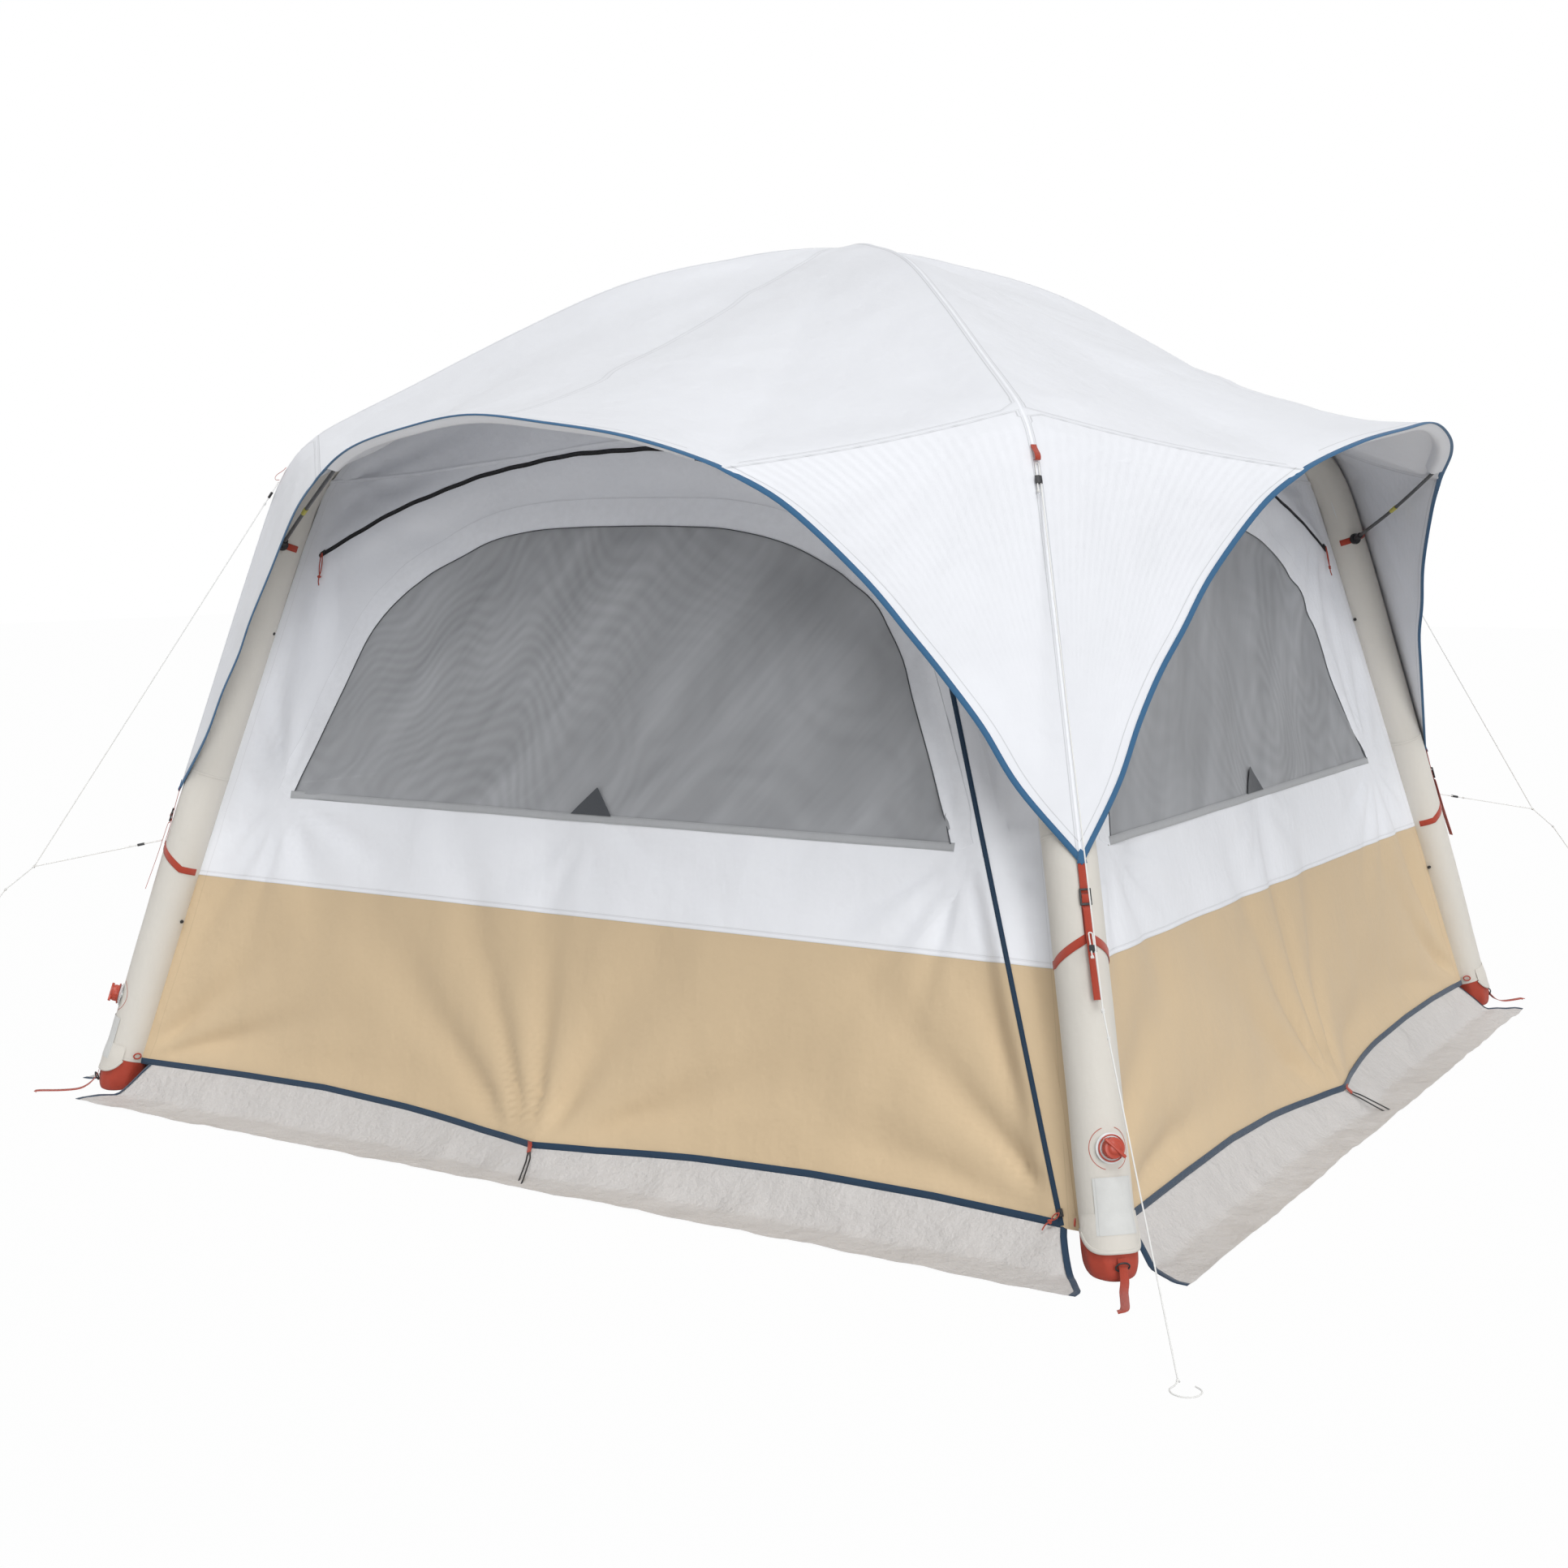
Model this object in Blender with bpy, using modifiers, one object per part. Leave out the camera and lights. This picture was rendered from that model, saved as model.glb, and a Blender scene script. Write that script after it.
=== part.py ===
"""Family tent carried by two crossed air tubes, with visor poles, zips, valves, straps and guy lines."""

import math

import bmesh
import bpy
from mathutils import Matrix, Vector
from mathutils.bvhtree import BVHTree

# Air tubes: leg and arch axis as (side of the square, height) from the foot to the crossing
AXIS = [(1.450, 0.0), (1.314, 0.611), (1.212, 1.040), (1.109, 1.463), (1.062, 1.625), (1.015, 1.700),
        (0.945, 1.757), (0.851, 1.824), (0.632, 1.984), (0.430, 2.113), (0.230, 2.183), (0.0, 2.2225)]
LEG_STATION_SHARES = [0.14, 0.6, 1.1, 2.0, 3.0, 4.0, 4.5, 5.0, 5.5, 6.0, 7.0, 8.0, 9.0, 10.0]
CROSSING_STATIONS = [0.22, 0.15, 0.08]
TUBE_RADIUS = 0.0565
SLEEVE_WALL = 0.0012
BLADDER_SLACK = 0.0007
BLADDER_WALL = 0.0010
CROSSING_FLAT = 0.08
CROSSING_END = 0.22
CROSSING_GAP = 0.0012
TUBE_SIDES = 12
BLADDER_SIDES = 6

# Gaps and cloth
GAP = 0.0003
RIDGE_SHIFT = 0.00022
MERGE = 0.00001
SHEET = 0.0015
FLY_SHEET = 0.0012
STRAP = 0.0012

# Foot cups: centre side of the square, height, radius and tilt share of each ring
CUP_RINGS = [(1.450, 0.0, 0.034), (1.4485, 0.006, 0.0465), (1.4445, 0.024, 0.0540), (1.4400, 0.045, 0.0562)]
CUP_TILT_SHARES = [0.0, 0.15, 0.45, 0.75]
CUP_WALL = 0.0015
CUP_SLACK = 0.0007
CUP_SEAM = 0.0015

# Fly: lift of the ridge seams over the tube, gore centre line and visor edge as (along, out, height)
FLY_LIFT = 0.0052
FLY_CENTRE = [(0.05, 2.281), (0.12, 2.263), (0.207, 2.226), (0.41, 2.145), (0.514, 2.108), (0.594, 2.054),
              (0.647, 2.048), (0.89, 1.95), (1.10, 1.877), (1.163, 1.845), (1.183, 1.835), (1.471, 1.76),
              (1.658, 1.743)]
VISOR_EDGE = [(0.0, 1.658, 1.743), (0.20, 1.645, 1.720), (0.40, 1.600, 1.683),
              (0.57, 1.530, 1.620)]
VISOR_SIDE = [(0.57, 1.530, 1.620), (0.70, 1.476, 1.538), (0.85, 1.417, 1.389), (0.95, 1.390, 1.270),
              (1.02, 1.366, 1.180), (1.10, 1.352, 1.077), (1.18, 1.340, 0.954)]
GORE_BULGE_SHARE = 3.0
SEAM_STATION_SHARES = [4.5, 4.0, 3.5, 3.0, 2.5, 2.1]
SHOULDER_STATION_SHARE = 5.0

# Walls: foot distance and inward slope of the wall plane
WALL_FOOT = 1.45106
WALL_SLOPE_SHARE = 0.25804
HEM = 0.070
BAND_TOP = 0.579
PEG_PULL = 0.049
PEG_PULL_HALF = 0.50
PEG_PULL_HEIGHT = 0.33
BAND_COLUMN_SHARES = [0.0, 0.16, 0.32, 0.38, 0.44, 0.5, 0.56, 0.62, 0.68, 0.84, 1.0]
DOOR_COLUMN_SHARES = [0.0, 0.22, 0.44, 0.51, 0.58, 0.65, 0.72, 0.79, 0.86, 0.93, 1.0]
BAND_ROW_SHARES = [0.0, 0.2, 0.4, 0.62, 1.0]
EDGE_SLACK = 0.0013
SIDE_HEIGHTS = [0.70, 0.82, 0.95, 1.04, 1.20, 1.34, 1.463, 1.54, 1.60, 1.64, 1.68, 1.71, 1.73, 1.755, 1.77]
SHOULDER_FOOT = 1.62
SHOULDER_SLACK = 0.0030
TOP_PLACES = [0.900, 0.80, 0.68, 0.56, 0.40, 0.20]
TOP_SLACK = 0.0025
WINDOW = [(0.970, 0.815), (0.900, 0.977), (0.800, 1.195), (0.754, 1.270), (0.700, 1.335), (0.644, 1.372),
          (0.589, 1.405), (0.456, 1.462), (0.300, 1.495), (0.150, 1.503)]

# Arched zip in the wall plane, its ends at one distance up the wall, and its slider
ZIP_ARC_RADIUS = 1.996
ZIP_END_UP = 1.47683
ZIP_HALF = 1.000
ZIP_WIDTH = 0.022
ZIP_TAPE = 0.0012
ARC_STEPS = 18
SLIDER_WIDTH = 0.014
SLIDER_LENGTH = 0.018
SLIDER_THICK = 0.006
PULL_LENGTH = 0.085
PULL_WIDTH = 0.006
PULL_THICK = 0.003

# Straight door zip on the front wall and the loose corner of the door
DOOR_ZIP_FOOT = (1.332, 0.070)
DOOR_ZIP_HEAD = (0.802, 1.500)
DOOR_CORNER_TOP = 0.800
DOOR_CREASE_FOOT = 0.520
DOOR_CUT = 0.0012
DOOR_TAPE = 0.012

# Ground skirts
SKIRT_HEM_HALF = 1.335
SKIRT_END_HALF = 1.430
SKIRT_CREASE = 1.512
SKIRT_OUT = 1.605
SKIRT_PULL = 0.030
SKIRT_DROP = 0.0009
SKIRT_PLACE_SHARES = [-1.0, -0.72, -0.36, -0.2, -0.1, 0.0, 0.1, 0.2, 0.36, 0.72, 1.0]

# Visor poles and their hubs
POLE_RADIUS = 0.00475
POLE_DROP = 0.012
POLE_INSET = 0.030
POLE_BEND_SHARE = 0.10
HUB_DROP = 0.237
HUB_RADIUS = 0.016
HUB_THICK = 0.012
HUB_SOCKET_RADIUS = 0.0085
HUB_SOCKET = 0.034
HUB_LIFT = 0.0005

# Ring straps, tip straps and ladder locks, measured along the leg and off the tube
RING_STRAP_WIDTH = 0.017
LOWER_RING = 0.600
LOWER_RING_RISE = 0.045
STRAP_WIDTH = 0.018
LOCK_WIDTH = 0.025
LOCK_HEIGHT = 0.035
LOCK_THICK = 0.004
LOCK_OFF = 0.0060
LOCK_LEVEL = 0.722
LOCK_SLOT_OFF = 0.0075
STRAP_INNER = 0.0030
STRAP_OUTER = 0.0090
STRAP_FOLD = 0.030
TAIL_LEVEL = 0.520
TIP_LEVEL = 0.785
LEG_SLANT_SHARE = 1.0485

# Valves: seen from the tube axis outward
VALVE_LEVEL = 0.240
VALVE_PORT = 0.0155
PORT_SIDES = 16
NECK_RADIUS = 0.0150
NECK_BORE = 0.0120
NECK_START = 0.0400
NECK_END = 0.0800
FLANGE_RADIUS = 0.0220
FLANGE_START = 0.0569
FLANGE_END = 0.0595
WEB_START = 0.0520
WEB_END = 0.0540
WEB_HOLE = 0.0026
VENT_HOLE = 0.0026
VENT_RADIUS = 0.0072
STEM_ROD = 0.0022
STEM_DISC = 0.0108
STEM_DISC_START = 0.0490
STEM_DISC_END = 0.0515
STEM_END = 0.0720
CAP_RADIUS = 0.0210
CAP_BORE = 0.0160
CAP_CROWN_SHARE = 0.86
CAP_START = 0.0640
CAP_ROOF = 0.0806
CAP_END = 0.0840
CAP_WING = 0.0270
CAP_WING_THICK = 0.0050
CAP_WING_START = 0.0808
CAP_WING_END = 0.0880

# Guy lines as (side of the square, height) with the pair of strands this far apart
CORD_RADIUS = 0.0015
STRAND = 0.0038
GUY_TAB_LEVEL = 1.600
UPPER_SLIDER_PLACE = 0.040
LOWER_SLIDER_PLACE = 0.055
TAIL_REACH = 0.028
TAIL_NECK = 0.010
LOOP_RADIUS = 0.028
LOOP_NECK = 0.012
LOOP_STEPS = 9
LOWER_HEAD_LEVEL = 0.652
GUYS = {
    "front": [(1.465, -1.550, 0.562), (1.490, -1.580, 0.517), (1.760, -1.895, 0.004)],
    "right": [(1.583, 1.583, 0.615), (1.636, 1.636, 0.556), (1.950, 1.950, 0.004)],
    "back": [(-1.583, 1.583, 0.615), (-1.636, 1.636, 0.556), (-1.950, 1.950, 0.004)],
    "left": [(-1.583, -1.583, 0.615), (-1.636, -1.636, 0.556), (-1.950, -1.950, 0.004)]}
GUY_SLIDER = (0.018, 0.016, 0.007)
SLIDER_BORE = 0.0018
KNOT_RADIUS = 0.0042
END_KNOT_SHARE = 0.7
SMALL_KNOT_SHARE = 0.8

COLOURS = {
    "fly_white": (0.86, 0.865, 0.885), "wall_white": (0.76, 0.77, 0.79), "sand": (0.60, 0.48, 0.29),
    "mesh_grey": (0.33, 0.35, 0.37), "cream": (0.68, 0.66, 0.60), "bladder": (0.70, 0.73, 0.75),
    "red_fabric": (0.52, 0.09, 0.05), "red_plastic": (0.50, 0.06, 0.04), "black_plastic": (0.03, 0.03, 0.035),
    "navy": (0.03, 0.06, 0.11), "blue": (0.06, 0.15, 0.29), "skirt_grey": (0.56, 0.55, 0.54),
    "cord_white": (0.86, 0.86, 0.84), "clear": (0.78, 0.80, 0.80), "zip_black": (0.02, 0.02, 0.022)}

QUARTER = math.pi / 2
SHARP_ANGLE = math.radians(40)
CORNER_TURNS = [-QUARTER / 2, QUARTER / 2, 3 * QUARTER / 2, 5 * QUARTER / 2]
SIDES = ["front", "right", "back", "left"]

for old in list(bpy.data.objects):
    bpy.data.objects.remove(old, do_unlink=True)

tent = bpy.data.collections.new("inflatable_tent")
bpy.context.scene.collection.children.link(tent)
tools = bpy.data.collections.new("cutters")
bpy.context.scene.collection.children.link(tools)


def material(slot):
    """The Principled material of a colour slot, made once."""
    found = bpy.data.materials.get(slot)
    if found is None:
        found = bpy.data.materials.new(slot)
        found.use_nodes = True
        shader = found.node_tree.nodes["Principled BSDF"]
        shader.inputs["Base Color"].default_value = (*COLOURS[slot], 1.0)
        shader.inputs["Roughness"].default_value = 0.6
        found.diffuse_color = (*COLOURS[slot], 1.0)
    return found


def adopt(name, data, slot, frame=None):
    """A new object of the tent, placed by a frame matrix."""
    thing = bpy.data.objects.new(name, data)
    tent.objects.link(thing)
    if thing.type == "MESH":
        data.shade_smooth()
        data.set_sharp_from_angle(angle=SHARP_ANGLE)
    if data.materials:
        data.materials[0] = material(slot)
    else:
        data.materials.append(material(slot))
    if frame is not None:
        thing.matrix_world = frame
    return thing


def mesh_of(polygons):
    """Mesh of polygons given by corner points, with equal corners made one."""
    index = {}
    points = []
    faces = []
    for polygon in polygons:
        face = []
        for point in polygon:
            key = tuple(round(c / MERGE) for c in point)
            if key not in index:
                index[key] = len(points)
                points.append(tuple(point))
            if index[key] not in face:
                face.append(index[key])
        if len(face) > 2:
            faces.append(face)
    mesh = bpy.data.meshes.new("mesh")
    mesh.from_pydata(points, [], faces)
    return mesh


def close_outward(mesh):
    """Turns the faces of a closed mesh outward."""
    work = bmesh.new()
    work.from_mesh(mesh)
    bmesh.ops.recalc_face_normals(work, faces=work.faces)
    work.to_mesh(mesh)
    work.free()


def face_outward(mesh, outward):
    """Makes the faces of an open surface agree and point along the outward direction on the whole."""
    work = bmesh.new()
    work.from_mesh(mesh)
    bmesh.ops.recalc_face_normals(work, faces=work.faces)
    work.normal_update()
    along = sum(face.normal.dot(outward(face.calc_center_median())) * face.calc_area() for face in work.faces)
    if along < 0:
        bmesh.ops.reverse_faces(work, faces=work.faces)
    work.to_mesh(mesh)
    work.free()


def sheet(name, polygons, slot, thickness, grow, outward=None):
    """Cloth or webbing: an open surface thickened outward (1), inward (-1) or both ways (0)."""
    mesh = mesh_of(polygons)
    if outward is None:
        close_outward(mesh)
    else:
        face_outward(mesh, outward)
    thing = adopt(name, mesh, slot)
    skin = thing.modifiers.new("skin", "SOLIDIFY")
    skin.thickness = thickness
    skin.offset = grow
    return thing


def grid(rows):
    """Quads between rows of points."""
    quads = []
    for lower, upper in zip(rows, rows[1:]):
        for i in range(len(lower) - 1):
            quads.append([lower[i], lower[i + 1], upper[i + 1], upper[i]])
    return quads


def loft(rings, cap_start=True, cap_end=True):
    """Faces of a closed tube through rings of equal count, with fan caps."""
    faces = []
    for lower, upper in zip(rings, rings[1:]):
        count = len(lower)
        for i in range(count):
            j = (i + 1) % count
            faces.append([lower[i], lower[j], upper[j], upper[i]])
    if cap_start:
        faces.append(list(reversed(rings[0])))
    if cap_end:
        faces.append(list(rings[-1]))
    return faces


def solid(name, polygons, slot):
    """Closed body of polygons."""
    mesh = mesh_of(polygons)
    close_outward(mesh)
    return adopt(name, mesh, slot)


def quarter(point, k):
    """A point turned by k quarter turns about the middle of the tent."""
    x, y, z = point
    for _ in range(k):
        x, y = -y, x
    return (x, y, z)


def wall_point(along, out, height, k):
    """A point given along wall k, outward from the middle, and up."""
    return quarter((along, -out, height), k)


def corner_point(out, aside, height, c):
    """A point given outward along the diagonal of corner c, to its left, and up."""
    turn = CORNER_TURNS[c]
    c_turn, s_turn = math.cos(turn), math.sin(turn)
    return (out * c_turn - aside * s_turn, out * s_turn + aside * c_turn, height)


def catmull(table, at):
    """Point on the smooth curve through a table at a fractional index."""
    last = len(table) - 1
    i = min(int(at), last - 1)
    t = at - i
    p1 = table[i]
    p2 = table[i + 1]
    p0 = table[i - 1] if i > 0 else tuple(2 * a - b for a, b in zip(p1, p2))
    p3 = table[i + 2] if i + 2 <= last else tuple(2 * b - a for a, b in zip(p1, p2))
    return tuple(0.5 * (2 * b + (c - a) * t + (2 * a - 5 * b + 4 * c - d) * t * t
                        + (3 * b - a - 3 * c + d) * t * t * t) for a, b, c, d in zip(p0, p1, p2, p3))


def lerp(a, b, t):
    """Point between two points."""
    return tuple(p + (q - p) * t for p, q in zip(a, b))


def along_line(table, share):
    """Point at a share of the length of a polyline."""
    lengths = [math.dist(a, b) for a, b in zip(table, table[1:])]
    left = share * sum(lengths)
    for a, b, size in zip(table, table[1:], lengths):
        if left <= size:
            return lerp(a, b, left / size)
        left -= size
    return table[-1]


ROOT_TWO = math.sqrt(2.0)


def half_axis():
    """Stations of one half arch as (out along the diagonal, height), foot to crossing."""
    points = [catmull(AXIS, s) for s in LEG_STATION_SHARES]
    points = [(r * ROOT_TWO, z) for r, z in points]
    start = points[-1]
    top = AXIS[-1][1]
    for place in CROSSING_STATIONS:
        t = place / start[0]
        points.append((place, top - (top - start[1]) * t * t))
    return points


HALF = half_axis()
TOP = (0.0, AXIS[-1][1])
ARCH = [(-rho, z) for rho, z in HALF] + [TOP] + [(rho, z) for rho, z in reversed(HALF)]


def normals_of(line):
    """Unit upward or outward normals of a line in its plane."""
    found = []
    for i in range(len(line)):
        a = line[max(i - 1, 0)]
        b = line[min(i + 1, len(line) - 1)]
        size = math.dist(a, b)
        found.append((-(b[1] - a[1]) / size, (b[0] - a[0]) / size))
    return found


ARCH_NORMALS = normals_of(ARCH)
LEG_AXIS = [(r * ROOT_TWO, z) for r, z in AXIS]


def leg_at(level):
    """Axis point (out, height) and its outward normal at a height below the shoulder."""
    low = 0.0
    high = 4.5
    for _ in range(40):
        middle = (low + high) / 2
        if catmull(LEG_AXIS, middle)[1] < level:
            low = middle
        else:
            high = middle
    here = catmull(LEG_AXIS, low)
    below = catmull(LEG_AXIS, max(low - 0.05, 0.0))
    above = catmull(LEG_AXIS, low + 0.05)
    size = math.dist(below, above)
    return here, ((above[1] - below[1]) / size, -(above[0] - below[0]) / size)


def squash(offset, radius, rho, upper, slack):
    """Offset off the axis after the two tubes share the height where they cross."""
    t = min(max((abs(rho) - CROSSING_FLAT) / (CROSSING_END - CROSSING_FLAT), 0.0), 1.0)
    t = t * t * (3 - 2 * t)
    half = (TUBE_RADIUS - CROSSING_GAP) / 2 - slack
    flat = (TUBE_RADIUS + CROSSING_GAP) / 2 + offset * half / radius
    if not upper:
        flat = -(TUBE_RADIUS + CROSSING_GAP) / 2 + offset * half / radius
    return flat + (offset - flat) * t


def arch_rings(turn, radius, upper, slack, sides):
    """Rings of an air tube through all stations of an arch in a direction of the ground plan."""
    rings = []
    for (rho, z), (nr, nz) in zip(ARCH, ARCH_NORMALS):
        ring = []
        for i in range(sides):
            angle = 2 * math.pi * i / sides
            off = squash(radius * math.cos(angle), radius, rho, upper, slack)
            aside = radius * math.sin(angle)
            out = rho + off * nr
            ring.append((out * math.cos(turn) - aside * math.sin(turn),
                         out * math.sin(turn) + aside * math.cos(turn), z + off * nz))
        rings.append(ring)
    return rings


def cup_rings(shrink, lift, c, sides):
    """Rings of a foot from the flat ground disc up to the sleeve, shrunk inward."""
    here, (nr, nz) = leg_at(CUP_RINGS[2][1])
    tilt = math.atan2(nz, nr)
    rings = []
    for (r, z, radius), share in zip(CUP_RINGS, CUP_TILT_SHARES):
        lean = tilt * share
        ring = []
        for i in range(sides):
            angle = 2 * math.pi * i / sides
            off = (radius - shrink) * math.cos(angle)
            aside = (radius - shrink) * math.sin(angle)
            ring.append(corner_point(r * ROOT_TWO + off * math.cos(lean), aside,
                                     z + lift + off * math.sin(lean), c))
        rings.append(ring)
    return rings


def end_ring(radius, back, c):
    """Ring at the first tube station, moved down the leg."""
    (rho, z) = HALF[0]
    nr, nz = ARCH_NORMALS[-1]
    ring = []
    for i in range(TUBE_SIDES):
        angle = 2 * math.pi * i / TUBE_SIDES
        off = radius * math.cos(angle)
        ring.append(corner_point(rho + off * nr + back * nz, radius * math.sin(angle),
                                 z + off * nz - back * nr, c))
    return ring


def axis_side(turn):
    """Outward reference for faces of an arch tube: away from the nearest axis point."""
    line = [(rho * math.cos(turn), rho * math.sin(turn), z) for rho, z in ARCH]

    def outward(point):
        best = min(line, key=lambda p: (Vector(p) - point).length)
        return point - Vector(best)

    return outward


def cutter(name, mesh, frame):
    """A hidden tool body for a Boolean."""
    thing = bpy.data.objects.new(name, mesh)
    tools.objects.link(thing)
    thing.matrix_world = frame
    thing.hide_render = True
    thing.display_type = "WIRE"
    return thing


def cylinder_mesh(radius, start, end, sides, turn=0.0):
    """Closed cylinder mesh about Z."""
    work = bmesh.new()
    bmesh.ops.create_cone(work, cap_ends=True, segments=sides, radius1=radius, radius2=radius,
                          depth=end - start)
    place = Matrix.Translation((0.0, 0.0, (start + end) / 2)) @ Matrix.Rotation(turn - QUARTER, 4, "Z")
    bmesh.ops.transform(work, matrix=place, verts=work.verts)
    mesh = bpy.data.meshes.new("cylinder")
    work.to_mesh(mesh)
    work.free()
    return mesh


def box_mesh(low, high):
    """Closed box mesh between two corners."""
    size = Vector(high) - Vector(low)
    middle = (Vector(high) + Vector(low)) / 2
    work = bmesh.new()
    bmesh.ops.create_cube(work, size=1.0, matrix=Matrix.Translation(middle) @ Matrix.Diagonal((*size, 1.0)))
    mesh = bpy.data.meshes.new("box")
    work.to_mesh(mesh)
    work.free()
    return mesh


def combine(target, mesh, frame, operation):
    """Adds an exact Boolean with a tool body to an object."""
    tool = cutter(target.name + "_tool", mesh, frame)
    step = target.modifiers.new(operation.lower(), "BOOLEAN")
    step.operation = operation
    step.solver = "EXACT"
    step.object = tool


def baked(thing):
    """The final mesh of an object in world space."""
    bpy.context.view_layer.update()
    depsgraph = bpy.context.evaluated_depsgraph_get()
    mesh = bpy.data.meshes.new_from_object(thing.evaluated_get(depsgraph))
    mesh.transform(thing.matrix_world)
    return mesh


def polygons_of(mesh, turn=None):
    """Corner points of each face of a mesh, after a transform."""
    move = turn if turn is not None else Matrix.Identity(4)
    return [[tuple(move @ mesh.vertices[i].co) for i in face.vertices] for face in mesh.polygons]


def settled(thing):
    """The object with its modifiers applied into a mesh of its own, in place."""
    mesh = baked(thing)
    name = thing.name
    slot = thing.data.materials[0].name
    bpy.data.objects.remove(thing, do_unlink=True)
    work = bmesh.new()
    work.from_mesh(mesh)
    bmesh.ops.remove_doubles(work, verts=work.verts, dist=MERGE)
    work.to_mesh(mesh)
    work.free()
    return adopt(name, mesh, slot)


def on_every_side(thing, base, sides):
    """Names an object for the first side and gives each further side a turned twin of it."""
    thing.name = base + "_" + sides[0]
    for k, side in enumerate(sides[1:], 1):
        twin = thing.copy()
        twin.name = base + "_" + side
        tent.objects.link(twin)
        twin.matrix_world = Matrix.Rotation(QUARTER * k, 4, "Z") @ thing.matrix_world


def valve_frame(c):
    """Frame with Z along the outward normal of the leg at the valve, origin on the tube axis."""
    (rho, z), (nr, nz) = leg_at(VALVE_LEVEL)
    middle = Vector(corner_point(rho, 0.0, z, c))
    out = Vector(corner_point(nr, 0.0, nz, c))
    side = Vector(corner_point(0.0, 1.0, 0.0, c))
    up = out.cross(side)
    return Matrix.Translation(middle) @ Matrix((side, up, out)).transposed().to_4x4()


def port_mesh():
    """Tool body of the round valve port."""
    return cylinder_mesh(VALVE_PORT, NECK_START, CAP_END, PORT_SIDES, math.pi / PORT_SIDES)


# Air tubes: bladders with closed ends, each open at its valve port, inside open sleeves
bladder_radius = TUBE_RADIUS - SLEEVE_WALL - BLADDER_SLACK
for name, turn, c_low, c_high, upper, valve_corner in (
        ("front_back", CORNER_TURNS[0], 2, 0, True, 0), ("left_right", CORNER_TURNS[1], 3, 1, False, 3)):
    outward = axis_side(turn)
    body = arch_rings(turn, TUBE_RADIUS, upper, 0.0, TUBE_SIDES)
    sleeve = sheet("sleeve_" + name, loft(body, False, False), "cream", SLEEVE_WALL, -1, outward)
    combine(sleeve, port_mesh(), valve_frame(valve_corner), "DIFFERENCE")
    inner = arch_rings(turn, bladder_radius, upper, SLEEVE_WALL + BLADDER_SLACK, BLADDER_SIDES)
    shrink = CUP_WALL + CUP_SLACK
    low = cup_rings(shrink, CUP_WALL + GAP, c_low, BLADDER_SIDES)
    high = cup_rings(shrink, CUP_WALL + GAP, c_high, BLADDER_SIDES)
    mirror = [[ring[-i] for i in range(BLADDER_SIDES)] for ring in low]
    closed_tube = loft(mirror + inner + list(reversed(high)))
    bladder = sheet("bladder_" + name, closed_tube, "bladder", BLADDER_WALL, -1)
    combine(bladder, port_mesh(), valve_frame(valve_corner), "DIFFERENCE")

# Foot cups with flat undersides
cup = loft(cup_rings(0.0, 0.0, 0, TUBE_SIDES) + [end_ring(TUBE_RADIUS, CUP_SEAM, 0)], True, False)
cup_middle = Vector(corner_point(CUP_RINGS[3][0] * ROOT_TWO, 0.0, CUP_RINGS[3][1], 0))
cup = sheet("foot_cup", cup, "red_plastic", CUP_WALL, -1, lambda p: p - cup_middle)
on_every_side(cup, "foot_cup", SIDES)

# Fly panels: the roof gore bulges out to the visor edge, corner triangles run down to the tips
ridge_offset = TUBE_RADIUS + FLY_LIFT
shoulder_index = LEG_STATION_SHARES.index(SHOULDER_STATION_SHARE)
ridge_stations = [len(ARCH) // 2 + 1 + i for i in range(len(HALF) - shoulder_index)]
RIDGE = [(0.0, TOP[1] + ridge_offset)]
for i in ridge_stations:
    (rho, z), (nr, nz) = ARCH[i], ARCH_NORMALS[i]
    RIDGE.append(((rho + ridge_offset * nr) / ROOT_TWO, z + ridge_offset * nz))
SHOULDER = (RIDGE[-1][0], RIDGE[-1][0], RIDGE[-1][1])
MIDDLE = VISOR_EDGE[0]
KINK = VISOR_EDGE[-1]
eave = [SHOULDER, lerp(SHOULDER, KINK, 0.5), KINK] + list(reversed(VISOR_EDGE[:-1]))
eave_shares = [1 - p[0] / SHOULDER[0] for p in eave]
ridge_lengths = [0.0]
for p, q in zip(RIDGE, RIDGE[1:]):
    ridge_lengths.append(ridge_lengths[-1] + math.dist(p, q))
centre_top = [(0.0, RIDGE[0][1])] + FLY_CENTRE


def gore(a, station, edge):
    """Point of the roof gore, a from ridge to middle, at a station from crossing to eave."""
    b = ridge_lengths[station] / ridge_lengths[-1]
    r, z = RIDGE[station]
    out, height = along_line(centre_top, b)
    blend = b ** GORE_BULGE_SHARE
    point = []
    for side, middle, e, s, m in zip((r, r, z), (0.0, out, height), edge, SHOULDER, MIDDLE):
        point.append((1 - a) * side + a * middle + blend * (e - (1 - a) * s - a * m))
    return tuple(point)


gore_rows = [[gore(a, i, e) for a, e in zip(eave_shares, eave)] for i in range(len(RIDGE))]
seam_points = [SHOULDER]
for station in SEAM_STATION_SHARES:
    here = catmull(LEG_AXIS, station)
    _, (nr, nz) = leg_at(here[1])
    seam_points.append(((here[0] + ridge_offset * nr) / ROOT_TWO, (here[0] + ridge_offset * nr) / ROOT_TWO,
                        here[1] + ridge_offset * nz))
(rho, z), (nr, nz) = leg_at(TIP_LEVEL)
tip_out = (rho + ridge_offset * nr) / ROOT_TWO
TIP = (tip_out, tip_out, TIP_LEVEL + ridge_offset * nz)
triangle_rows = []
for p, q in zip(seam_points, VISOR_SIDE):
    triangle_rows.append([p, lerp(p, q, 0.5), q])


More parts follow.
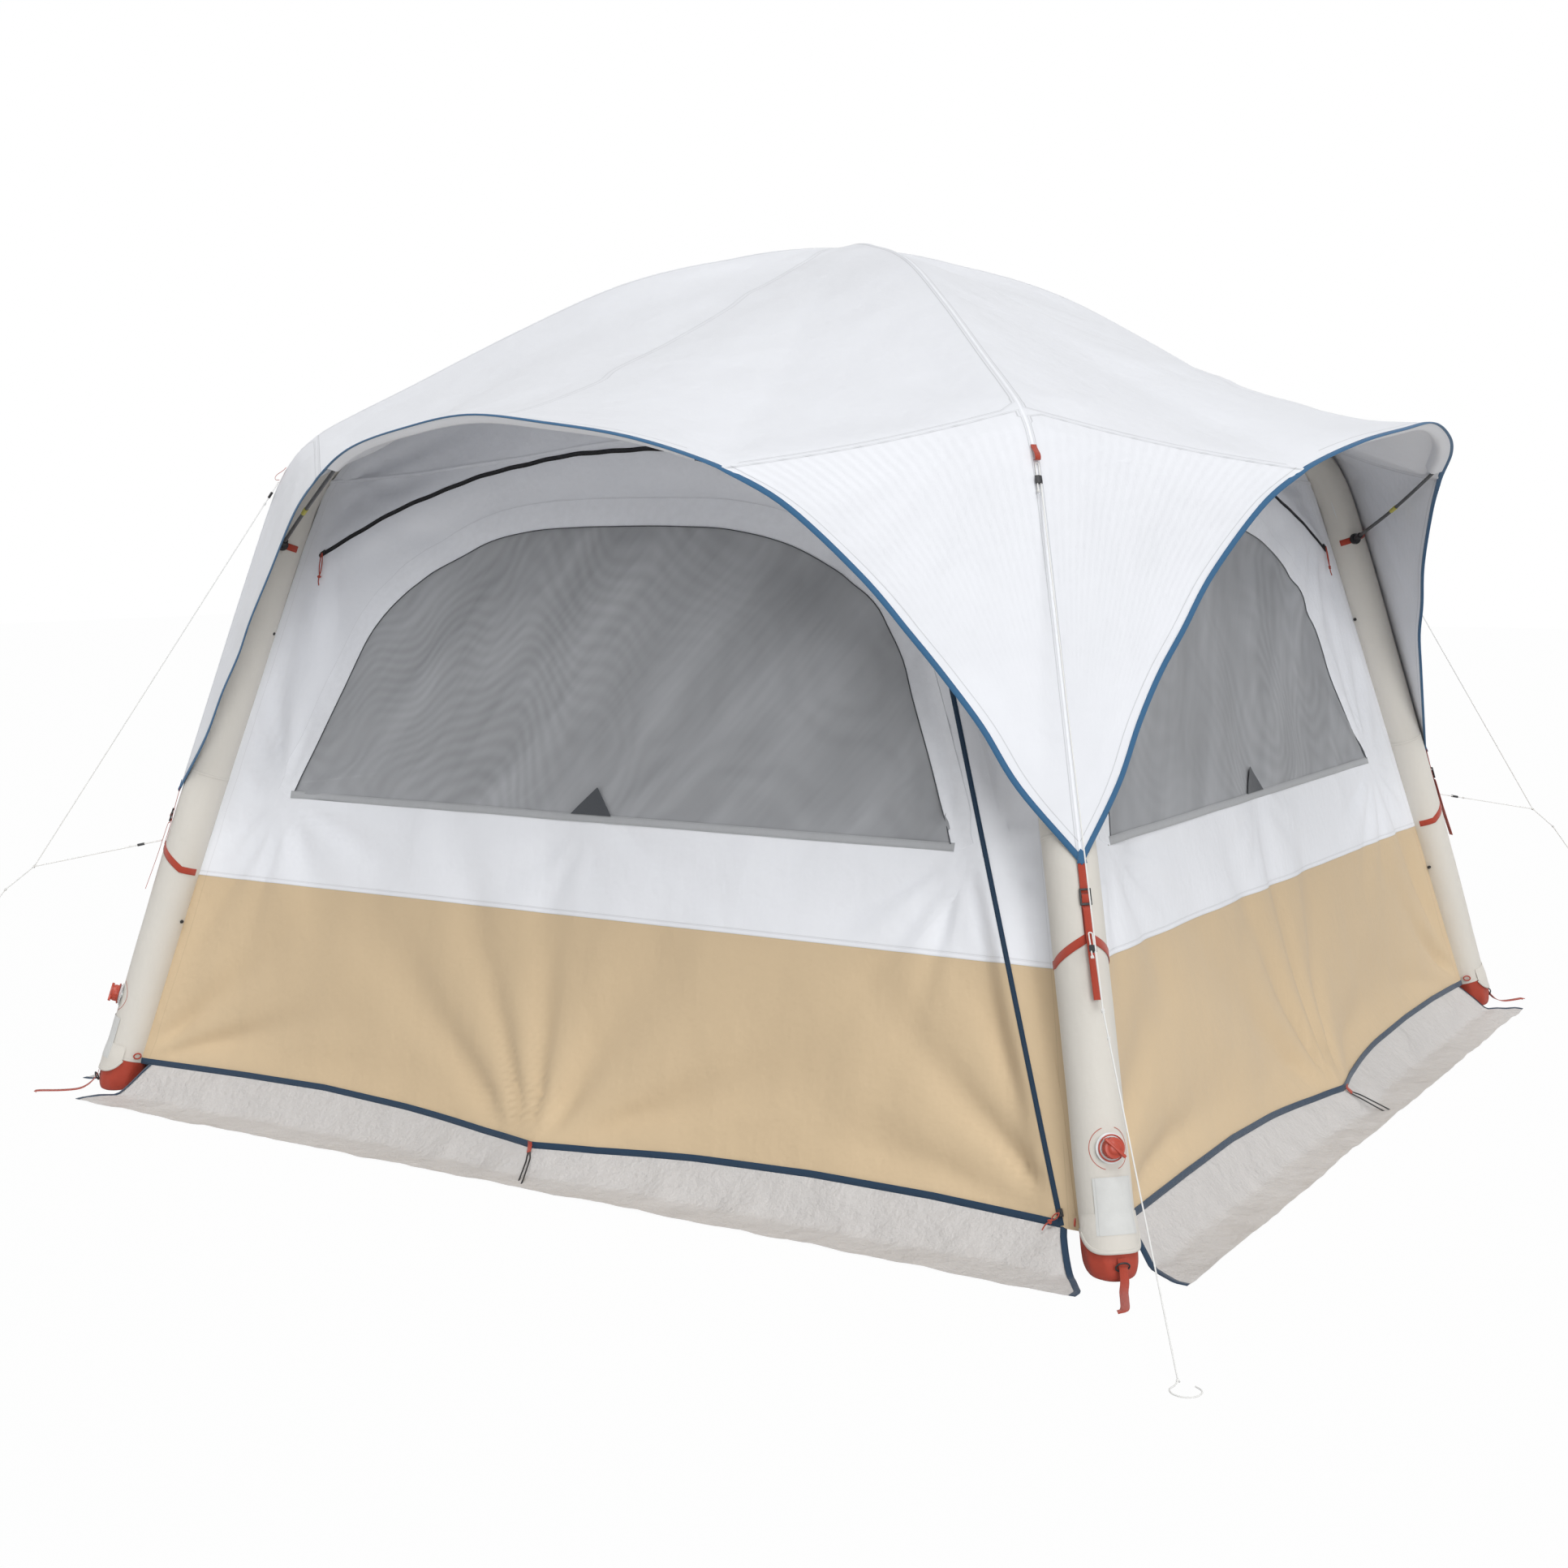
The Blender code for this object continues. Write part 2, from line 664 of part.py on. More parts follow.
def fly_polygons():
    """Both halves of the front fly."""
    found = []
    for side in (1, -1):
        for rows in (gore_rows, triangle_rows):
            found += grid([[wall_point(side * s, d + RIDGE_SHIFT, z, 0) for s, d, z in row] for row in rows])
        low = [wall_point(side * s, d + RIDGE_SHIFT, z, 0) for s, d, z in triangle_rows[-1]]
        tip = wall_point(side * TIP[0], TIP[1] + RIDGE_SHIFT, TIP[2], 0)
        found += [[low[0], low[1], tip], [low[1], low[2], tip]]
    return found


fly = sheet("fly", fly_polygons(), "fly_white", FLY_SHEET, 1, lambda p: Vector((0.0, -1.0, 1.0)))
on_every_side(fly, "fly", SIDES)

# Visor poles run under the visor edge between hubs on the legs
hub_height = catmull(LEG_AXIS, SHOULDER_STATION_SHARE)[1] - HUB_DROP
hub_axis, _ = leg_at(hub_height)
hub_off = TUBE_RADIUS + HUB_LIFT + HUB_THICK / 2
HUB = ((hub_axis[0] - hub_off) / ROOT_TWO, (hub_axis[0] + hub_off) / ROOT_TWO, hub_height)


def under_edge(place):
    """Place of the pole under the visor edge."""
    edge = Vector(gore_rows[-1][place])
    inner = Vector(gore_rows[-2][place])
    return tuple(edge + (inner - edge).normalized() * POLE_INSET - Vector((0.0, 0.0, POLE_DROP)))


pole_half = [under_edge(i) for i in range(2, len(gore_rows[-1]))]
pole_line = [HUB, lerp(pole_half[0], HUB, POLE_BEND_SHARE),
             lerp(pole_half[0], pole_half[1], POLE_BEND_SHARE * 2)]
pole_line += pole_half[1:]
pole_line = pole_line + [(-s, d, z) for s, d, z in reversed(pole_line[:-1])]


def cord(name, route, radius, slot, knots=()):
    """Round cord or rod along a list of points, thicker at knots given as (index, radius)."""
    data = bpy.data.curves.new(name, "CURVE")
    data.dimensions = "3D"
    data.bevel_depth = radius
    data.bevel_resolution = 2
    data.use_fill_caps = True
    line = data.splines.new("POLY")
    line.points.add(len(route) - 1)
    for point, place in zip(line.points, route):
        point.co = (*place, 1.0)
    for index, size in knots:
        line.points[index].radius = size / radius
    return adopt(name, data, slot)


def frame_toward(spot, axis):
    """Frame at a spot with Z along an axis."""
    return Matrix.Translation(Vector(spot)) @ Vector(axis).to_track_quat("Z", "Y").to_matrix().to_4x4()


pole = settled(cord("visor_pole", [wall_point(*p, 0) for p in pole_line], POLE_RADIUS, "black_plastic"))
for way in (1, -1):
    spot = Vector(wall_point(way * HUB[0], HUB[1], HUB[2], 0))
    first = Vector(wall_point(way * pole_line[1][0], pole_line[1][1], pole_line[1][2], 0))
    combine(pole, cylinder_mesh(HUB_SOCKET_RADIUS, 0.0, HUB_SOCKET, 12), frame_toward(spot, first - spot),
            "UNION")
    combine(pole, cylinder_mesh(HUB_RADIUS, -HUB_THICK / 2, HUB_THICK / 2, 16),
            frame_toward(spot, (-way, -1.0, 0.0)), "UNION")
on_every_side(settled(pole), "visor_pole", SIDES)

# Walls: the wall plane, with seam edges found against sleeves, cups and fly
neighbours = []
for thing_name in ("sleeve_front_back", "sleeve_left_right", "foot_cup_front", "foot_cup_right", "fly_front"):
    neighbours += polygons_of(baked(bpy.data.objects[thing_name]))
tree_mesh = mesh_of(neighbours)
tree = BVHTree.FromPolygons([v.co.copy() for v in tree_mesh.vertices],
                            [list(face.vertices) for face in tree_mesh.polygons])
SLANT = math.hypot(1.0, WALL_SLOPE_SHARE)
WALL_TILT = math.pi / 2 - math.atan(WALL_SLOPE_SHARE)


def wall_out(height):
    """Distance of the wall plane from the middle at a height."""
    return WALL_FOOT - WALL_SLOPE_SHARE * height


def reach(start, direction, slack):
    """Point where a ray from the wall meets a neighbour, short by the slack."""
    way = Vector(direction).normalized()
    hit = tree.ray_cast(Vector(start), way)
    return hit[0] - way * slack


def side_reach(height):
    """Half width of the front wall at a height."""
    return reach((0.0, -wall_out(height), height), (1.0, 0.0, 0.0), EDGE_SLACK).x


def top_reach(along):
    """Height of the gable edge of the front wall at a place along it."""
    start = (along, -wall_out(BAND_TOP), BAND_TOP)
    return reach(start, (0.0, WALL_SLOPE_SHARE, 1.0), TOP_SLACK).z


side_line = [(side_reach(z) - (SHOULDER_SLACK if z > SHOULDER_FOOT else 0.0), z) for z in SIDE_HEIGHTS]
top_line = [(s, top_reach(s)) for s in TOP_PLACES] + [(0.0, top_reach(0.0))]
zip_way = (DOOR_ZIP_HEAD[0] - DOOR_ZIP_FOOT[0], DOOR_ZIP_HEAD[1] - DOOR_ZIP_FOOT[1])


def zip_at(height):
    """Place of the door zip along the wall at a height."""
    return DOOR_ZIP_FOOT[0] + zip_way[0] * (height - DOOR_ZIP_FOOT[1]) / zip_way[1]


CREASE_TOP = (zip_at(DOOR_CORNER_TOP), DOOR_CORNER_TOP)


def crease_at(height):
    """Place of the door crease along the wall at a height."""
    return DOOR_CREASE_FOOT + (CREASE_TOP[0] - DOOR_CREASE_FOOT) * (height - HEM) / (DOOR_CORNER_TOP - HEM)


def wall_frame(k):
    """Frame of the plane of wall k: X along, Y up the slope, Z outward."""
    spin = Matrix.Rotation(QUARTER * k, 4, "Z")
    return spin @ Matrix.Translation((0.0, -WALL_FOOT, 0.0)) @ Matrix.Rotation(WALL_TILT, 4, "X")


def peg_pull(x, z):
    """How far the peg pulls the hem outward at a place of the band."""
    across = max(1 - abs(x) / PEG_PULL_HALF, 0.0)
    up = max(1 - (z - HEM) / PEG_PULL_HEIGHT, 0.0)
    return PEG_PULL * across * across * up * up


def on_wall(x, z, lift):
    """World point on the front wall raised outward off its plane, with the pull of the peg."""
    return wall_point(x, wall_out(z) + lift / SLANT + peg_pull(x, z), z + lift * WALL_SLOPE_SHARE / SLANT, 0)


def inset(loop, size):
    """Counter-clockwise loop moved inward."""
    found = []
    count = len(loop)
    for i in range(count):
        a, b, c = loop[i - 1], loop[i], loop[(i + 1) % count]
        u = Vector((b[0] - a[0], b[1] - a[1])).normalized()
        v = Vector((c[0] - b[0], c[1] - b[1])).normalized()
        n1 = Vector((-u.y, u.x))
        n2 = Vector((-v.y, v.x))
        middle = (n1 + n2) / (1 + n1.dot(n2))
        found.append((b[0] + middle.x * size, b[1] + middle.y * size))
    return found


def filled(loops):
    """Triangles of (along, height) between an outline and its holes."""
    work = bmesh.new()
    for loop in loops:
        corners = [work.verts.new((x, z, 0.0)) for x, z in loop]
        for a, b in zip(corners, corners[1:] + corners[:1]):
            work.edges.new((a, b))
    bmesh.ops.triangle_fill(work, use_beauty=True, edges=work.edges)
    triangles = [[(v.co.x, v.co.y) for v in face.verts] for face in work.faces]
    work.free()
    return triangles


def band(left, right, columns, rows):
    """Rows of (along, height) between two slanted side lines given as functions of height."""
    lines = []
    for share in rows:
        z = HEM + (BAND_TOP - HEM) * share
        lines.append([(left(z) + (right(z) - left(z)) * t, z) for t in columns])
    return lines


def wall_polygons(bands, notch):
    """World polygons of a whole wall: bands below, field with its window hole above."""
    outline = []
    for lines in bands:
        outline += lines[-1]
        outline += notch if lines is not bands[-1] else []
    outline += side_line + top_line + [(-x, z) for x, z in reversed(top_line[:-1])]
    outline += [(-x, z) for x, z in reversed(side_line)]
    found = [[on_wall(x, z, 0.0) for x, z in triangle] for triangle in filled([outline, window_loop])]
    for lines in bands:
        found += grid([[on_wall(x, z, 0.0) for x, z in line] for line in lines])
    return found


def outward(p):
    """Outward reference of the front wall."""
    return Vector((0.0, -1.0, 0.0))


window_loop = WINDOW + [(-x, z) for x, z in reversed(WINDOW)]
whole_band = [band(lambda z: -side_reach(z), side_reach, BAND_COLUMN_SHARES, BAND_ROW_SHARES)]
wall = sheet("wall", wall_polygons(whole_band, []), "wall_white", SHEET, 0, outward)
for k, side in enumerate(SIDES[1:], 1):
    twin = wall.copy()
    twin.name = "wall_" + side
    tent.objects.link(twin)
    twin.matrix_world = Matrix.Rotation(QUARTER * k, 4, "Z")
bpy.data.objects.remove(wall, do_unlink=True)

# Front wall with the slot of the door corner, and its zip tape
door_bands = [band(lambda z: -side_reach(z), lambda z: crease_at(z) - DOOR_CUT / 2, DOOR_COLUMN_SHARES,
                   BAND_ROW_SHARES),
              band(lambda z: zip_at(z) + DOOR_CUT / 2, side_reach, [0.0, 1.0], BAND_ROW_SHARES)]
notch = [(CREASE_TOP[0], CREASE_TOP[1] + DOOR_CUT)]
front = sheet("wall_front", wall_polygons(door_bands, notch), "wall_white", SHEET, 0, outward)
zip_dir = Vector((zip_way[0], zip_way[1] * SLANT)).normalized()
zip_side = Vector((zip_dir.y, -zip_dir.x))


def beside_zip(height, off, lift):
    """World point beside the door zip at a height, off to its right."""
    return on_wall(zip_at(height) + off * zip_side.x, height + off * zip_side.y / SLANT, lift)


def tape(name, spans):
    """Zip tape sunk a little into the cloth, from (height, left, right) stations."""
    faces = grid([[beside_zip(level, low, SHEET / 2 - GAP), beside_zip(level, high, SHEET / 2 - GAP)]
                  for level, low, high in spans])
    return sheet(name, faces, "navy", ZIP_TAPE + GAP, 1, outward)


def joined(target, piece):
    """Unites a piece with a target object."""
    mesh = baked(piece)
    bpy.data.objects.remove(piece, do_unlink=True)
    combine(target, mesh, Matrix.Identity(4), "UNION")


tape_split = DOOR_CORNER_TOP + DOOR_TAPE
fixed_foot = HEM + DOOR_TAPE
joined(front, tape("fixed_tape", [(fixed_foot, DOOR_CUT, DOOR_TAPE), (tape_split, DOOR_CUT, DOOR_TAPE)]))
joined(front, tape("upper_tape", [(tape_split - DOOR_CUT, -DOOR_TAPE, DOOR_TAPE + DOOR_CUT),
                                  (DOOR_ZIP_HEAD[1], -DOOR_TAPE, DOOR_TAPE + DOOR_CUT)]))
settled(front)

# Door corner: swings outward about its crease, with its half of the zip tape
crease_foot = Vector(on_wall(DOOR_CREASE_FOOT, HEM, 0.0))
corner_band = band(lambda z: crease_at(z) + DOOR_CUT / 2, lambda z: zip_at(z) - DOOR_CUT / 2, [0.0, 1.0],
                   BAND_ROW_SHARES)
corner = grid([[wall_point(x, wall_out(z), z, 0) for x, z in line] for line in corner_band])
corner_top = (CREASE_TOP[0] + DOOR_CUT / 4, CREASE_TOP[1] - DOOR_CUT * 3)
corner.append([wall_point(x, wall_out(z), z, 0) for x, z in corner_band[-1] + [corner_top]])
door = sheet("door_corner", corner, "sand", SHEET, 0, outward)
corner_tape = [(fixed_foot, -DOOR_TAPE, -DOOR_CUT), (DOOR_CORNER_TOP - DOOR_TAPE * 4, -DOOR_TAPE, -DOOR_CUT)]
joined(door, tape("corner_tape", corner_tape))
door = settled(door)
door.data.transform(Matrix.Translation(-crease_foot))
door.location = crease_foot

# Window meshes in the holes of the walls
window_inner = inset(window_loop, GAP)
window = sheet("window_mesh", [[on_wall(x, z, 0.0) for x, z in window_inner]], "mesh_grey", SHEET, 0, outward)
on_every_side(window, "window_mesh", SIDES)

# Arched zips over the windows
tape_lift = SHEET / 2 + GAP
arc_half = math.asin(ZIP_HALF / ZIP_ARC_RADIUS)
arc_centre = ZIP_END_UP - math.sqrt(ZIP_ARC_RADIUS ** 2 - ZIP_HALF ** 2)
rows = []
for off in (-ZIP_WIDTH / 2, ZIP_WIDTH / 2):
    row = []
    for i in range(ARC_STEPS + 1):
        angle = arc_half * (2 * i / ARC_STEPS - 1)
        radius = ZIP_ARC_RADIUS + off
        up = arc_centre + radius * math.cos(angle)
        row.append(on_wall(radius * math.sin(angle), up / SLANT, tape_lift))
    rows.append(row)
on_every_side(sheet("arch_zip", grid(rows), "zip_black", ZIP_TAPE, 1, outward), "arch_zip", SIDES)


def slider(name, spot, frame_matrix, along, hang):
    """Zip slider pointing along the zip with a pull hanging from it, in the plane of a wall."""
    low = tape_lift + ZIP_TAPE + GAP
    body_mesh = box_mesh((-SLIDER_WIDTH / 2, -SLIDER_LENGTH / 2, low),
                         (SLIDER_WIDTH / 2, SLIDER_LENGTH / 2, low + SLIDER_THICK))
    body_mesh.transform(Matrix.Rotation(math.atan2(along[1], along[0]) - QUARTER, 4, "Z"))
    body_mesh.transform(Matrix.Translation(Vector(spot)))
    body = adopt(name, body_mesh, "red_plastic", frame=frame_matrix)
    edge = body.modifiers.new("edge", "BEVEL")
    edge.width = SLIDER_THICK / 5
    pull_low = low + SLIDER_THICK / 3
    pull = box_mesh((-PULL_WIDTH / 2, 0.0, pull_low), (PULL_WIDTH / 2, PULL_LENGTH, pull_low + PULL_THICK))
    pull.transform(Matrix.Rotation(math.atan2(hang[1], hang[0]) - QUARTER, 4, "Z"))
    pull.transform(Matrix.Translation(Vector(spot)))
    combine(body, pull, frame_matrix, "UNION")
    return settled(body)


def recentred(thing, origin):
    """Moves the origin of an object to a world point without moving its shape."""
    thing.data.transform(Matrix.Translation(-Vector(origin)))
    thing.location = origin


arc_axis = wall_frame(0) @ Vector((0.0, arc_centre, 0.0))
for k, side in enumerate(SIDES):
    way = -1 if k in (0, 2) else 1
    angle = way * (arc_half - SLIDER_LENGTH / ZIP_ARC_RADIUS)
    spot = (ZIP_ARC_RADIUS * math.sin(angle), arc_centre + ZIP_ARC_RADIUS * math.cos(angle), 0.0)
    along = (math.cos(angle), -math.sin(angle))
    piece = slider("arch_zip_slider_" + side, spot, wall_frame(k), along, (0.0, -1.0))
    recentred(piece, Matrix.Rotation(QUARTER * k, 4, "Z") @ arc_axis)
foot_level = HEM + SLIDER_LENGTH * 1.6
foot_off = SLIDER_WIDTH / 2 + DOOR_CUT
foot_spot = (zip_at(foot_level) + foot_off * zip_side.x, foot_level * SLANT + foot_off * zip_side.y, 0.0)
piece = slider("door_zip_slider", foot_spot, wall_frame(0), tuple(zip_dir), tuple(zip_dir))
recentred(piece, wall_frame(0) @ Vector(foot_spot))

# Ground skirts: out from under the hem, down to the ground, then flat
lines = []
for share in SKIRT_PLACE_SHARES:
    top_x = share * SKIRT_HEM_HALF
    low_x = share * SKIRT_END_HALF
    pull = peg_pull(top_x, HEM)
    start = on_wall(top_x, HEM - SKIRT_DROP, 0.0)
    crease = wall_point((top_x + low_x) / 2, SKIRT_CREASE + pull * SKIRT_PULL / PEG_PULL, SHEET / 2, 0)
    lines.append([start, crease, wall_point(low_x, SKIRT_OUT, SHEET / 2, 0)])
skirt = sheet("skirt", grid(lines), "skirt_grey", SHEET, 0, lambda p: Vector((0.0, 0.0, 1.0)))
on_every_side(skirt, "skirt", SIDES)


def leg_frame(level, lift, c):
    """Frame on the outer line of a leg: X across, Y up the leg, Z outward."""
    (rho, z), (nr, nz) = leg_at(level)
    off = TUBE_RADIUS + lift
    middle = Vector(corner_point(rho + off * nr, 0.0, z + off * nz, c))
    out = Vector(corner_point(nr, 0.0, nz, c)) - Vector(corner_point(0.0, 0.0, 0.0, c))
    side = Vector(corner_point(0.0, 1.0, 0.0, c))
    return Matrix.Translation(middle) @ Matrix((side, out.cross(side), out)).transposed().to_4x4()


# Tip straps: webbing ring round the leg, ladder lock and the strap that pulls the fly tip down
(rho, z), (nr, nz) = leg_at(LOWER_RING)
rows = []
for half in (-RING_STRAP_WIDTH / 2, RING_STRAP_WIDTH / 2):
    row = []
    for i in range(-5, 6):
        angle = 2 * math.pi * i / TUBE_SIDES
        shift = half + LOWER_RING_RISE * max(1 - abs(angle) / QUARTER, 0.0)
        radius = TUBE_RADIUS + GAP
        off = radius * math.cos(angle)
        aside = radius * math.sin(angle)
        row.append(corner_point(rho + off * nr - shift * nz, aside, z + off * nz + shift * nr, 0))
    rows.append(row)
ring_middle = Vector(corner_point(rho, 0.0, z, 0))
tip_strap = sheet("tip_strap", grid(rows), "red_fabric", STRAP, 1,
                  lambda p: Vector(((p - ring_middle).x, (p - ring_middle).y, 0.0)))
lock_frame = leg_frame(LOCK_LEVEL, LOCK_OFF, 0)
lock_half = (LOCK_WIDTH / 2, LOCK_HEIGHT / 2, LOCK_THICK / 2)
lock = adopt("lock", box_mesh([-half for half in lock_half], lock_half), "black_plastic", frame=lock_frame)
inner = STRAP_INNER - LOCK_OFF
outer = STRAP_OUTER - LOCK_OFF
tip_up = (TIP_LEVEL - LOCK_LEVEL) * LEG_SLANT_SHARE
tail = (TAIL_LEVEL - LOCK_LEVEL) * LEG_SLANT_SHARE
ring_up = (LOWER_RING - LOCK_LEVEL) * LEG_SLANT_SHARE + LOWER_RING_RISE
upper_path = [(tip_up, FLY_LIFT + FLY_SHEET / 2 - LOCK_OFF), (LOCK_SLOT_OFF, inner), (LOCK_SLOT_OFF, outer),
              (LOCK_SLOT_OFF + STRAP_FOLD, outer)]
lower_path = [(ring_up, STRAP - LOCK_OFF), (-LOCK_HEIGHT / 2, inner), (-LOCK_SLOT_OFF, inner),
              (-LOCK_SLOT_OFF, outer), (tail, outer)]
for path, part_name in ((upper_path, "upper_web"), (lower_path, "lower_web")):
    rows = [[tuple(lock_frame @ Vector((aside, up, off))) for up, off in path]
            for aside in (-STRAP_WIDTH / 2, STRAP_WIDTH / 2)]
    web = mesh_of(grid(rows))
    piece = adopt(part_name, web, "red_fabric")
    skin = piece.modifiers.new("skin", "SOLIDIFY")
    skin.thickness = STRAP
    skin.offset = 0.0
    piece = settled(piece)
    joined(lock, piece)
lock = settled(lock)
joined(tip_strap, lock)
on_every_side(settled(tip_strap), "tip_strap", SIDES)


# Valves: body with a web inside, spring stem through the web, winged cap
def turned(name, profile, steps, slot):
    """Solid of revolution about Z from a closed outline of (radius, height)."""
    mesh = bpy.data.meshes.new(name)
    count = len(profile)
    mesh.from_pydata([(r, 0.0, z) for r, z in profile], [(i, (i + 1) % count) for i in range(count)], [])
    thing = adopt(name, mesh, slot)
    spin = thing.modifiers.new("spin", "SCREW")
    spin.steps = steps
    spin.render_steps = steps
    spin.use_merge_vertices = True
    spin.merge_threshold = MERGE
    thing = settled(thing)
    close_outward(thing.data)
    return thing


body_profile = [(WEB_HOLE, WEB_START), (NECK_BORE, WEB_START), (NECK_BORE, NECK_START),
                (NECK_RADIUS, NECK_START), (NECK_RADIUS, FLANGE_START), (FLANGE_RADIUS, FLANGE_START),
                (FLANGE_RADIUS, FLANGE_END), (NECK_RADIUS, FLANGE_END), (NECK_RADIUS, NECK_END),
                (NECK_BORE, NECK_END), (NECK_BORE, WEB_END), (WEB_HOLE, WEB_END)]
stem_profile = [(0.0, STEM_DISC_START), (STEM_DISC, STEM_DISC_START), (STEM_DISC, STEM_DISC_END),
                (STEM_ROD, STEM_DISC_END), (STEM_ROD, STEM_END), (0.0, STEM_END)]
cap_profile = [(0.0, CAP_ROOF), (CAP_BORE, CAP_ROOF), (CAP_BORE, CAP_START), (CAP_RADIUS, CAP_START),
               (CAP_RADIUS, CAP_ROOF), (CAP_RADIUS * CAP_CROWN_SHARE, CAP_END), (0.0, CAP_END)]
for side, c in (("front", 0), ("left", 3)):
    frame = valve_frame(c)
    body = turned("valve_body_" + side, body_profile, 12, "clear")
    for i in range(4):
        spin = Matrix.Rotation(QUARTER * (i + 1 / 8), 4, "Z") @ Matrix.Translation((VENT_RADIUS, 0.0, 0.0))
        vent = cylinder_mesh(VENT_HOLE, WEB_START - VENT_HOLE, WEB_END + VENT_HOLE, 6)
        combine(body, vent, frame @ spin, "DIFFERENCE")
    body.matrix_world = frame
    stem = turned("valve_stem_" + side, stem_profile, 10, "red_plastic")
    stem.matrix_world = frame
    cap = turned("valve_cap_" + side, cap_profile, 12, "red_plastic")
    wings = box_mesh((-CAP_WING, -CAP_WING_THICK / 2, CAP_WING_START),
                     (CAP_WING, CAP_WING_THICK / 2, CAP_WING_END))
    combine(cap, wings, frame @ Matrix.Rotation(QUARTER / 2, 4, "Z"), "UNION")
    cap.matrix_world = frame


def unit(a, b):
    """Unit vector from a to b."""
    return (Vector(b) - Vector(a)).normalized()


def bight(head, down, across):
    """Half turn of a cord whose two strands leave its head side by side."""
    return [head + across * (STRAND * math.cos(a)) + down * (STRAND - STRAND * math.sin(a))
            for a in (math.pi, QUARTER * 1.5, QUARTER, QUARTER / 2, 0.0)]


def tensioner(name, frame):
    """Flat oval tensioner with two bores along Z for the paired strands."""
    length, width, thick = GUY_SLIDER
    ends = []
    for z in (-length / 2, length / 2):
        ends.append([(width / 2 * math.cos(a), thick / 2 * math.sin(a), z)
                     for a in (2 * math.pi * i / 12 for i in range(12))])
    piece = solid(name, loft(ends), "black_plastic")
    for sign in (-1, 1):
        bore = cylinder_mesh(SLIDER_BORE, -length, length, 8)
        combine(piece, bore, frame @ Matrix.Translation((sign * STRAND, 0.0, 0.0)), "DIFFERENCE")
    piece.matrix_world = frame


# Guy lines: paired strands from the fly corner through a tensioner, a joint, then one line to the ground
for c, side in enumerate(SIDES):
    joint, knot, ground = (Vector(p) for p in GUYS[side])
    aside = Vector(corner_point(0.0, 1.0, 0.0, c))
    (rho, z), (nr, nz) = leg_at(GUY_TAB_LEVEL)
    off = ridge_offset + FLY_SHEET + CORD_RADIUS + GAP * 2
    head = Vector(corner_point(rho + off * nr, 0.0, z + off * nz, c))
    down = unit(head, joint)
    across = (aside - down * aside.dot(down)).normalized()
    slider_spot = head + down * UPPER_SLIDER_PLACE
    tail_end = head + down * (UPPER_SLIDER_PLACE + TAIL_REACH)
    lay = Vector((ground.x - knot.x, ground.y - knot.y, 0.0)).normalized()
    turn_side = Vector((-lay.y, lay.x, 0.0))
    loop = []
    for i in range(LOOP_STEPS - 1):
        a = math.pi + 2 * math.pi * (i + 0.6) / LOOP_STEPS
        spoke = lay * math.cos(a) + turn_side * math.sin(a)
        spot = ground + lay * (LOOP_NECK + LOOP_RADIUS) + spoke * LOOP_RADIUS
        loop.append(Vector((spot.x, spot.y, CORD_RADIUS + GAP)))
    neck = tail_end - down * TAIL_NECK
    route = [tail_end - across * STRAND, neck - across * STRAND] + bight(head, down, across)
    route += [neck + across * STRAND, joint - down * LOOP_RADIUS, joint,
              joint.lerp(knot, 0.5), knot, knot.lerp(ground, 0.5), knot.lerp(ground, 0.9), ground] + loop
    knots = [(0, KNOT_RADIUS * END_KNOT_SHARE), (route.index(joint), KNOT_RADIUS),
             (route.index(knot), KNOT_RADIUS * SMALL_KNOT_SHARE),
             (route.index(ground), KNOT_RADIUS * SMALL_KNOT_SHARE)]
    upper = settled(cord("guy_line_" + side, route, CORD_RADIUS, "cord_white", knots))
    (rho, z), (nr, nz) = leg_at(LOWER_HEAD_LEVEL)
    off = TUBE_RADIUS + STRAP_OUTER + STRAP / 2 + CORD_RADIUS + GAP * 2
    low_head = Vector(corner_point(rho + off * nr, 0.0, z + off * nz, c))
    low_down = unit(low_head, joint)
    low_across = (aside - low_down * aside.dot(low_down)).normalized()
    low_slider = low_head + low_down * LOWER_SLIDER_PLACE
    low_tail = low_head + low_down * (LOWER_SLIDER_PLACE + TAIL_REACH)
    neck = low_tail - low_down * TAIL_NECK
    route = [low_tail - low_across * STRAND, neck - low_across * STRAND]
    route += bight(low_head, low_down, low_across)
    route += [neck + low_across * STRAND, joint]
    lower_knots = [(0, KNOT_RADIUS * END_KNOT_SHARE)]
    joined(upper, settled(cord("lower_line", route, CORD_RADIUS, "cord_white", lower_knots)))
    settled(upper)
    for level, spot, way, beside in (("upper", slider_spot, down, across),
                                     ("lower", low_slider, low_down, low_across)):
        frame = Matrix.Translation(spot) @ Matrix((beside, way.cross(beside), way)).transposed().to_4x4()
        tensioner("guy_slider_" + level + "_" + side, frame)

bpy.context.view_layer.update()
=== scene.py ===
"""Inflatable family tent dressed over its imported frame: cloth, zips, webbing, cords, valves and a stage."""

import math

import bmesh
import bpy
import numpy as np
from mathutils import Matrix, Vector, noise


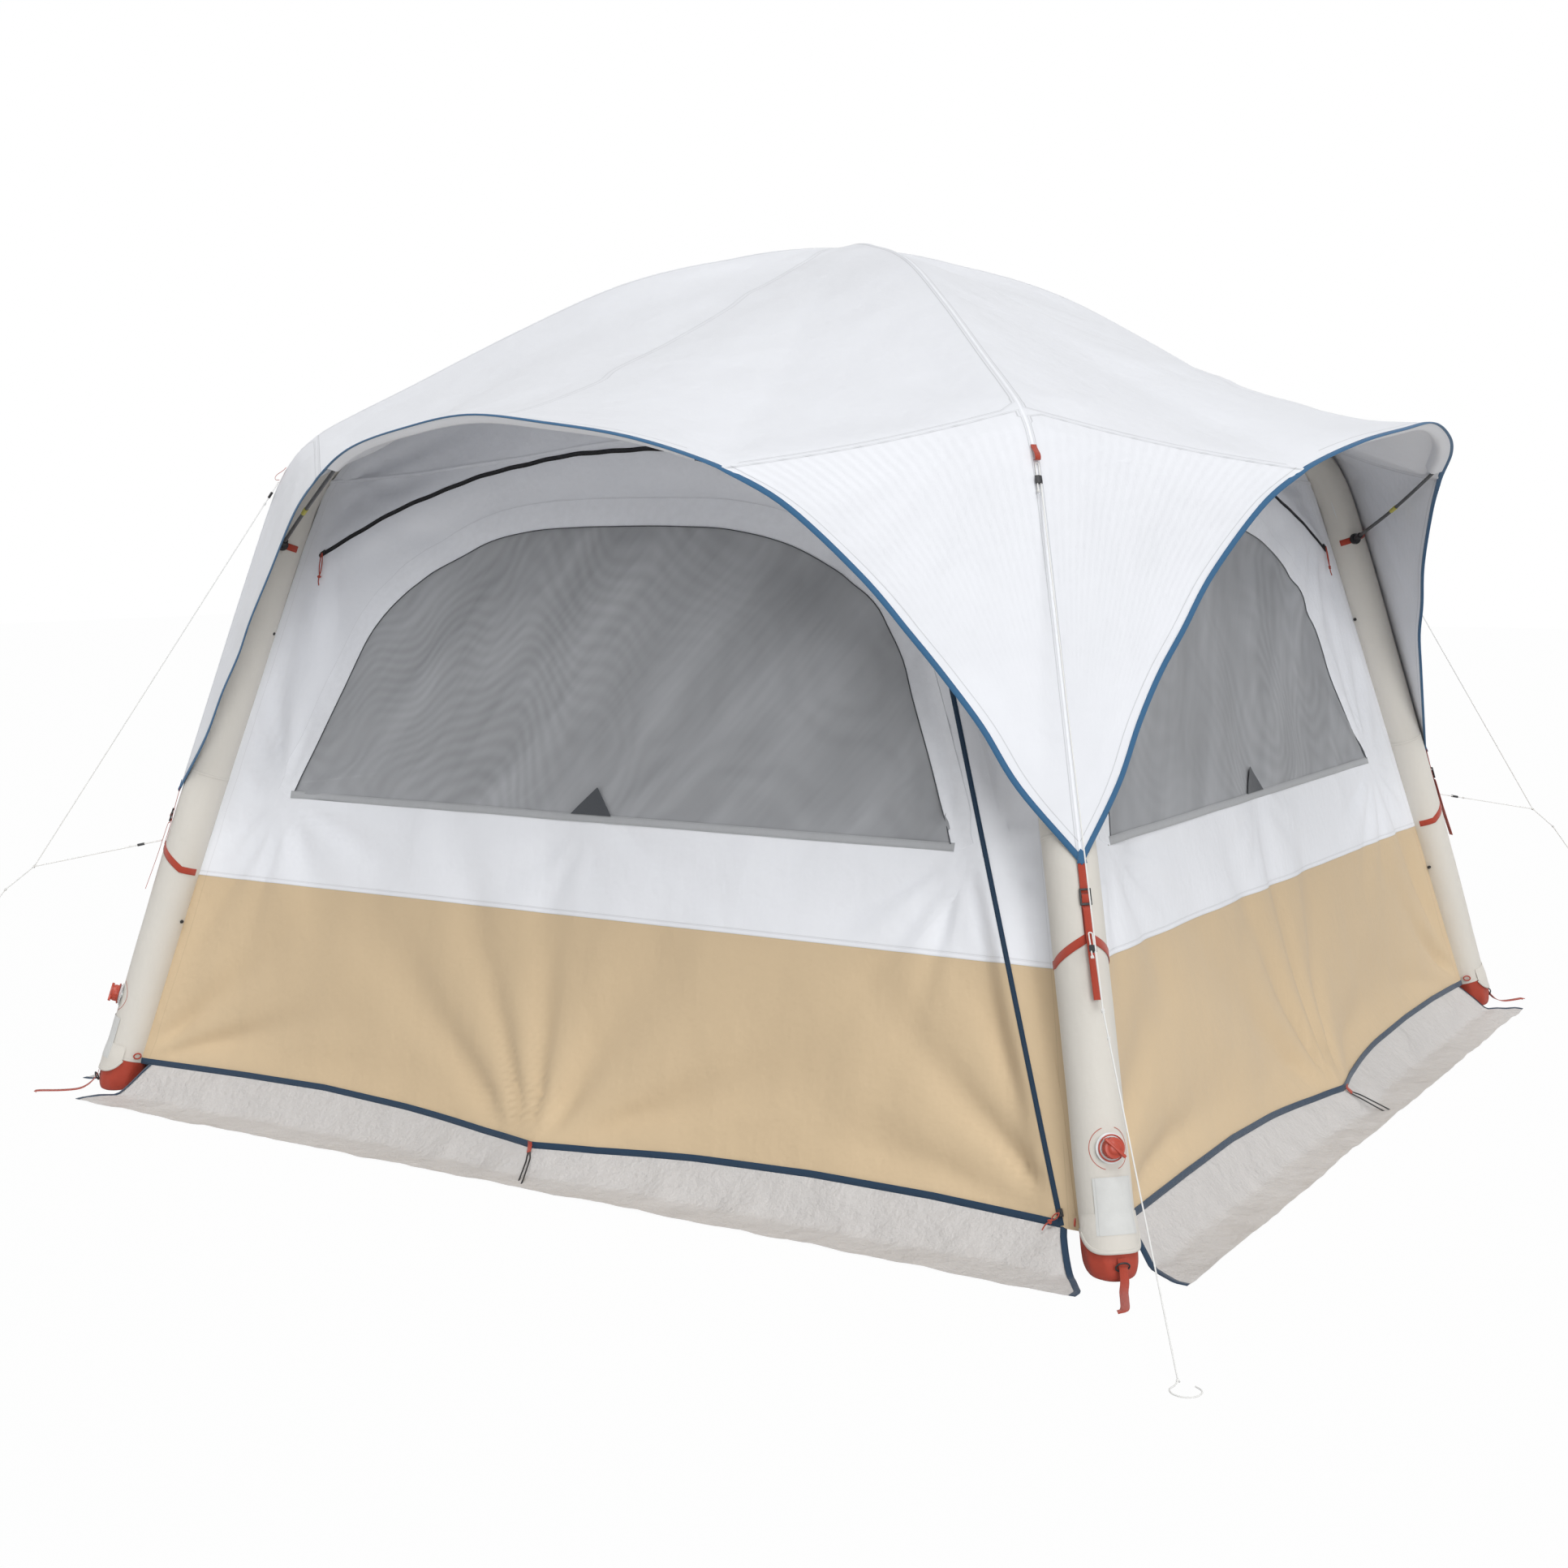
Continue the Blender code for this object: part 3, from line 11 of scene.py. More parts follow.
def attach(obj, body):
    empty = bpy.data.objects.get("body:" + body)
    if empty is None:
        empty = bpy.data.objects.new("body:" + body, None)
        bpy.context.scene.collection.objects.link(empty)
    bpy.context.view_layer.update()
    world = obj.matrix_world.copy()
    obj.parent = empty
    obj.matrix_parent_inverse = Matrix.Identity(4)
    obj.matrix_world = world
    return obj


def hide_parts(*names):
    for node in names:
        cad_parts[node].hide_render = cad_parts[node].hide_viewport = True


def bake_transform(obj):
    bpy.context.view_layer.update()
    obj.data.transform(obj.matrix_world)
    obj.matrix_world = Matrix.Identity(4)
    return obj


bl_info = {
    "name": "Inflatable Tent Dresser",
    "version": (1, 0, 0),
    "blender": (4, 5, 0),
    "location": "View3D > Sidebar > Tent",
    "description": "Dresses the packed frame of an inflatable tent with cloth, trim, cords and a stage",
    "category": "Object",
}

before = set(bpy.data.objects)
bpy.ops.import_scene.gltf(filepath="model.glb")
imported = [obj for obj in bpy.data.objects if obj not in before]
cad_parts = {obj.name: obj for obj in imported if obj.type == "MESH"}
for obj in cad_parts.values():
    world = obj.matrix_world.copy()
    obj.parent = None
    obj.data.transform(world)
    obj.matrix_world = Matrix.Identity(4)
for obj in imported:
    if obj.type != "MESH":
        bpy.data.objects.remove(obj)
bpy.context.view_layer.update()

SIDES = ("front", "right", "back", "left")
VALVE_SIDES = ("front", "left")
QUARTER = math.pi / 2
ROOT_TWO = math.sqrt(2.0)
CORNER_TURNS = (-QUARTER / 2, QUARTER / 2, 3 * QUARTER / 2, 5 * QUARTER / 2)
WHITE = (1.0, 1.0, 1.0, 1.0)

# Points inside the tent that cloth and single pieces look away from
MIDDLE = np.array([0.0, 0.0, 0.8])
FLIP_MIDDLE = (0.0, 0.0, 0.6)

# Pitches of the weaves and of the stitches
FINE_WEAVE = 0.0006
SLEEVE_WEAVE = 0.0007
FOOT_WEAVE = 0.0008
SKIRT_WEAVE = 0.0012
STITCH_PITCH = 0.0034
STITCH_HALF = 0.0006

# Tapes as (width, thickness), and the thickness of the straps
SEAM_TAPE = (0.011, 0.0007)
FLAP_TAPE = (0.009, 0.0010)
FOOT_TAPE = (0.008, 0.0010)
WINDOW_TAPE = (0.019, 0.0012)
SKIRT_TAPE = (0.014, 0.0016)
PEG_TAB = (0.012, 0.0014)
GUY_TAB = (0.013, 0.0012)
PRINT_LINE = (0.0016, 0.0003)
STRAP_THICK = 0.0014
TIP_STRAP_THICK = 0.0013

# Air tubes: leg and half arch axis as (side of the square, height), foot to crossing
AXIS = np.array([(1.450, 0.0), (1.314, 0.611), (1.212, 1.040), (1.109, 1.463), (1.062, 1.625), (1.015, 1.700),
                 (0.945, 1.757), (0.851, 1.824), (0.632, 1.984), (0.430, 2.113), (0.230, 2.183), (0.0, 2.2225)])
FOOT_STATION_SHARE = 0.14
LAST_STATION_SHARE = 10.0
LEG_STATION_SHARE = 4.6
TUBE_RADIUS = 0.0565
CROSSING_FLAT = 0.08
CROSSING_END = 0.22
CROSSING_GAP = 0.0012
SHOULDER_LEVEL = 1.700
PLEAT_PITCH = 0.026
PLEAT_REACH = 0.100
PLEAT_DEPTH = 0.0022
ARCH_POINTS = 300
SLEEVE_SIDES = 48
SLEEVE_RIPPLE = 0.0008

# Sleeve hem that hangs over a foot, and the patch round a valve leg
FLAP_HALF = 1.45
FLAP_TOP = 0.120
FLAP_FOOT = 0.042
FLAP_RISE = 0.040
FLAP_LIFT = 0.0008
FLAP_FLARE = 0.0042
FLAP_FLARE_LEVELS = (0.078, 0.130)
FLAP_THICK = 0.0009
PATCH_LEVELS = (0.078, 0.186)
PATCH_HALF = 0.75
PATCH_THICK = 0.0006

# Feet: centre side of the square, height, radius and tilt share of each ring of the cup
CUP_RINGS = np.array([(1.450, 0.0, 0.034), (1.4485, 0.006, 0.0465), (1.4445, 0.024, 0.0540),
                      (1.4400, 0.045, 0.0562), (1.4310, 0.088, 0.0578)])
CUP_TILT_SHARES = (0.0, 0.15, 0.45, 0.75, 1.0)
FOOT_TAILS = ((0.205, -0.070), (0.187, 0.010), (0.200, -0.012), (0.2206, 0.006))
FOOT_TAIL_START = ((0.000, 0.052), (0.0045, 0.040), (0.012, 0.030))
FOOT_RING_LEVEL = 0.040
FOOT_RING = (0.0145, 0.0095)
FOOT_RING_RADIUS = 0.0019
FOOT_SEAM_LEVEL = 0.090
CUP_RIPPLE = 0.0012
CUP_FLOOR = 0.0002

# Fly: lift over the tube, gore centre line and free edge as (along, out, height)
FLY_LIFT = 0.0058
FLY_CENTRE = np.array([(0.0, 2.2842), (0.12, 2.263), (0.207, 2.226), (0.41, 2.145), (0.514, 2.108), (0.62, 2.056),
                       (0.89, 1.95), (1.10, 1.877), (1.183, 1.838), (1.471, 1.76), (1.658, 1.743)])
RIM = np.array([(-0.20, 1.645, 1.720), (0.0, 1.658, 1.743), (0.20, 1.645, 1.720), (0.40, 1.600, 1.683),
                (0.57, 1.530, 1.620), (0.70, 1.476, 1.538), (0.85, 1.417, 1.389), (0.95, 1.390, 1.270),
                (1.02, 1.366, 1.180), (1.10, 1.352, 1.077), (1.18, 1.340, 0.954)])
KINK_PLACE = 0.57
GORE_BULGE_SHARE = 3.0
SEAM_STATION_SHARES = (5.0, 4.5, 4.0, 3.5, 3.0, 2.5, 2.1)
TIP_LEVEL = 0.785
TIP_PATCH = (0.011, 0.030, 0.0016)
EAVE_SAG = 0.012
CORNER_BELLY = 0.016
SHOULDER_FOLD = 0.0060
SHOULDER_STATION = 5.0
GORE_ROWS = 58
EAVE_COLUMNS = 16
MIDDLE_COLUMNS = 26
CORNER_ROWS = 46

# Binding and seam tapes of the fly
RIM_THICK = 0.0015
RIM_SETTLE = 2
RIM_END_ROWS = 4
SEAM_TAPE_HALF = 0.0024
SEAM_TAPE_THICK = 0.0003
SEAM_TAPE_LIFT = 0.00005
SEAM_DIVE = 0.0012
SEAM_TAB_REACH = 0.045

# Walls: plane, outline as (along, height) and the seams that divide its cloth
WALL_FOOT = 1.45106
WALL_SLOPE_SHARE = 0.25804
SLANT = math.hypot(1.0, WALL_SLOPE_SHARE)
HEM = 0.070
BAND_TOP = 0.579
ROW_TOP = 1.700
WALL_EDGE = np.array([(1.3767, 0.07), (1.2669, 0.579), (1.2389, 0.70), (1.2115, 0.82), (1.1819, 0.95),
                      (1.1612, 1.04), (1.1236, 1.20), (1.0906, 1.34), (1.0603, 1.463), (1.0366, 1.54),
                      (1.0182, 1.60), (0.988, 1.64), (0.956, 1.68), (0.934, 1.71), (0.924, 1.73), (0.917, 1.755)])
GABLE = np.array([(0.917, 1.765), (0.900, 1.808), (0.80, 1.832), (0.68, 1.854), (0.56, 1.870), (0.40, 1.893),
                  (0.20, 1.920), (0.0, 1.924)])
EAVE_SEAM = np.array([(1.008, 1.628), (0.795, 1.645), (0.575, 1.659), (0.365, 1.677), (0.0, 1.712)])
FLANGE_SHARE = 0.979
HEM_LINE = np.array([(-1.35, 0.074), (-0.99, 0.084), (-0.705, 0.088), (-0.43, 0.076), (-0.17, 0.060),
                     (0.0, 0.055), (0.17, 0.060), (0.43, 0.076), (0.735, 0.087), (1.03, 0.086), (1.35, 0.074)])
HEM_SWAY = 0.25
PEG_PULL = 0.049
PEG_PULL_HALF = 0.50
PEG_PULL_HEIGHT = 0.33
WINDOW = np.array([(0.970, 0.815), (0.900, 0.977), (0.800, 1.195), (0.754, 1.270), (0.700, 1.335), (0.644, 1.372),
                   (0.589, 1.405), (0.456, 1.462), (0.300, 1.495), (0.150, 1.503), (0.0, 1.504)])
WINDOW_TAB = ((-0.062, 0.817), (0.062, 0.817), (0.012, 0.882))
WINDOW_TAPE_HALF = 0.980
WINDOW_TAPE_LEVEL = 0.809
WINDOW_TAPE_LIFT = 0.0016
WINDOW_EDGE_RADIUS = 0.0013
WINDOW_EDGE_LIFT = 0.0021
WINDOW_TUCK = 0.008
WINDOW_SLACK = 0.004
WINDOW_SWAY = 0.006
BAND_THICK = 0.0010
BAND_LIFT = 0.0007
BAND_FOOT = ((0.978, 0.797),)
GABLE_DROP = 0.014
HEM_THICK = 0.0014

# Soft folds of the walls: centre (along, height), reach, count round it and depth
FOLD_CENTRES = ((0.0, 0.02, 0.85, 12.0, 0.75), (1.42, 0.05, 0.60, 17.0, 0.8), (-1.42, 0.05, 0.60, 17.0, 0.8),
                (0.0, 0.82, 0.42, 9.0, 0.20), (1.02, 1.60, 0.50, 15.0, 0.5), (-1.02, 1.60, 0.50, 15.0, 0.5),
                (1.00, 0.80, 0.40, 11.0, 0.45), (-1.00, 0.80, 0.40, 11.0, 0.45))
FOLD_SHARPNESS = 1.7

# Half length of a hem binding, margin of the cut round a window, and the tab at its foot
HEM_HALF = 1.372
WINDOW_MARGIN = 0.010
TAB_LIFT = 0.0045
TAB_THICK = 0.0014

# Zips: lift off the wall, half of the door zip as (off, up), and slider blocks as (centre, size)
ZIP_LIFT = 0.0006
ZIP_TAPE_THICK = 0.0007
ZIP_COIL = ((0.0030, 0.0010), (0.0024, 0.0022), (0.0, 0.0026), (-0.0024, 0.0022), (-0.0030, 0.0010))
DOOR_ZIP_LIFT = 0.0008
DOOR_ZIP_START = 0.004
DOOR_ZIP_OVERLAP = 0.02
DOOR_ZIP_HALF = ((0.0003, 0.0022), (0.0024, 0.0022), (0.0028, 0.0008), (0.0058, 0.0007), (0.0058, 0.0), (0.0003, 0.0))
SLIDER_LIFT = 0.0022
SLIDER_BLOCKS = (((0.0, 0.0, 0.0022), (0.013, 0.017, 0.0044)), ((0.0, 0.001, 0.0052), (0.0045, 0.013, 0.0028)),
                 ((0.0, -0.0055, 0.0042), (0.0085, 0.004, 0.0040)))
PULL_LIFT = 0.0072
PULL_SPREAD = 0.0042
PULL_FALL = 0.003

# Seam beside the door zip: heights and distances from the tube
SIDE_SEAM = ((0.10, 0.30, 0.58, 0.80, 1.50), (0.016, 0.026, 0.062, 0.100, 0.230))
SIDE_SEAM_OFFSETS = (-0.0045, -0.002, 0.0, 0.002, 0.0045)
SIDE_SEAM_LIFT = 0.0009
SIDE_SEAM_THICK = 0.0010

# Arched zip in the plane of the wall and straight door zip beside the front leg
ZIP_ARC_RADIUS = 1.996
ZIP_ARC_CENTRE = -0.2506
ZIP_HALF = 1.000
DOOR_ZIP_FOOT = (1.332, 0.070)
DOOR_ZIP_HEAD = (0.802, 1.500)
DOOR_CORNER_TOP = 0.800
DOOR_CREASE_FOOT = 0.520
DOOR_BEND = 0.040
DOOR_BEND_LEVEL = 0.40
DOOR_SLIDER_RISE = 0.0288
DOOR_PULL_WAY = (-0.62, 0.42, -0.66)
ARCH_PULL = 0.060
ARCH_SLIDER_INSET = 0.018
DOOR_PULL = 0.022

# Rows of the walls: below and above the top of the door corner, and up to the gable
LOW_ROWS = np.unique(np.round(np.r_[np.linspace(HEM, BAND_TOP, 37), np.linspace(BAND_TOP, DOOR_CORNER_TOP, 14)], 5))
HIGH_ROWS = np.linspace(DOOR_CORNER_TOP, ROW_TOP, 44)
TOP_ROWS = 10

# Ground skirts
SKIRT_HEM_HALF = 1.335
SKIRT_END_HALF = 1.430
SKIRT_CREASE = 1.512
SKIRT_OUT = 1.605
SKIRT_PULL = 0.030
SKIRT_DROP_SHARE = 0.45
SKIRT_DEPTH = 0.20
SKIRT_BUMP = 0.0075
SKIRT_FLOOR = 0.0010
SKIRT_THICK = 0.0007

# Visor poles: hubs on the legs, and (length, radius) of a socket, (start, end, radius) of a ferrule
HUB_LEVEL = 1.463
HUB_RADIUS = 0.016
HUB_THICK = 0.012
POLE_RADIUS = 0.00475
POLE_DROP = 0.012
POLE_INSET = 0.030
POLE_SOCKET = (0.045, 0.0085)
POLE_FERRULE = (0.31, 0.36, 0.0060)
POLE_SLEEVE = ((0.006, 0.0012), (0.014, 0.0085), (0.022, 0.0160), (0.030, 0.0185), (0.038, 0.0160), (0.046, 0.0085),
               (0.053, 0.0012))

# Straps and ladder locks on the legs
UPPER_RING = 1.463
LOWER_RING = 0.600
LOWER_RING_RISE = 0.045
SEAM_RING = 0.850
LOCK_LEVEL = 0.722
LOCK_SIZE = (0.025, 0.035, 0.004)
LOCK_OFF = 0.0068
TAIL_LEVEL = 0.520
LOCK_RAIL = 0.0032
LOCK_EDGE = 0.0007
LEG_STRETCH = 1.0485

# Valves: profiles as (radius, outward), wings, ribs, leash and the arcs printed beside them
VALVE_LEVEL = 0.240
CAP_PROFILE = ((0.0162, 0.0640), (0.0206, 0.0640), (0.0212, 0.0652), (0.0212, 0.0790), (0.0200, 0.0812),
               (0.0150, 0.0818), (0.0135, 0.0826), (0.0122, 0.0846), (0.0080, 0.0858), (0.0, 0.0862))
CAP_WING = (0.028, 0.0066, 0.0070)
CAP_WING_LEVEL = 0.0846
CAP_RIB = (0.0022, 0.0022, 0.011)
CAP_RIBS = 18
CAP_RIB_PLACE = (0.0208, 0.0715)
BOOT_PROFILE = ((0.0152, 0.0572), (0.0300, 0.0572), (0.0310, 0.0584), (0.0270, 0.0600), (0.0235, 0.0612),
                (0.0222, 0.0628), (0.0152, 0.0630))
LEASH_RADIUS = 0.0262
LEASH_LEVEL = 0.0648
LEASH_SWAY = 0.0022
LEASH_THICK = 0.0016
PRINT_RADIUS = 0.043
PRINT_HALF = math.radians(72)
PRINT_STRETCH = 1.048

# Guy lines: joint of both lines, knot and place on the ground of each
CORD_RADIUS = 0.0015
STRAND = 0.0038
GUY_TAB_LEVEL = 1.600
LOWER_HEAD_LEVEL = 0.652
UPPER_SLIDER_PLACE = 0.040
LOWER_SLIDER_PLACE = 0.055
TAIL_REACH = 0.028
TAIL_NECK = 0.010
LOOP_RADIUS = 0.028
LOOP_NECK = 0.012
LOOP_STEPS = 9
KNOT_RADIUS = 0.0034
SLIDER_EDGE = 0.0007
GUYS = {
    "front": ((1.465, -1.550, 0.562), (1.490, -1.580, 0.517), (1.760, -1.895, 0.004)),
    "right": ((1.583, 1.583, 0.615), (1.636, 1.636, 0.556), (1.950, 1.950, 0.004)),
    "back": ((-1.583, 1.583, 0.615), (-1.636, 1.636, 0.556), (-1.950, 1.950, 0.004)),
    "left": ((-1.583, -1.583, 0.615), (-1.636, -1.636, 0.556), (-1.950, -1.950, 0.004))}
CORD_FLOOR = 0.0003
KNOT_FLOOR = 0.0002
UPPER_HEAD_LIFT = 0.0070
LOWER_HEAD_LIFT = 0.0102

# Toggles beside the walls, loops on the legs and peg loops at the hems
TOGGLE_LEVELS = (1.22, 0.45)
TOGGLE_PROFILE = ((0.0, -0.015), (0.0035, -0.0142), (0.0048, -0.011), (0.0042, -0.003), (0.0042, 0.003),
                  (0.0048, 0.011), (0.0035, 0.0142), (0.0, 0.015))
TOGGLE_LOOP = (0.0075, 0.0070, 0.0014)
HEM_LOOP_LEVEL = 0.105
HEM_LOOP = (0.010, 0.007, 0.0020)
PEG_PLACE = (0.045, 1.582, 0.002)
PEG_KNEE = (0.020, 1.520, 0.036)
PEG_CORD_RADIUS = 0.0018
PEG_CORD_FLOOR = 0.0004

# Camera of the reference view
IMAGE_SIDE = 1932
FOCAL_PIXELS = 2605.73
SENSOR = 36.0
CAMERA_PLACE = (3.0429, -5.2789, 1.4678)
CAMERA_YAW = -0.55234398
CAMERA_PITCH = 0.1147585
CAMERA_ROLL = -0.0052711

# Floor and lamps: tilt and turn in degrees
FLOOR_LEVEL = -0.0005
FLOOR_GREY = (0.75, 0.75, 0.75)
FLOOR_GLOW = 0.965
KEY_WAY = (68, 48)
TOP_WAY = (20, 40)


def tone(red, green, blue):
    """Linear colour of display levels from 0 to 255."""
    return tuple((c / 255 / 12.92) if c <= 10 else ((c / 255 + 0.055) / 1.055) ** 2.4 for c in (red, green, blue))


def length_prop(name, description, default):
    """A length that a user may change."""
    return bpy.props.FloatProperty(name=name, description=description, default=default, unit="LENGTH")


def colour_prop(name, description, *levels):
    """A colour that a user may change, given in display levels."""
    return bpy.props.FloatVectorProperty(name=name, description=description, subtype="COLOR", default=tone(*levels))


class TentSizes(bpy.types.PropertyGroup):
    """Sizes of the cloth and trim."""

    cloth: length_prop("Cloth", "Thickness of the cloth", 0.0008)
    fold: length_prop("Fold depth", "Depth of the deepest soft folds of the walls", 0.030)
    fly_fold: length_prop("Fly fold depth", "Depth of the soft folds of the fly", 0.0105)
    rim_binding: length_prop("Rim binding", "Width of the binding of the fly edge", 0.0115)
    hem_binding: length_prop("Hem binding", "Width of the binding of the wall hem", 0.015)
    zip_width: length_prop("Zip", "Width of a zip with its tapes", 0.012)
    webbing: length_prop("Webbing", "Width of the straps", 0.018)
    window_band: length_prop("Window band", "Width of the band round a window", 0.070)


class TentColours(bpy.types.PropertyGroup):
    """Colours of the cloth and trim."""

    fly: colour_prop("Fly", "Coated cloth of the fly", 232, 234, 239)
    wall: colour_prop("Wall", "Upper cloth of the walls", 241, 243, 248)
    sand: colour_prop("Band", "Lower cloth of the walls", 212, 189, 155)
    sleeve: colour_prop("Sleeve", "Cloth of the air tube sleeves", 218, 214, 206)
    mesh: colour_prop("Mesh", "Window mesh", 170, 172, 176)
    skirt: colour_prop("Skirt", "Ground skirt sheet", 204, 201, 199)
    navy: colour_prop("Hem", "Hem binding and door zip", 30, 56, 80)
    blue: colour_prop("Rim", "Binding of the fly edge", 54, 100, 138)
    red: colour_prop("Webbing", "Webbing, feet and pulls", 178, 66, 46)
    black: colour_prop("Fittings", "Moulded fittings and zips", 34, 34, 37)
    cord: colour_prop("Cord", "Guy lines", 238, 238, 236)


class TentStage(bpy.types.PropertyGroup):
    """Floor and light."""

    floor: bpy.props.FloatProperty(name="Floor", description="Side of the floor", default=60.0, unit="LENGTH")
    ambient: bpy.props.FloatProperty(name="Ambient", description="Strength of the soft light from all round",
                                     default=0.33)
    sun: bpy.props.FloatProperty(name="Key", description="Strength of the low key light", default=1.16)
    sun_spread: bpy.props.FloatProperty(name="Key spread", description="Angle of the soft key light",
                                        default=math.radians(30), subtype="ANGLE")
    top: bpy.props.FloatProperty(name="Top", description="Strength of the light from above", default=1.42)


class Value:
    """A shader socket; arithmetic on it adds Math nodes."""

    def __init__(self, graph, socket):
        self.graph = graph
        self.socket = socket

    def __add__(self, other):
        return self.graph.math("ADD", self, other)

    def __sub__(self, other):
        return self.graph.math("SUBTRACT", self, other)

    def __rsub__(self, other):
        return self.graph.math("SUBTRACT", other, self)

    def __mul__(self, other):
        return self.graph.math("MULTIPLY", self, other)

    def __mod__(self, other):
        return self.graph.math("FLOORED_MODULO", self, other)

    def __abs__(self):
        return self.graph.math("ABSOLUTE", self)

    def __lt__(self, other):
        return self.graph.math("LESS_THAN", self, other)

    def __gt__(self, other):
        return self.graph.math("GREATER_THAN", self, other)

    __radd__ = __add__
    __rmul__ = __mul__

    def wave(self, pitch):
        """Sine of this length, one turn for each pitch."""
        return self.graph.math("SINE", self * (2 * math.pi / pitch))

    def ease(self, low, high):
        """0 below low, 1 above high, smooth between."""
        settings = {"interpolation_type": "SMOOTHSTEP"}
        return self.graph.node("ShaderNodeMapRange", settings, {0: self, 1: low, 2: high, 3: 0.0, 4: 1.0})


class Graph:
    """A node tree whose nodes are made in expressions."""

    def __init__(self, tree):
        self.tree = tree

    def feed(self, socket, given):
        """Links a value to a socket or sets it there."""
        if isinstance(given, Value):
            self.tree.links.new(given.socket, socket)
        else:
            socket.default_value = given

    def node(self, kind, settings, sockets, out=0):
        """Adds a node: its settings first, then the values or links of its sockets."""
        made = self.tree.nodes.new(kind)
        for name, setting in settings.items():
            setattr(made, name, setting)
        for name, given in sockets.items():
            self.feed(made.inputs[name], given)
        return Value(self, made.outputs[out])

    def math(self, operation, *terms):
        """A Math node on values."""
        return self.node("ShaderNodeMath", {"operation": operation}, dict(enumerate(terms)))

    def vector(self, x, y, z):
        """A vector of three values."""
        return self.node("ShaderNodeCombineXYZ", {}, {0: x, 1: y, 2: z})


class Finish(Graph):
    """The nodes of one material over its Principled shader."""

    def __init__(self, name, **constants):
        self.material = bpy.data.materials.new(name)
        self.material.use_nodes = True
        super().__init__(self.material.node_tree)
        self.shader = self.tree.nodes["Principled BSDF"]
        for socket, setting in constants.items():
            self.shader.inputs[socket_name(socket)].default_value = setting

    def mix(self, factor, first, second):
        """Colour between two colours."""
        sockets = {0: factor, 6: opaque(first), 7: opaque(second)}
        return self.node("ShaderNodeMix", {"data_type": "RGBA"}, sockets, 2)

    def shade(self, colour, level):
        """A colour made darker or lighter by a value around 1."""
        sockets = {0: 1.0, 6: opaque(colour), 7: self.vector(level, level, level)}
        return self.node("ShaderNodeMix", {"data_type": "RGBA", "blend_type": "MULTIPLY"}, sockets, 2)

    def place(self):
        """Place on the object, in metres."""
        return self.node("ShaderNodeTexCoord", {}, {}, "Object")

    def cloth(self, layer="cloth"):
        """Both coordinates of a map, each in metres."""
        at = self.node("ShaderNodeUVMap", {"uv_map": layer}, {})
        return tuple(self.node("ShaderNodeSeparateXYZ", {}, {0: at}, axis) for axis in (0, 1))

    def stretched(self, x, y, z):
        """Place on the object with each axis scaled."""
        sockets = {0: self.place(), 1: (x, y, z)}
        return self.node("ShaderNodeVectorMath", {"operation": "MULTIPLY"}, sockets)

    def cloud(self, scale, detail=2.0, vector=None, roughness=0.5):
        """Soft noise from 0 to 1."""
        sockets = {"Vector": vector or self.place(), "Scale": scale, "Detail": detail, "Roughness": roughness}
        return self.node("ShaderNodeTexNoise", {}, sockets)

    def bump(self, *layers):
        """Normal of stacked reliefs given as (height, depth)."""
        normal = None
        for height, depth in layers:
            sockets = {"Height": height, "Distance": depth, "Strength": 1.0}
            if normal is not None:
                sockets["Normal"] = normal
            normal = self.node("ShaderNodeBump", {}, sockets)
        self.feed(self.shader.inputs["Normal"], normal)

    def show(self, **looks):
        """Feeds the sockets of the shader."""
        for socket, given in looks.items():
            self.feed(self.shader.inputs[socket_name(socket)], given)
        return self.material


def socket_name(name):
    """Name of a shader socket from a plain keyword."""
    return name.replace("_", " ").title().replace("Ior", "IOR")


def opaque(colour):
    """A colour with its alpha, or a value as it is."""
    return colour if isinstance(colour, Value) else (*colour[:3], 1.0)


def sizes():
    """The sizes that a user may change."""
    return bpy.context.scene.tent_sizes


def colours():
    """The colours that a user may change."""
    return bpy.context.scene.tent_colours


MADE = {}


def finish_of(name):
    """The material of a finish, made once."""
    if name not in MADE:
        MADE[name] = FINISHES[name]()
    return MADE[name]


def woven(finish, pitch):
    """Height of a plain weave of a thread pitch."""
    u, v = finish.cloth()
    return u.wave(pitch * 2) * v.wave(pitch * 2) * 0.5 + 0.5


def stitched(finish, distance):
    """1 on the threads of a row of stitches at a distance of zero."""
    u, _ = finish.cloth()
    return (abs(distance) < STITCH_HALF) * (u % STITCH_PITCH > STITCH_PITCH * 0.28)


def fly_finish():
    """White coated cloth with sewn seams."""
    f = Finish("fly_cloth", roughness=0.52, specular_ior_level=0.35, sheen_weight=0.12, sheen_roughness=0.4)
    seam, rim = f.cloth("seam")
    threads = abs(seam - 0.0045) < 0.0010
    edge = (abs(seam - 0.0085) < 0.0010) + (abs(rim - 0.030) < 0.0010)
    soft = f.cloud(1.7, 3.0)
    fine = f.cloud(34.0, 3.0)
    level = 0.965 + soft * 0.035 + fine * 0.012 - threads * 0.10 - edge * 0.22
    crumple = f.cloud(5.5, 4.0, f.stretched(1.0, 1.0, 0.6))
    f.bump((crumple, 0.012), (fine, 0.0012), (threads + edge, -0.0004), (woven(f, FINE_WEAVE), 0.00012))
    return f.show(base_color=f.shade(colours().fly, level), roughness=0.47 + fine * 0.14)


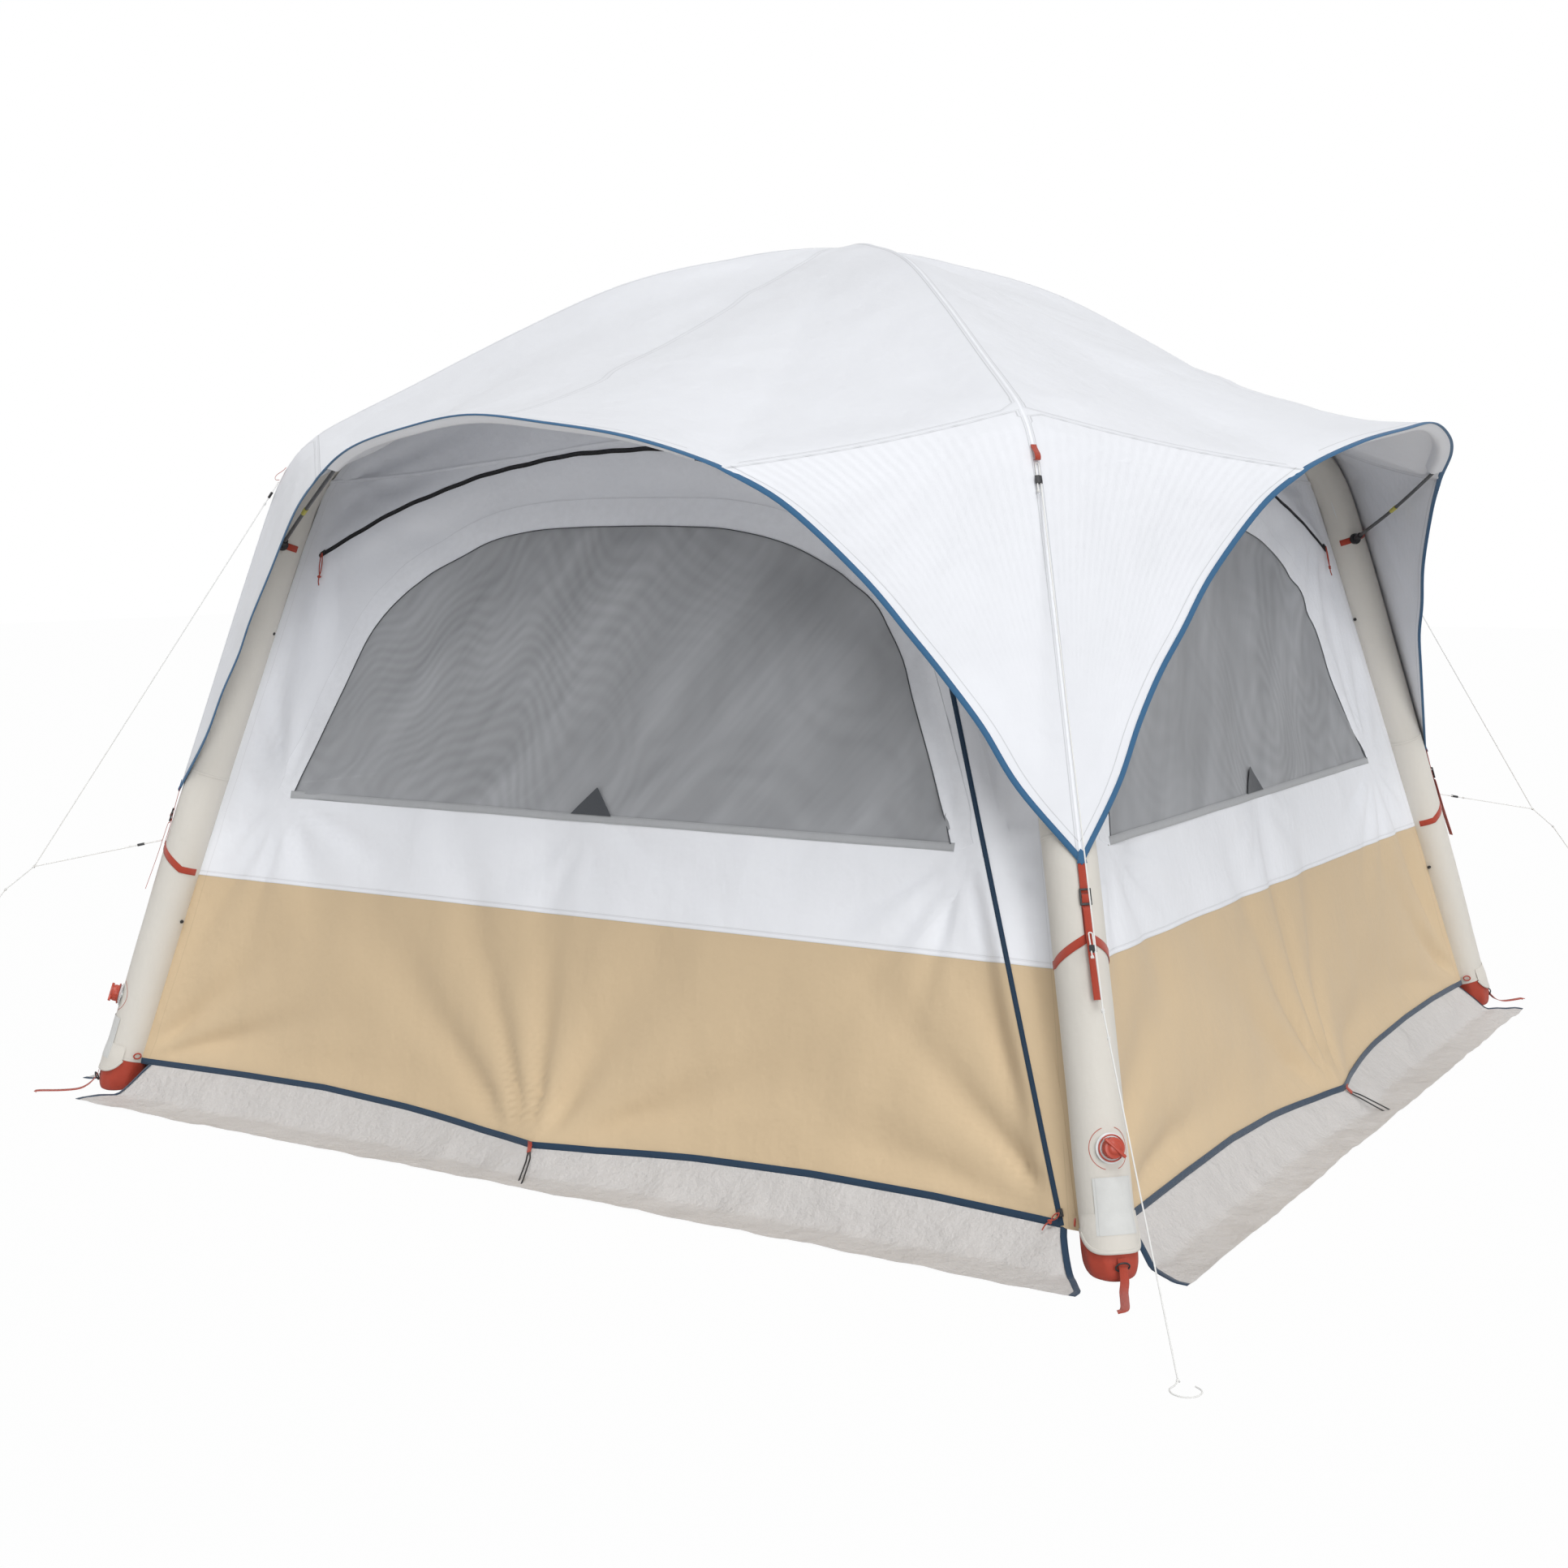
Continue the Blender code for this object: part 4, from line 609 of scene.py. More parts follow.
def wall_finish():
    """White upper cloth over the sand-coloured band, with a sewn fold beside each tube."""
    f = Finish("wall_cloth", specular_ior_level=0.3, sheen_weight=0.15, sheen_roughness=0.45)
    _, z = f.cloth()
    share, _ = f.cloth("share")
    band = z < BAND_TOP
    colour = f.mix(band, colours().wall, colours().sand)
    threads = (abs(z - (BAND_TOP + 0.002)) < 0.0007) + (abs(z - (BAND_TOP + 0.009)) < 0.0007)
    seam = (abs(z - BAND_TOP) < 0.0012) + (abs(z - (BAND_TOP + 0.0115)) < 0.0008)
    edge = abs(abs(share) - FLANGE_SHARE) < 0.0007
    soft = f.cloud(2.1, 3.0)
    fine = f.cloud(46.0, 3.0)
    level = 0.96 + soft * 0.055 + fine * 0.02 - threads * 0.10 - seam * 0.13 - edge * 0.10
    crumple = f.cloud(7.0, 4.0, f.stretched(1.0, 1.0, 0.55))
    f.bump((crumple, 0.009), (fine, 0.0010), (seam, -0.0004), (woven(f, FINE_WEAVE), 0.00014))
    return f.show(base_color=f.shade(colour, level), roughness=0.55 + fine * 0.18)


def sleeve_finish():
    """Cream woven cloth of the tube sleeves."""
    f = Finish("sleeve_cloth", specular_ior_level=0.3, sheen_weight=0.2, sheen_roughness=0.5)
    soft = f.cloud(3.0, 3.0)
    fine = f.cloud(60.0, 3.0)
    level = 0.955 + soft * 0.05 + fine * 0.03
    crumple = f.cloud(14.0, 3.0, f.stretched(1.0, 1.0, 0.35))
    f.bump((crumple, 0.0025), (fine, 0.0008), (woven(f, SLEEVE_WEAVE), 0.00018))
    return f.show(base_color=f.shade(colours().sleeve, level), roughness=0.58 + fine * 0.16)


def trim_finish(name, colour, rows, pitch=0.0009, shine=0.25):
    """Woven tape with rows of stitches at distances from its middle line."""
    f = Finish(name, specular_ior_level=shine, sheen_weight=0.25, sheen_roughness=0.5)
    u, v = f.cloth()
    ribs = (u + v * 0.5).wave(pitch * 2) * 0.5 + 0.5
    wear = f.cloud(55.0, 3.0)
    level = 0.90 + ribs * 0.08 + wear * 0.12
    height = ribs * 0.4
    for row in rows:
        threads = stitched(f, abs(v) - row)
        level = level - threads * 0.16
        height = height - threads * 0.6
    f.bump((height, 0.0003), (wear, 0.0006))
    return f.show(base_color=f.shade(colour, level), roughness=0.60 + wear * 0.2)


def mesh_finish():
    """Fine grey window mesh with the grain that two layers of threads make, and painted highlights along its folds.
    """
    f = Finish("window_mesh", specular_ior_level=0.45)
    x, z = f.cloth()
    across, along = x * 0.77 - z * 0.64, x * 0.64 + z * 0.77
    fold = f.cloud(1.0, 3.0, f.vector(across * 8.0, along * 1.3, 0.0))
    sway = f.cloud(1.5, 2.0, f.stretched(1.0, 1.0, 0.45))
    drift = f.cloud(3.6, 2.0, f.stretched(0.7, 0.7, 1.2))
    rings = (sway * 1.4 + drift * 0.22 + x * 0.25).wave(0.055)
    grain = (sway * 1.1 + z * 0.5 + x * 0.12).wave(0.031)
    calm = f.cloud(0.9, 1.0).ease(0.42, 0.62)
    threads = x.wave(0.0016) * 0.5 + z.wave(0.0016) * 0.5
    level = 0.80 + rings * 0.05 * calm + grain * 0.05 * (1 - calm) + drift * 0.10 + threads * 0.03
    # Painted highlight: the mesh is made lighter along its folds.
    level = level + fold.ease(0.35, 0.75) * 0.20
    f.bump((sway, 0.030), (fold, 0.020), (threads, 0.0001))
    return f.show(base_color=f.shade(colours().mesh, level), roughness=0.50 + drift * 0.12,
                  alpha=0.93 - rings * 0.02)


def skirt_finish():
    """Grey crinkled sheet, with painted highlights on the ridges of its crinkles."""
    f = Finish("skirt_sheet", specular_ior_level=0.5)
    soft = f.cloud(3.0, 3.0)
    crease = f.node("ShaderNodeTexNoise", {"noise_type": "RIDGED_MULTIFRACTAL"},
                    {"Vector": f.place(), "Scale": 7.0, "Detail": 5.0, "Roughness": 0.45, "Lacunarity": 2.2})
    fine = f.cloud(30.0, 5.0, None, 0.65)
    # Painted highlight: the colour is made lighter on the crinkle ridges, the same ridges that give the bump.
    level = 0.91 + soft * 0.08 + fine * 0.06 + crease.ease(0.6, 1.4) * 0.07
    f.bump((crease, 0.016), (fine, 0.008), (woven(f, SKIRT_WEAVE), 0.0002))
    return f.show(base_color=f.shade(colours().skirt, level), roughness=0.38 + fine * 0.25)


def zip_finish():
    """Black zip: coil down the middle of two woven tapes, with a painted highlight on each tooth of the coil."""
    f = Finish("zip_tape", specular_ior_level=0.4)
    u, v = f.cloth()
    coil = 1 - abs(v).ease(0.0022, 0.0032)
    teeth_and_glint = u.wave(0.0021) * 0.5 + 0.5
    fine = f.cloud(80.0, 2.0)
    # Painted highlight: the coil is made lighter on the crest of each tooth.
    level = 0.85 + fine * 0.3 + coil * teeth_and_glint * 0.9
    f.bump((coil * (0.5 + teeth_and_glint * 0.5), 0.0012), (woven(f, FINE_WEAVE), 0.0002))
    return f.show(base_color=f.shade(colours().black, level), roughness=0.62 - coil * 0.25)


def webbing_finish():
    """Red ribbed webbing with wear, darker towards its edges."""
    f = Finish("red_webbing", specular_ior_level=0.25, sheen_weight=0.35, sheen_roughness=0.5)
    u, v = f.cloth()
    ribs = (u + abs(v % 0.003 - 0.0015)).wave(0.0020) * 0.5 + 0.5
    wear = f.cloud(70.0, 3.0)
    edge = abs(v).ease(0.0065, 0.0090)
    level = 0.88 + ribs * 0.12 + wear * 0.12 - edge * 0.12
    f.bump((ribs, 0.0004), (wear, 0.0006))
    return f.show(base_color=f.shade(colours().red, level), roughness=0.62 + wear * 0.2)


def moulded_finish(name, colour, roughness, grain=0.0003, shine=0.5):
    """Moulded part with a fine grain and lighter scuffs."""
    f = Finish(name, specular_ior_level=shine)
    fine = f.cloud(420.0, 2.0)
    scuff = f.cloud(38.0, 4.0)
    f.bump((fine, grain), (scuff, 0.0004))
    return f.show(base_color=f.shade(colour, 0.93 + scuff * 0.14), roughness=roughness + scuff * 0.14)


def cup_finish():
    """Red coated cloth of the feet, with scuffs, darker towards the ground."""
    f = Finish("red_foot", specular_ior_level=0.4, sheen_weight=0.1)
    scuff = f.cloud(30.0, 4.0)
    fine = f.cloud(160.0, 2.0)
    _, v = f.cloth()
    low = 1 - v.ease(0.0, 0.035)
    level = 0.90 + scuff * 0.16 - low * scuff * 0.25
    f.bump((scuff, 0.0022), (fine, 0.0004), (woven(f, FOOT_WEAVE), 0.0002))
    return f.show(base_color=f.shade(colours().red, level), roughness=0.48 + scuff * 0.2)


def cord_finish():
    """White braided cord with a flecked thread."""
    f = Finish("guy_cord", specular_ior_level=0.3, sheen_weight=0.2)
    u, v = f.cloth()
    braid = (u + v).wave(0.0024) * (u - v).wave(0.0024) * 0.5 + 0.5
    wear = f.cloud(90.0, 2.0)
    f.bump((braid, 0.0003), (wear, 0.0003))
    return f.show(base_color=f.shade(colours().cord, 0.86 + braid * 0.12 + wear * 0.05), roughness=0.62 + wear * 0.15)


def clear_finish():
    """Milky clear valve boot."""
    f = Finish("clear_boot", specular_ior_level=0.5, coat_weight=0.4, coat_roughness=0.1)
    haze = f.cloud(60.0, 3.0)
    f.bump((haze, 0.0004))
    return f.show(base_color=f.shade(tone(226, 230, 231), 0.92 + haze * 0.1), roughness=0.22 + haze * 0.15)


def pole_finish():
    """Black glass-fibre rod with a fine lengthwise grain."""
    f = Finish("pole_rod", specular_ior_level=0.5, coat_weight=0.3, coat_roughness=0.2)
    u, v = f.cloth()
    grain = f.cloud(12.0, 3.0, f.vector(u * 3, v * 400, 0.0))
    f.bump((grain, 0.0002))
    return f.show(base_color=f.shade(tone(30, 31, 33), 0.85 + grain * 0.4), roughness=0.34 + grain * 0.15)


FINISHES = {
    "fly": fly_finish, "wall": wall_finish, "sleeve": sleeve_finish, "mesh": mesh_finish, "skirt": skirt_finish,
    "zip": zip_finish, "webbing": webbing_finish, "cup": cup_finish, "cord": cord_finish, "clear": clear_finish,
    "pole": pole_finish,
    "rim": lambda: trim_finish("rim_binding", colours().blue, (0.0095,)),
    "hem": lambda: trim_finish("hem_binding", colours().navy, (0.0045,)),
    "white_tape": lambda: trim_finish("white_tape", colours().wall, (0.0040,)),
    "window_band": lambda: trim_finish("window_band", colours().wall, (0.0315, 0.0275), 0.0006),
    "grey_tape": lambda: trim_finish("grey_tape", tone(176, 178, 181), (0.0070,), 0.0007),
    "cream_tape": lambda: trim_finish("cream_tape", colours().sleeve, (0.0032,), 0.0007),
    "patch": lambda: trim_finish("leg_patch", tone(212, 213, 211), (0.037,), 0.0007),
    "dark_tape": lambda: trim_finish("dark_tape", tone(70, 73, 78), (0.0,), 0.0007),
    "print": lambda: moulded_finish("print_ring", tone(190, 112, 100), 0.6, 0.0001, 0.2),
    "black": lambda: moulded_finish("black_moulding", colours().black, 0.42),
    "red": lambda: moulded_finish("red_moulding", colours().red, 0.30, 0.0001),
    "ferrule": lambda: moulded_finish("ferrule", tone(186, 178, 60), 0.4, 0.0001)}


def turned(points, k):
    """Points of the front side turned to side k."""
    x, y, z = np.moveaxis(np.asarray(points, float), -1, 0)
    for _ in range(k % 4):
        x, y = -y, x
    return np.stack([x, y, z], axis=-1)


def side_points(along, out, height, k):
    """Points given along side k, outward from the middle, and up."""
    return turned(np.stack(np.broadcast_arrays(along, -np.asarray(out, float), height), axis=-1), k)


def on_side(points, k):
    """Points given as (along, out, height) on side k."""
    return side_points(points[..., 0], points[..., 1], points[..., 2], k)


def corner_points(out, aside, height, c):
    """Points given outward along the diagonal of corner c, to its left, and up."""
    cosine, sine = math.cos(CORNER_TURNS[c]), math.sin(CORNER_TURNS[c])
    out, aside, height = np.broadcast_arrays(out, aside, height)
    return np.stack([out * cosine - aside * sine, out * sine + aside * cosine, height], axis=-1)


def unit(vectors):
    """Vectors at length one."""
    return vectors / np.maximum(np.linalg.norm(vectors, axis=-1, keepdims=True), 1e-12)


def facing_out(ways, places):
    """Directions turned, where they have to be, away from the middle of the tent."""
    return ways * np.where((ways * (places - MIDDLE)).sum(-1) < 0, -1.0, 1.0)[..., None]


def circle(count):
    """So many angles once round."""
    return np.linspace(0, 2 * math.pi, count, endpoint=False)


def pairs(rows, columns):
    """Grid of (row value, column value)."""
    return np.stack(np.meshgrid(rows, columns, indexing="ij"), axis=-1)


def ease(values, low, high):
    """0 below low, 1 above high, smooth between."""
    t = np.clip((np.asarray(values, float) - low) / (high - low), 0.0, 1.0)
    return t * t * (3 - 2 * t)


def catmull(table, at):
    """Points on the smooth curve through a table at fractional indices."""
    table = np.asarray(table, float)
    around = np.vstack([2 * table[0] - table[1], table, 2 * table[-1] - table[-2]])
    at = np.clip(np.asarray(at, float), 0, len(table) - 1)
    i = np.minimum(at.astype(int), len(table) - 2)
    t = (at - i)[..., None]
    a, b, c, d = (around[i + n] for n in range(4))
    return 0.5 * (2 * b + (c - a) * t + (2 * a - 5 * b + 4 * c - d) * t ** 2 + (3 * b - a - 3 * c + d) * t ** 3)


def lengths(line):
    """Length from the start of a line at each of its points."""
    return np.r_[0.0, np.cumsum(np.linalg.norm(np.diff(line, axis=0), axis=1))]


def even(line, count):
    """A line with its points at equal steps."""
    line = np.asarray(line, float)
    steps = lengths(line)
    at = np.linspace(0.0, steps[-1], count)
    return np.stack([np.interp(at, steps, column) for column in line.T], axis=1)


def smooth(table, count):
    """Equal steps along the smooth curve through a table."""
    return even(catmull(table, np.linspace(0, len(table) - 1, len(table) * 14)), count)


def rough(points, scale, seed):
    """Soft noise from -1 to 1 at each point."""
    flat = np.asarray(points, float).reshape(-1, 3) * scale + seed * 7.3
    return np.array([noise.noise(Vector(p)) for p in flat]).reshape(np.shape(points)[:-1])


def placed(name, data):
    """A new object in the scene."""
    made = bpy.data.objects.new(name, data)
    bpy.context.scene.collection.objects.link(made)
    return made


def piece_of(name, vertices, faces, finish, maps=(), away=None):
    """Mesh piece with smooth faces, turned to look along the directions given for its vertices."""
    vertices = np.asarray(vertices, float)
    faces = [list(face) for face in faces]
    middles = np.array([vertices[face].mean(axis=0) for face in faces])
    crosses = np.array([np.cross(vertices[f[1]] - vertices[f[0]], vertices[f[2]] - vertices[f[0]]) for f in faces])
    outward = middles - FLIP_MIDDLE if away is None else np.array([away[face].mean(axis=0) for face in faces])
    if (crosses * outward).sum() < 0:
        faces = [face[::-1] for face in faces]
        maps = [(layer, [loop[::-1] for loop in loops]) for layer, loops in maps]
    mesh = bpy.data.meshes.new(name)
    mesh.from_pydata(vertices.tolist(), [], faces)
    for layer, loops in maps:
        made = mesh.uv_layers.new(name=layer)
        made.uv.foreach_set("vector", np.concatenate([np.asarray(loop, np.float32) for loop in loops]).ravel())
    mesh.shade_smooth()
    mesh.materials.append(finish_of(finish))
    return placed(name, mesh)


def grid_faces(rows, columns, wrap, loop=False):
    """Corner places of each quad of a grid as (row, column) index arrays."""
    last_row = rows if loop else rows - 1
    last_column = columns if wrap else columns - 1
    r, c = np.meshgrid(np.arange(last_row), np.arange(last_column), indexing="ij")
    r, c = r.ravel(), c.ravel()
    return np.stack([r, r, r + 1, r + 1], axis=1), np.stack([c, c + 1, c + 1, c], axis=1)


def grid_piece(name, points, finish, maps, wrap=False, loop=False, keep=None, away=None, caps=False):
    """Piece over a grid of points; maps are named arrays, one place longer than the grid where it closes."""
    rows, columns = points.shape[:2]
    r, c = grid_faces(rows, columns, wrap, loop)
    corners = (r % rows) * columns + c % columns
    if keep is not None:
        kept = keep.ravel()[corners].all(axis=1)
        r, c, corners = r[kept], c[kept], corners[kept]
    faces = corners.tolist()
    layers = [(layer, list(values[r, c])) for layer, values in maps]
    if caps:
        for row in (0, rows - 1):
            ends = row * columns + np.arange(columns)
            faces.append(ends.tolist() if row else ends[::-1].tolist())
            for layer, loops in layers:
                values = dict(maps)[layer][row, :columns]
                loops.append(values if row else values[::-1])
    flat_away = None if away is None else away.reshape(-1, 3)
    return piece_of(name, points.reshape(-1, 3), faces, finish, layers, flat_away)


def sweep(name, line, across, up, section, finish, loop=False, wrapped=True):
    """A closed section of (across, up) places carried along a line; its map wraps it or lies flat."""
    line, section = np.asarray(line, float), np.asarray(section, float)
    across, up = np.broadcast_to(across, line.shape), np.broadcast_to(up, line.shape)
    offsets = across[:, None] * section[None, :, :1] + up[:, None] * section[None, :, 1:]
    middle = section.mean(axis=0)
    away = across[:, None] * (section[None, :, :1] - middle[0]) + up[:, None] * (section[None, :, 1:] - middle[1])
    along = lengths(np.vstack([line, line[:1]]) if loop else line)
    around = lengths(np.vstack([section, section[:1]])) if wrapped else np.r_[section[:, 0], section[0, 0]]
    maps = [("cloth", pairs(along, around))]
    piece = grid_piece(name, line[:, None] + offsets, finish, maps, True, loop, None, away, not loop)
    sharpen(piece.data, 50)
    return piece


def flat_section(width, thick, lift=0.0):
    """Section of a flat tape lying on its line."""
    w = width / 2
    return ((-w, lift), (-w * 0.5, lift), (0.0, lift), (w * 0.5, lift), (w, lift),
            (w, lift + thick * 0.7), (w * 0.94, lift + thick), (0.0, lift + thick), (-w * 0.94, lift + thick),
            (-w, lift + thick * 0.7))


def round_section(radius, sides=10):
    """Section of a cord."""
    angles = [2 * math.pi * i / sides for i in range(sides)]
    return [(radius * math.cos(a), radius * math.sin(a)) for a in angles]


def tangents(line, loop=False):
    """Unit direction at each point of a line."""
    if loop:
        return unit(np.roll(line, -1, axis=0) - np.roll(line, 1, axis=0))
    return unit(np.gradient(np.asarray(line, float), axis=0))


def tape(name, line, up, size, finish, lift=0.0, loop=False):
    """Tape of a (width, thickness) along a line on a surface whose outward direction is up."""
    line = np.asarray(line, float)
    up = unit(np.broadcast_to(np.asarray(up, float), line.shape))
    across = unit(np.cross(up, tangents(line, loop)))
    return sweep(name, line, across, up, flat_section(*size, lift), finish, loop, False)


def string(name, line, radius, finish, loop=False, sides=10):
    """Round cord along a line."""
    line = np.asarray(line, float)
    way = tangents(line, loop)
    side = np.cross(way[0], (0.31, 0.17, 0.93))
    frames = []
    for direction in way:
        side = side - direction * side.dot(direction)
        side = side / np.linalg.norm(side)
        frames.append(side)
    across = np.array(frames)
    return sweep(name, line, across, np.cross(way, across), round_section(radius, sides), finish, loop)


def thicken(piece, size, offset=0.0):
    """Gives a sheet its thickness, with crisp edges."""
    work = bmesh.new()
    work.from_mesh(piece.data)
    for edge in work.edges:
        if edge.is_boundary:
            edge.smooth = False
    work.to_mesh(piece.data)
    work.free()
    skin = piece.modifiers.new("skin", "SOLIDIFY")
    skin.thickness = size
    skin.offset = offset
    return piece


def dress(piece, slot, *nodes, body="tent"):
    """Rides on a body and hides the nodes that it stands for; the slot is not used."""
    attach(piece, body)
    if nodes:
        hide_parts(*nodes)
    return piece


def joined(name, pieces):
    """One piece made of several that share a finish."""
    if len(pieces) > 1:
        bpy.ops.object.select_all(action="DESELECT")
        for piece in pieces:
            piece.select_set(True)
        bpy.context.view_layer.objects.active = pieces[0]
        bpy.ops.object.join()
    pieces[0].name = name
    return pieces[0]


def weld(mesh, distance):
    """Joins the vertices of a mesh that lie closer than a distance."""
    work = bmesh.new()
    work.from_mesh(mesh)
    bmesh.ops.remove_doubles(work, verts=work.verts, dist=distance)
    work.to_mesh(mesh)
    work.free()


def turn_up(mesh):
    """Turns all faces of a roof cloth to look up."""
    work = bmesh.new()
    work.from_mesh(mesh)
    bmesh.ops.recalc_face_normals(work, faces=work.faces)
    if sum(f.normal.z * f.calc_area() for f in work.faces) < 0:
        bmesh.ops.reverse_faces(work, faces=work.faces)
    work.to_mesh(mesh)
    work.free()


def sharpen(mesh, degrees):
    """Makes the edges of a mesh sharp that bend by more than an angle."""
    mesh.set_sharp_from_angle(angle=math.radians(degrees))


def turned_solid(name, profile, place, finish, sides=48):
    """Solid of revolution about the Z axis of a frame."""
    profile = np.asarray(profile, float)
    angles = circle(sides)
    rows = np.stack([profile[:, None, 0] * np.cos(angles), profile[:, None, 0] * np.sin(angles),
                     np.broadcast_to(profile[:, None, 1], (len(profile), sides))], axis=-1)
    turn = np.array(place.to_3x3()).T
    away = (rows - (0.0, 0.0, profile[:, 1].mean())) @ turn
    around = np.r_[angles, 2 * math.pi] * profile[:, 0].max()
    maps = [("cloth", pairs(lengths(profile), around)[..., ::-1])]
    piece = grid_piece(name, rows @ turn + np.array(place.translation), finish, maps, True, False, None, away)
    weld(piece.data, 1e-6)
    sharpen(piece.data, 45)
    return piece


def blocks(name, boxes, frame_matrix, finish, edge):
    """Rounded bars given as (centre, size) in a frame."""
    work = bmesh.new()
    for centre, size in boxes:
        place = frame_matrix @ Matrix.Translation(centre) @ Matrix.Diagonal((*size, 1.0))
        bmesh.ops.create_cube(work, size=1.0, matrix=place)
    mesh = bpy.data.meshes.new(name)
    work.to_mesh(mesh)
    work.free()
    mesh.shade_smooth()
    mesh.materials.append(finish_of(finish))
    return round_edges(placed(name, mesh), edge, 3)


def round_edges(piece, edge, segments):
    """Rounds the edges of a piece."""
    rounding = piece.modifiers.new("edge", "BEVEL")
    rounding.width = edge
    rounding.segments = segments
    return piece


def refinish(node, finish):
    """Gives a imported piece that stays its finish, and returns its mesh."""
    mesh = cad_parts[node].data
    mesh.materials.clear()
    mesh.materials.append(finish_of(finish))
    return mesh


def frame_at(origin, x_axis, y_axis, z_axis):
    """Frame of three unit axes at an origin."""
    return Matrix.Translation(Vector(origin)) @ Matrix(
        (Vector(x_axis), Vector(y_axis), Vector(z_axis))).transposed().to_4x4()


def pointed(origin, way):
    """Frame at an origin whose Z axis points along a direction."""
    return Matrix.Translation(Vector(origin)) @ Vector(way).to_track_quat("Z", "Y").to_matrix().to_4x4()


# Air tubes
LEG_LINE = catmull(AXIS, np.linspace(0, LEG_STATION_SHARE, 921)) * (ROOT_TWO, 1.0)
LEG_SLOPE = np.gradient(LEG_LINE[:, 0], LEG_LINE[:, 1])


def leg_at(level):
    """Axis place (out, height) of a leg and its outward normal at a height."""
    level = np.asarray(level, float)
    rho = np.interp(level, LEG_LINE[:, 1], LEG_LINE[:, 0])
    slope = np.interp(level, LEG_LINE[:, 1], LEG_SLOPE)
    size = np.hypot(1.0, slope)
    return rho, level, 1 / size, -slope / size


def leg_points(level, angle, lift, c):
    """Points on the sleeve of leg c, round from its outermost line, with their outward directions."""
    rho, z, nr, nz = leg_at(level)
    off = (TUBE_RADIUS + lift) * np.cos(angle)
    points = corner_points(rho + off * nr, (TUBE_RADIUS + lift) * np.sin(angle), z + off * nz, c)
    return points, corner_points(np.cos(angle) * nr, np.sin(angle), np.cos(angle) * nz, c)


def leg_frame(level, lift, c):
    """Frame on the outermost line of a leg: X across, Y up the leg, Z outward."""
    origin, out = leg_points(level, 0.0, lift, c)
    across = corner_points(0.0, 1.0, 0.0, c)
    return frame_at(origin, across, np.cross(out, across), out)


def arch_line():
    """Axis of a whole arch as (signed out, height), with its length and unit normals."""
    half = catmull(AXIS, np.linspace(FOOT_STATION_SHARE, LAST_STATION_SHARE, 150)) * (ROOT_TWO, 1.0)
    start, top = half[-1], AXIS[-1][1]
    places = np.linspace(start[0], 0.0, 18)[1:]
    crown = np.stack([places, top - (top - start[1]) * (places / start[0]) ** 2], axis=1)
    half = np.vstack([half, crown])
    line = np.vstack([half * (-1, 1), half[-2::-1]])
    line = even(line, ARCH_POINTS)
    way = unit(np.gradient(line, axis=0))
    return line, lengths(line), np.stack([-way[:, 1], way[:, 0]], axis=1)


def tube_points(turn, upper, radius, count):
    """Grid of points round an arch, flattened where it crosses the other one."""
    line, along, normal = arch_line()
    angle = circle(count)[None, :]
    blend = ease(np.abs(line[:, :1]), CROSSING_FLAT, CROSSING_END)
    half = (radius - CROSSING_GAP) / 2
    centre = (radius + CROSSING_GAP) / 2 * (1 if upper else -1)
    full = radius * np.cos(angle)
    off = (centre + np.cos(angle) * half) * (1 - blend) + full * blend
    level = line[:, 1:2]
    shoulder = np.exp(-((level - SHOULDER_LEVEL) / PLEAT_REACH) ** 2) * np.clip(-np.cos(angle), 0, 1) ** 0.6
    pleat = np.sin(along[:, None] * 2 * math.pi / PLEAT_PITCH) * PLEAT_DEPTH * shoulder
    off = off + pleat * np.cos(angle)
    aside = (radius + pleat) * np.sin(angle)
    out = line[:, :1] + off * normal[:, :1]
    height = level + off * normal[:, 1:]
    cosine, sine = math.cos(turn), math.sin(turn)
    points = np.stack([out * cosine - aside * sine, out * sine + aside * cosine, height], axis=-1)
    centres = np.stack([line[:, 0] * cosine, line[:, 0] * sine, line[:, 1]], axis=-1)[:, None]
    return points, points - centres, along, angle[0]


def flap_lift(level):
    """Lift of the sleeve hem where it hangs over the foot."""
    return FLAP_LIFT + FLAP_FLARE * (1 - ease(level, *FLAP_FLARE_LEVELS))


def leg_cloth(name, levels, turns, lift, finish, thick, c, middle=0.0):
    """Cloth laid on leg c over a grid of heights and turns round it."""
    grid, out = leg_points(levels, turns, lift, c)
    size = np.stack([levels - middle, turns * TUBE_RADIUS], axis=-1)
    piece = grid_piece(name, grid, finish, [("cloth", size)], away=out)
    dress(thicken(piece, thick), "sleeve_cloth")


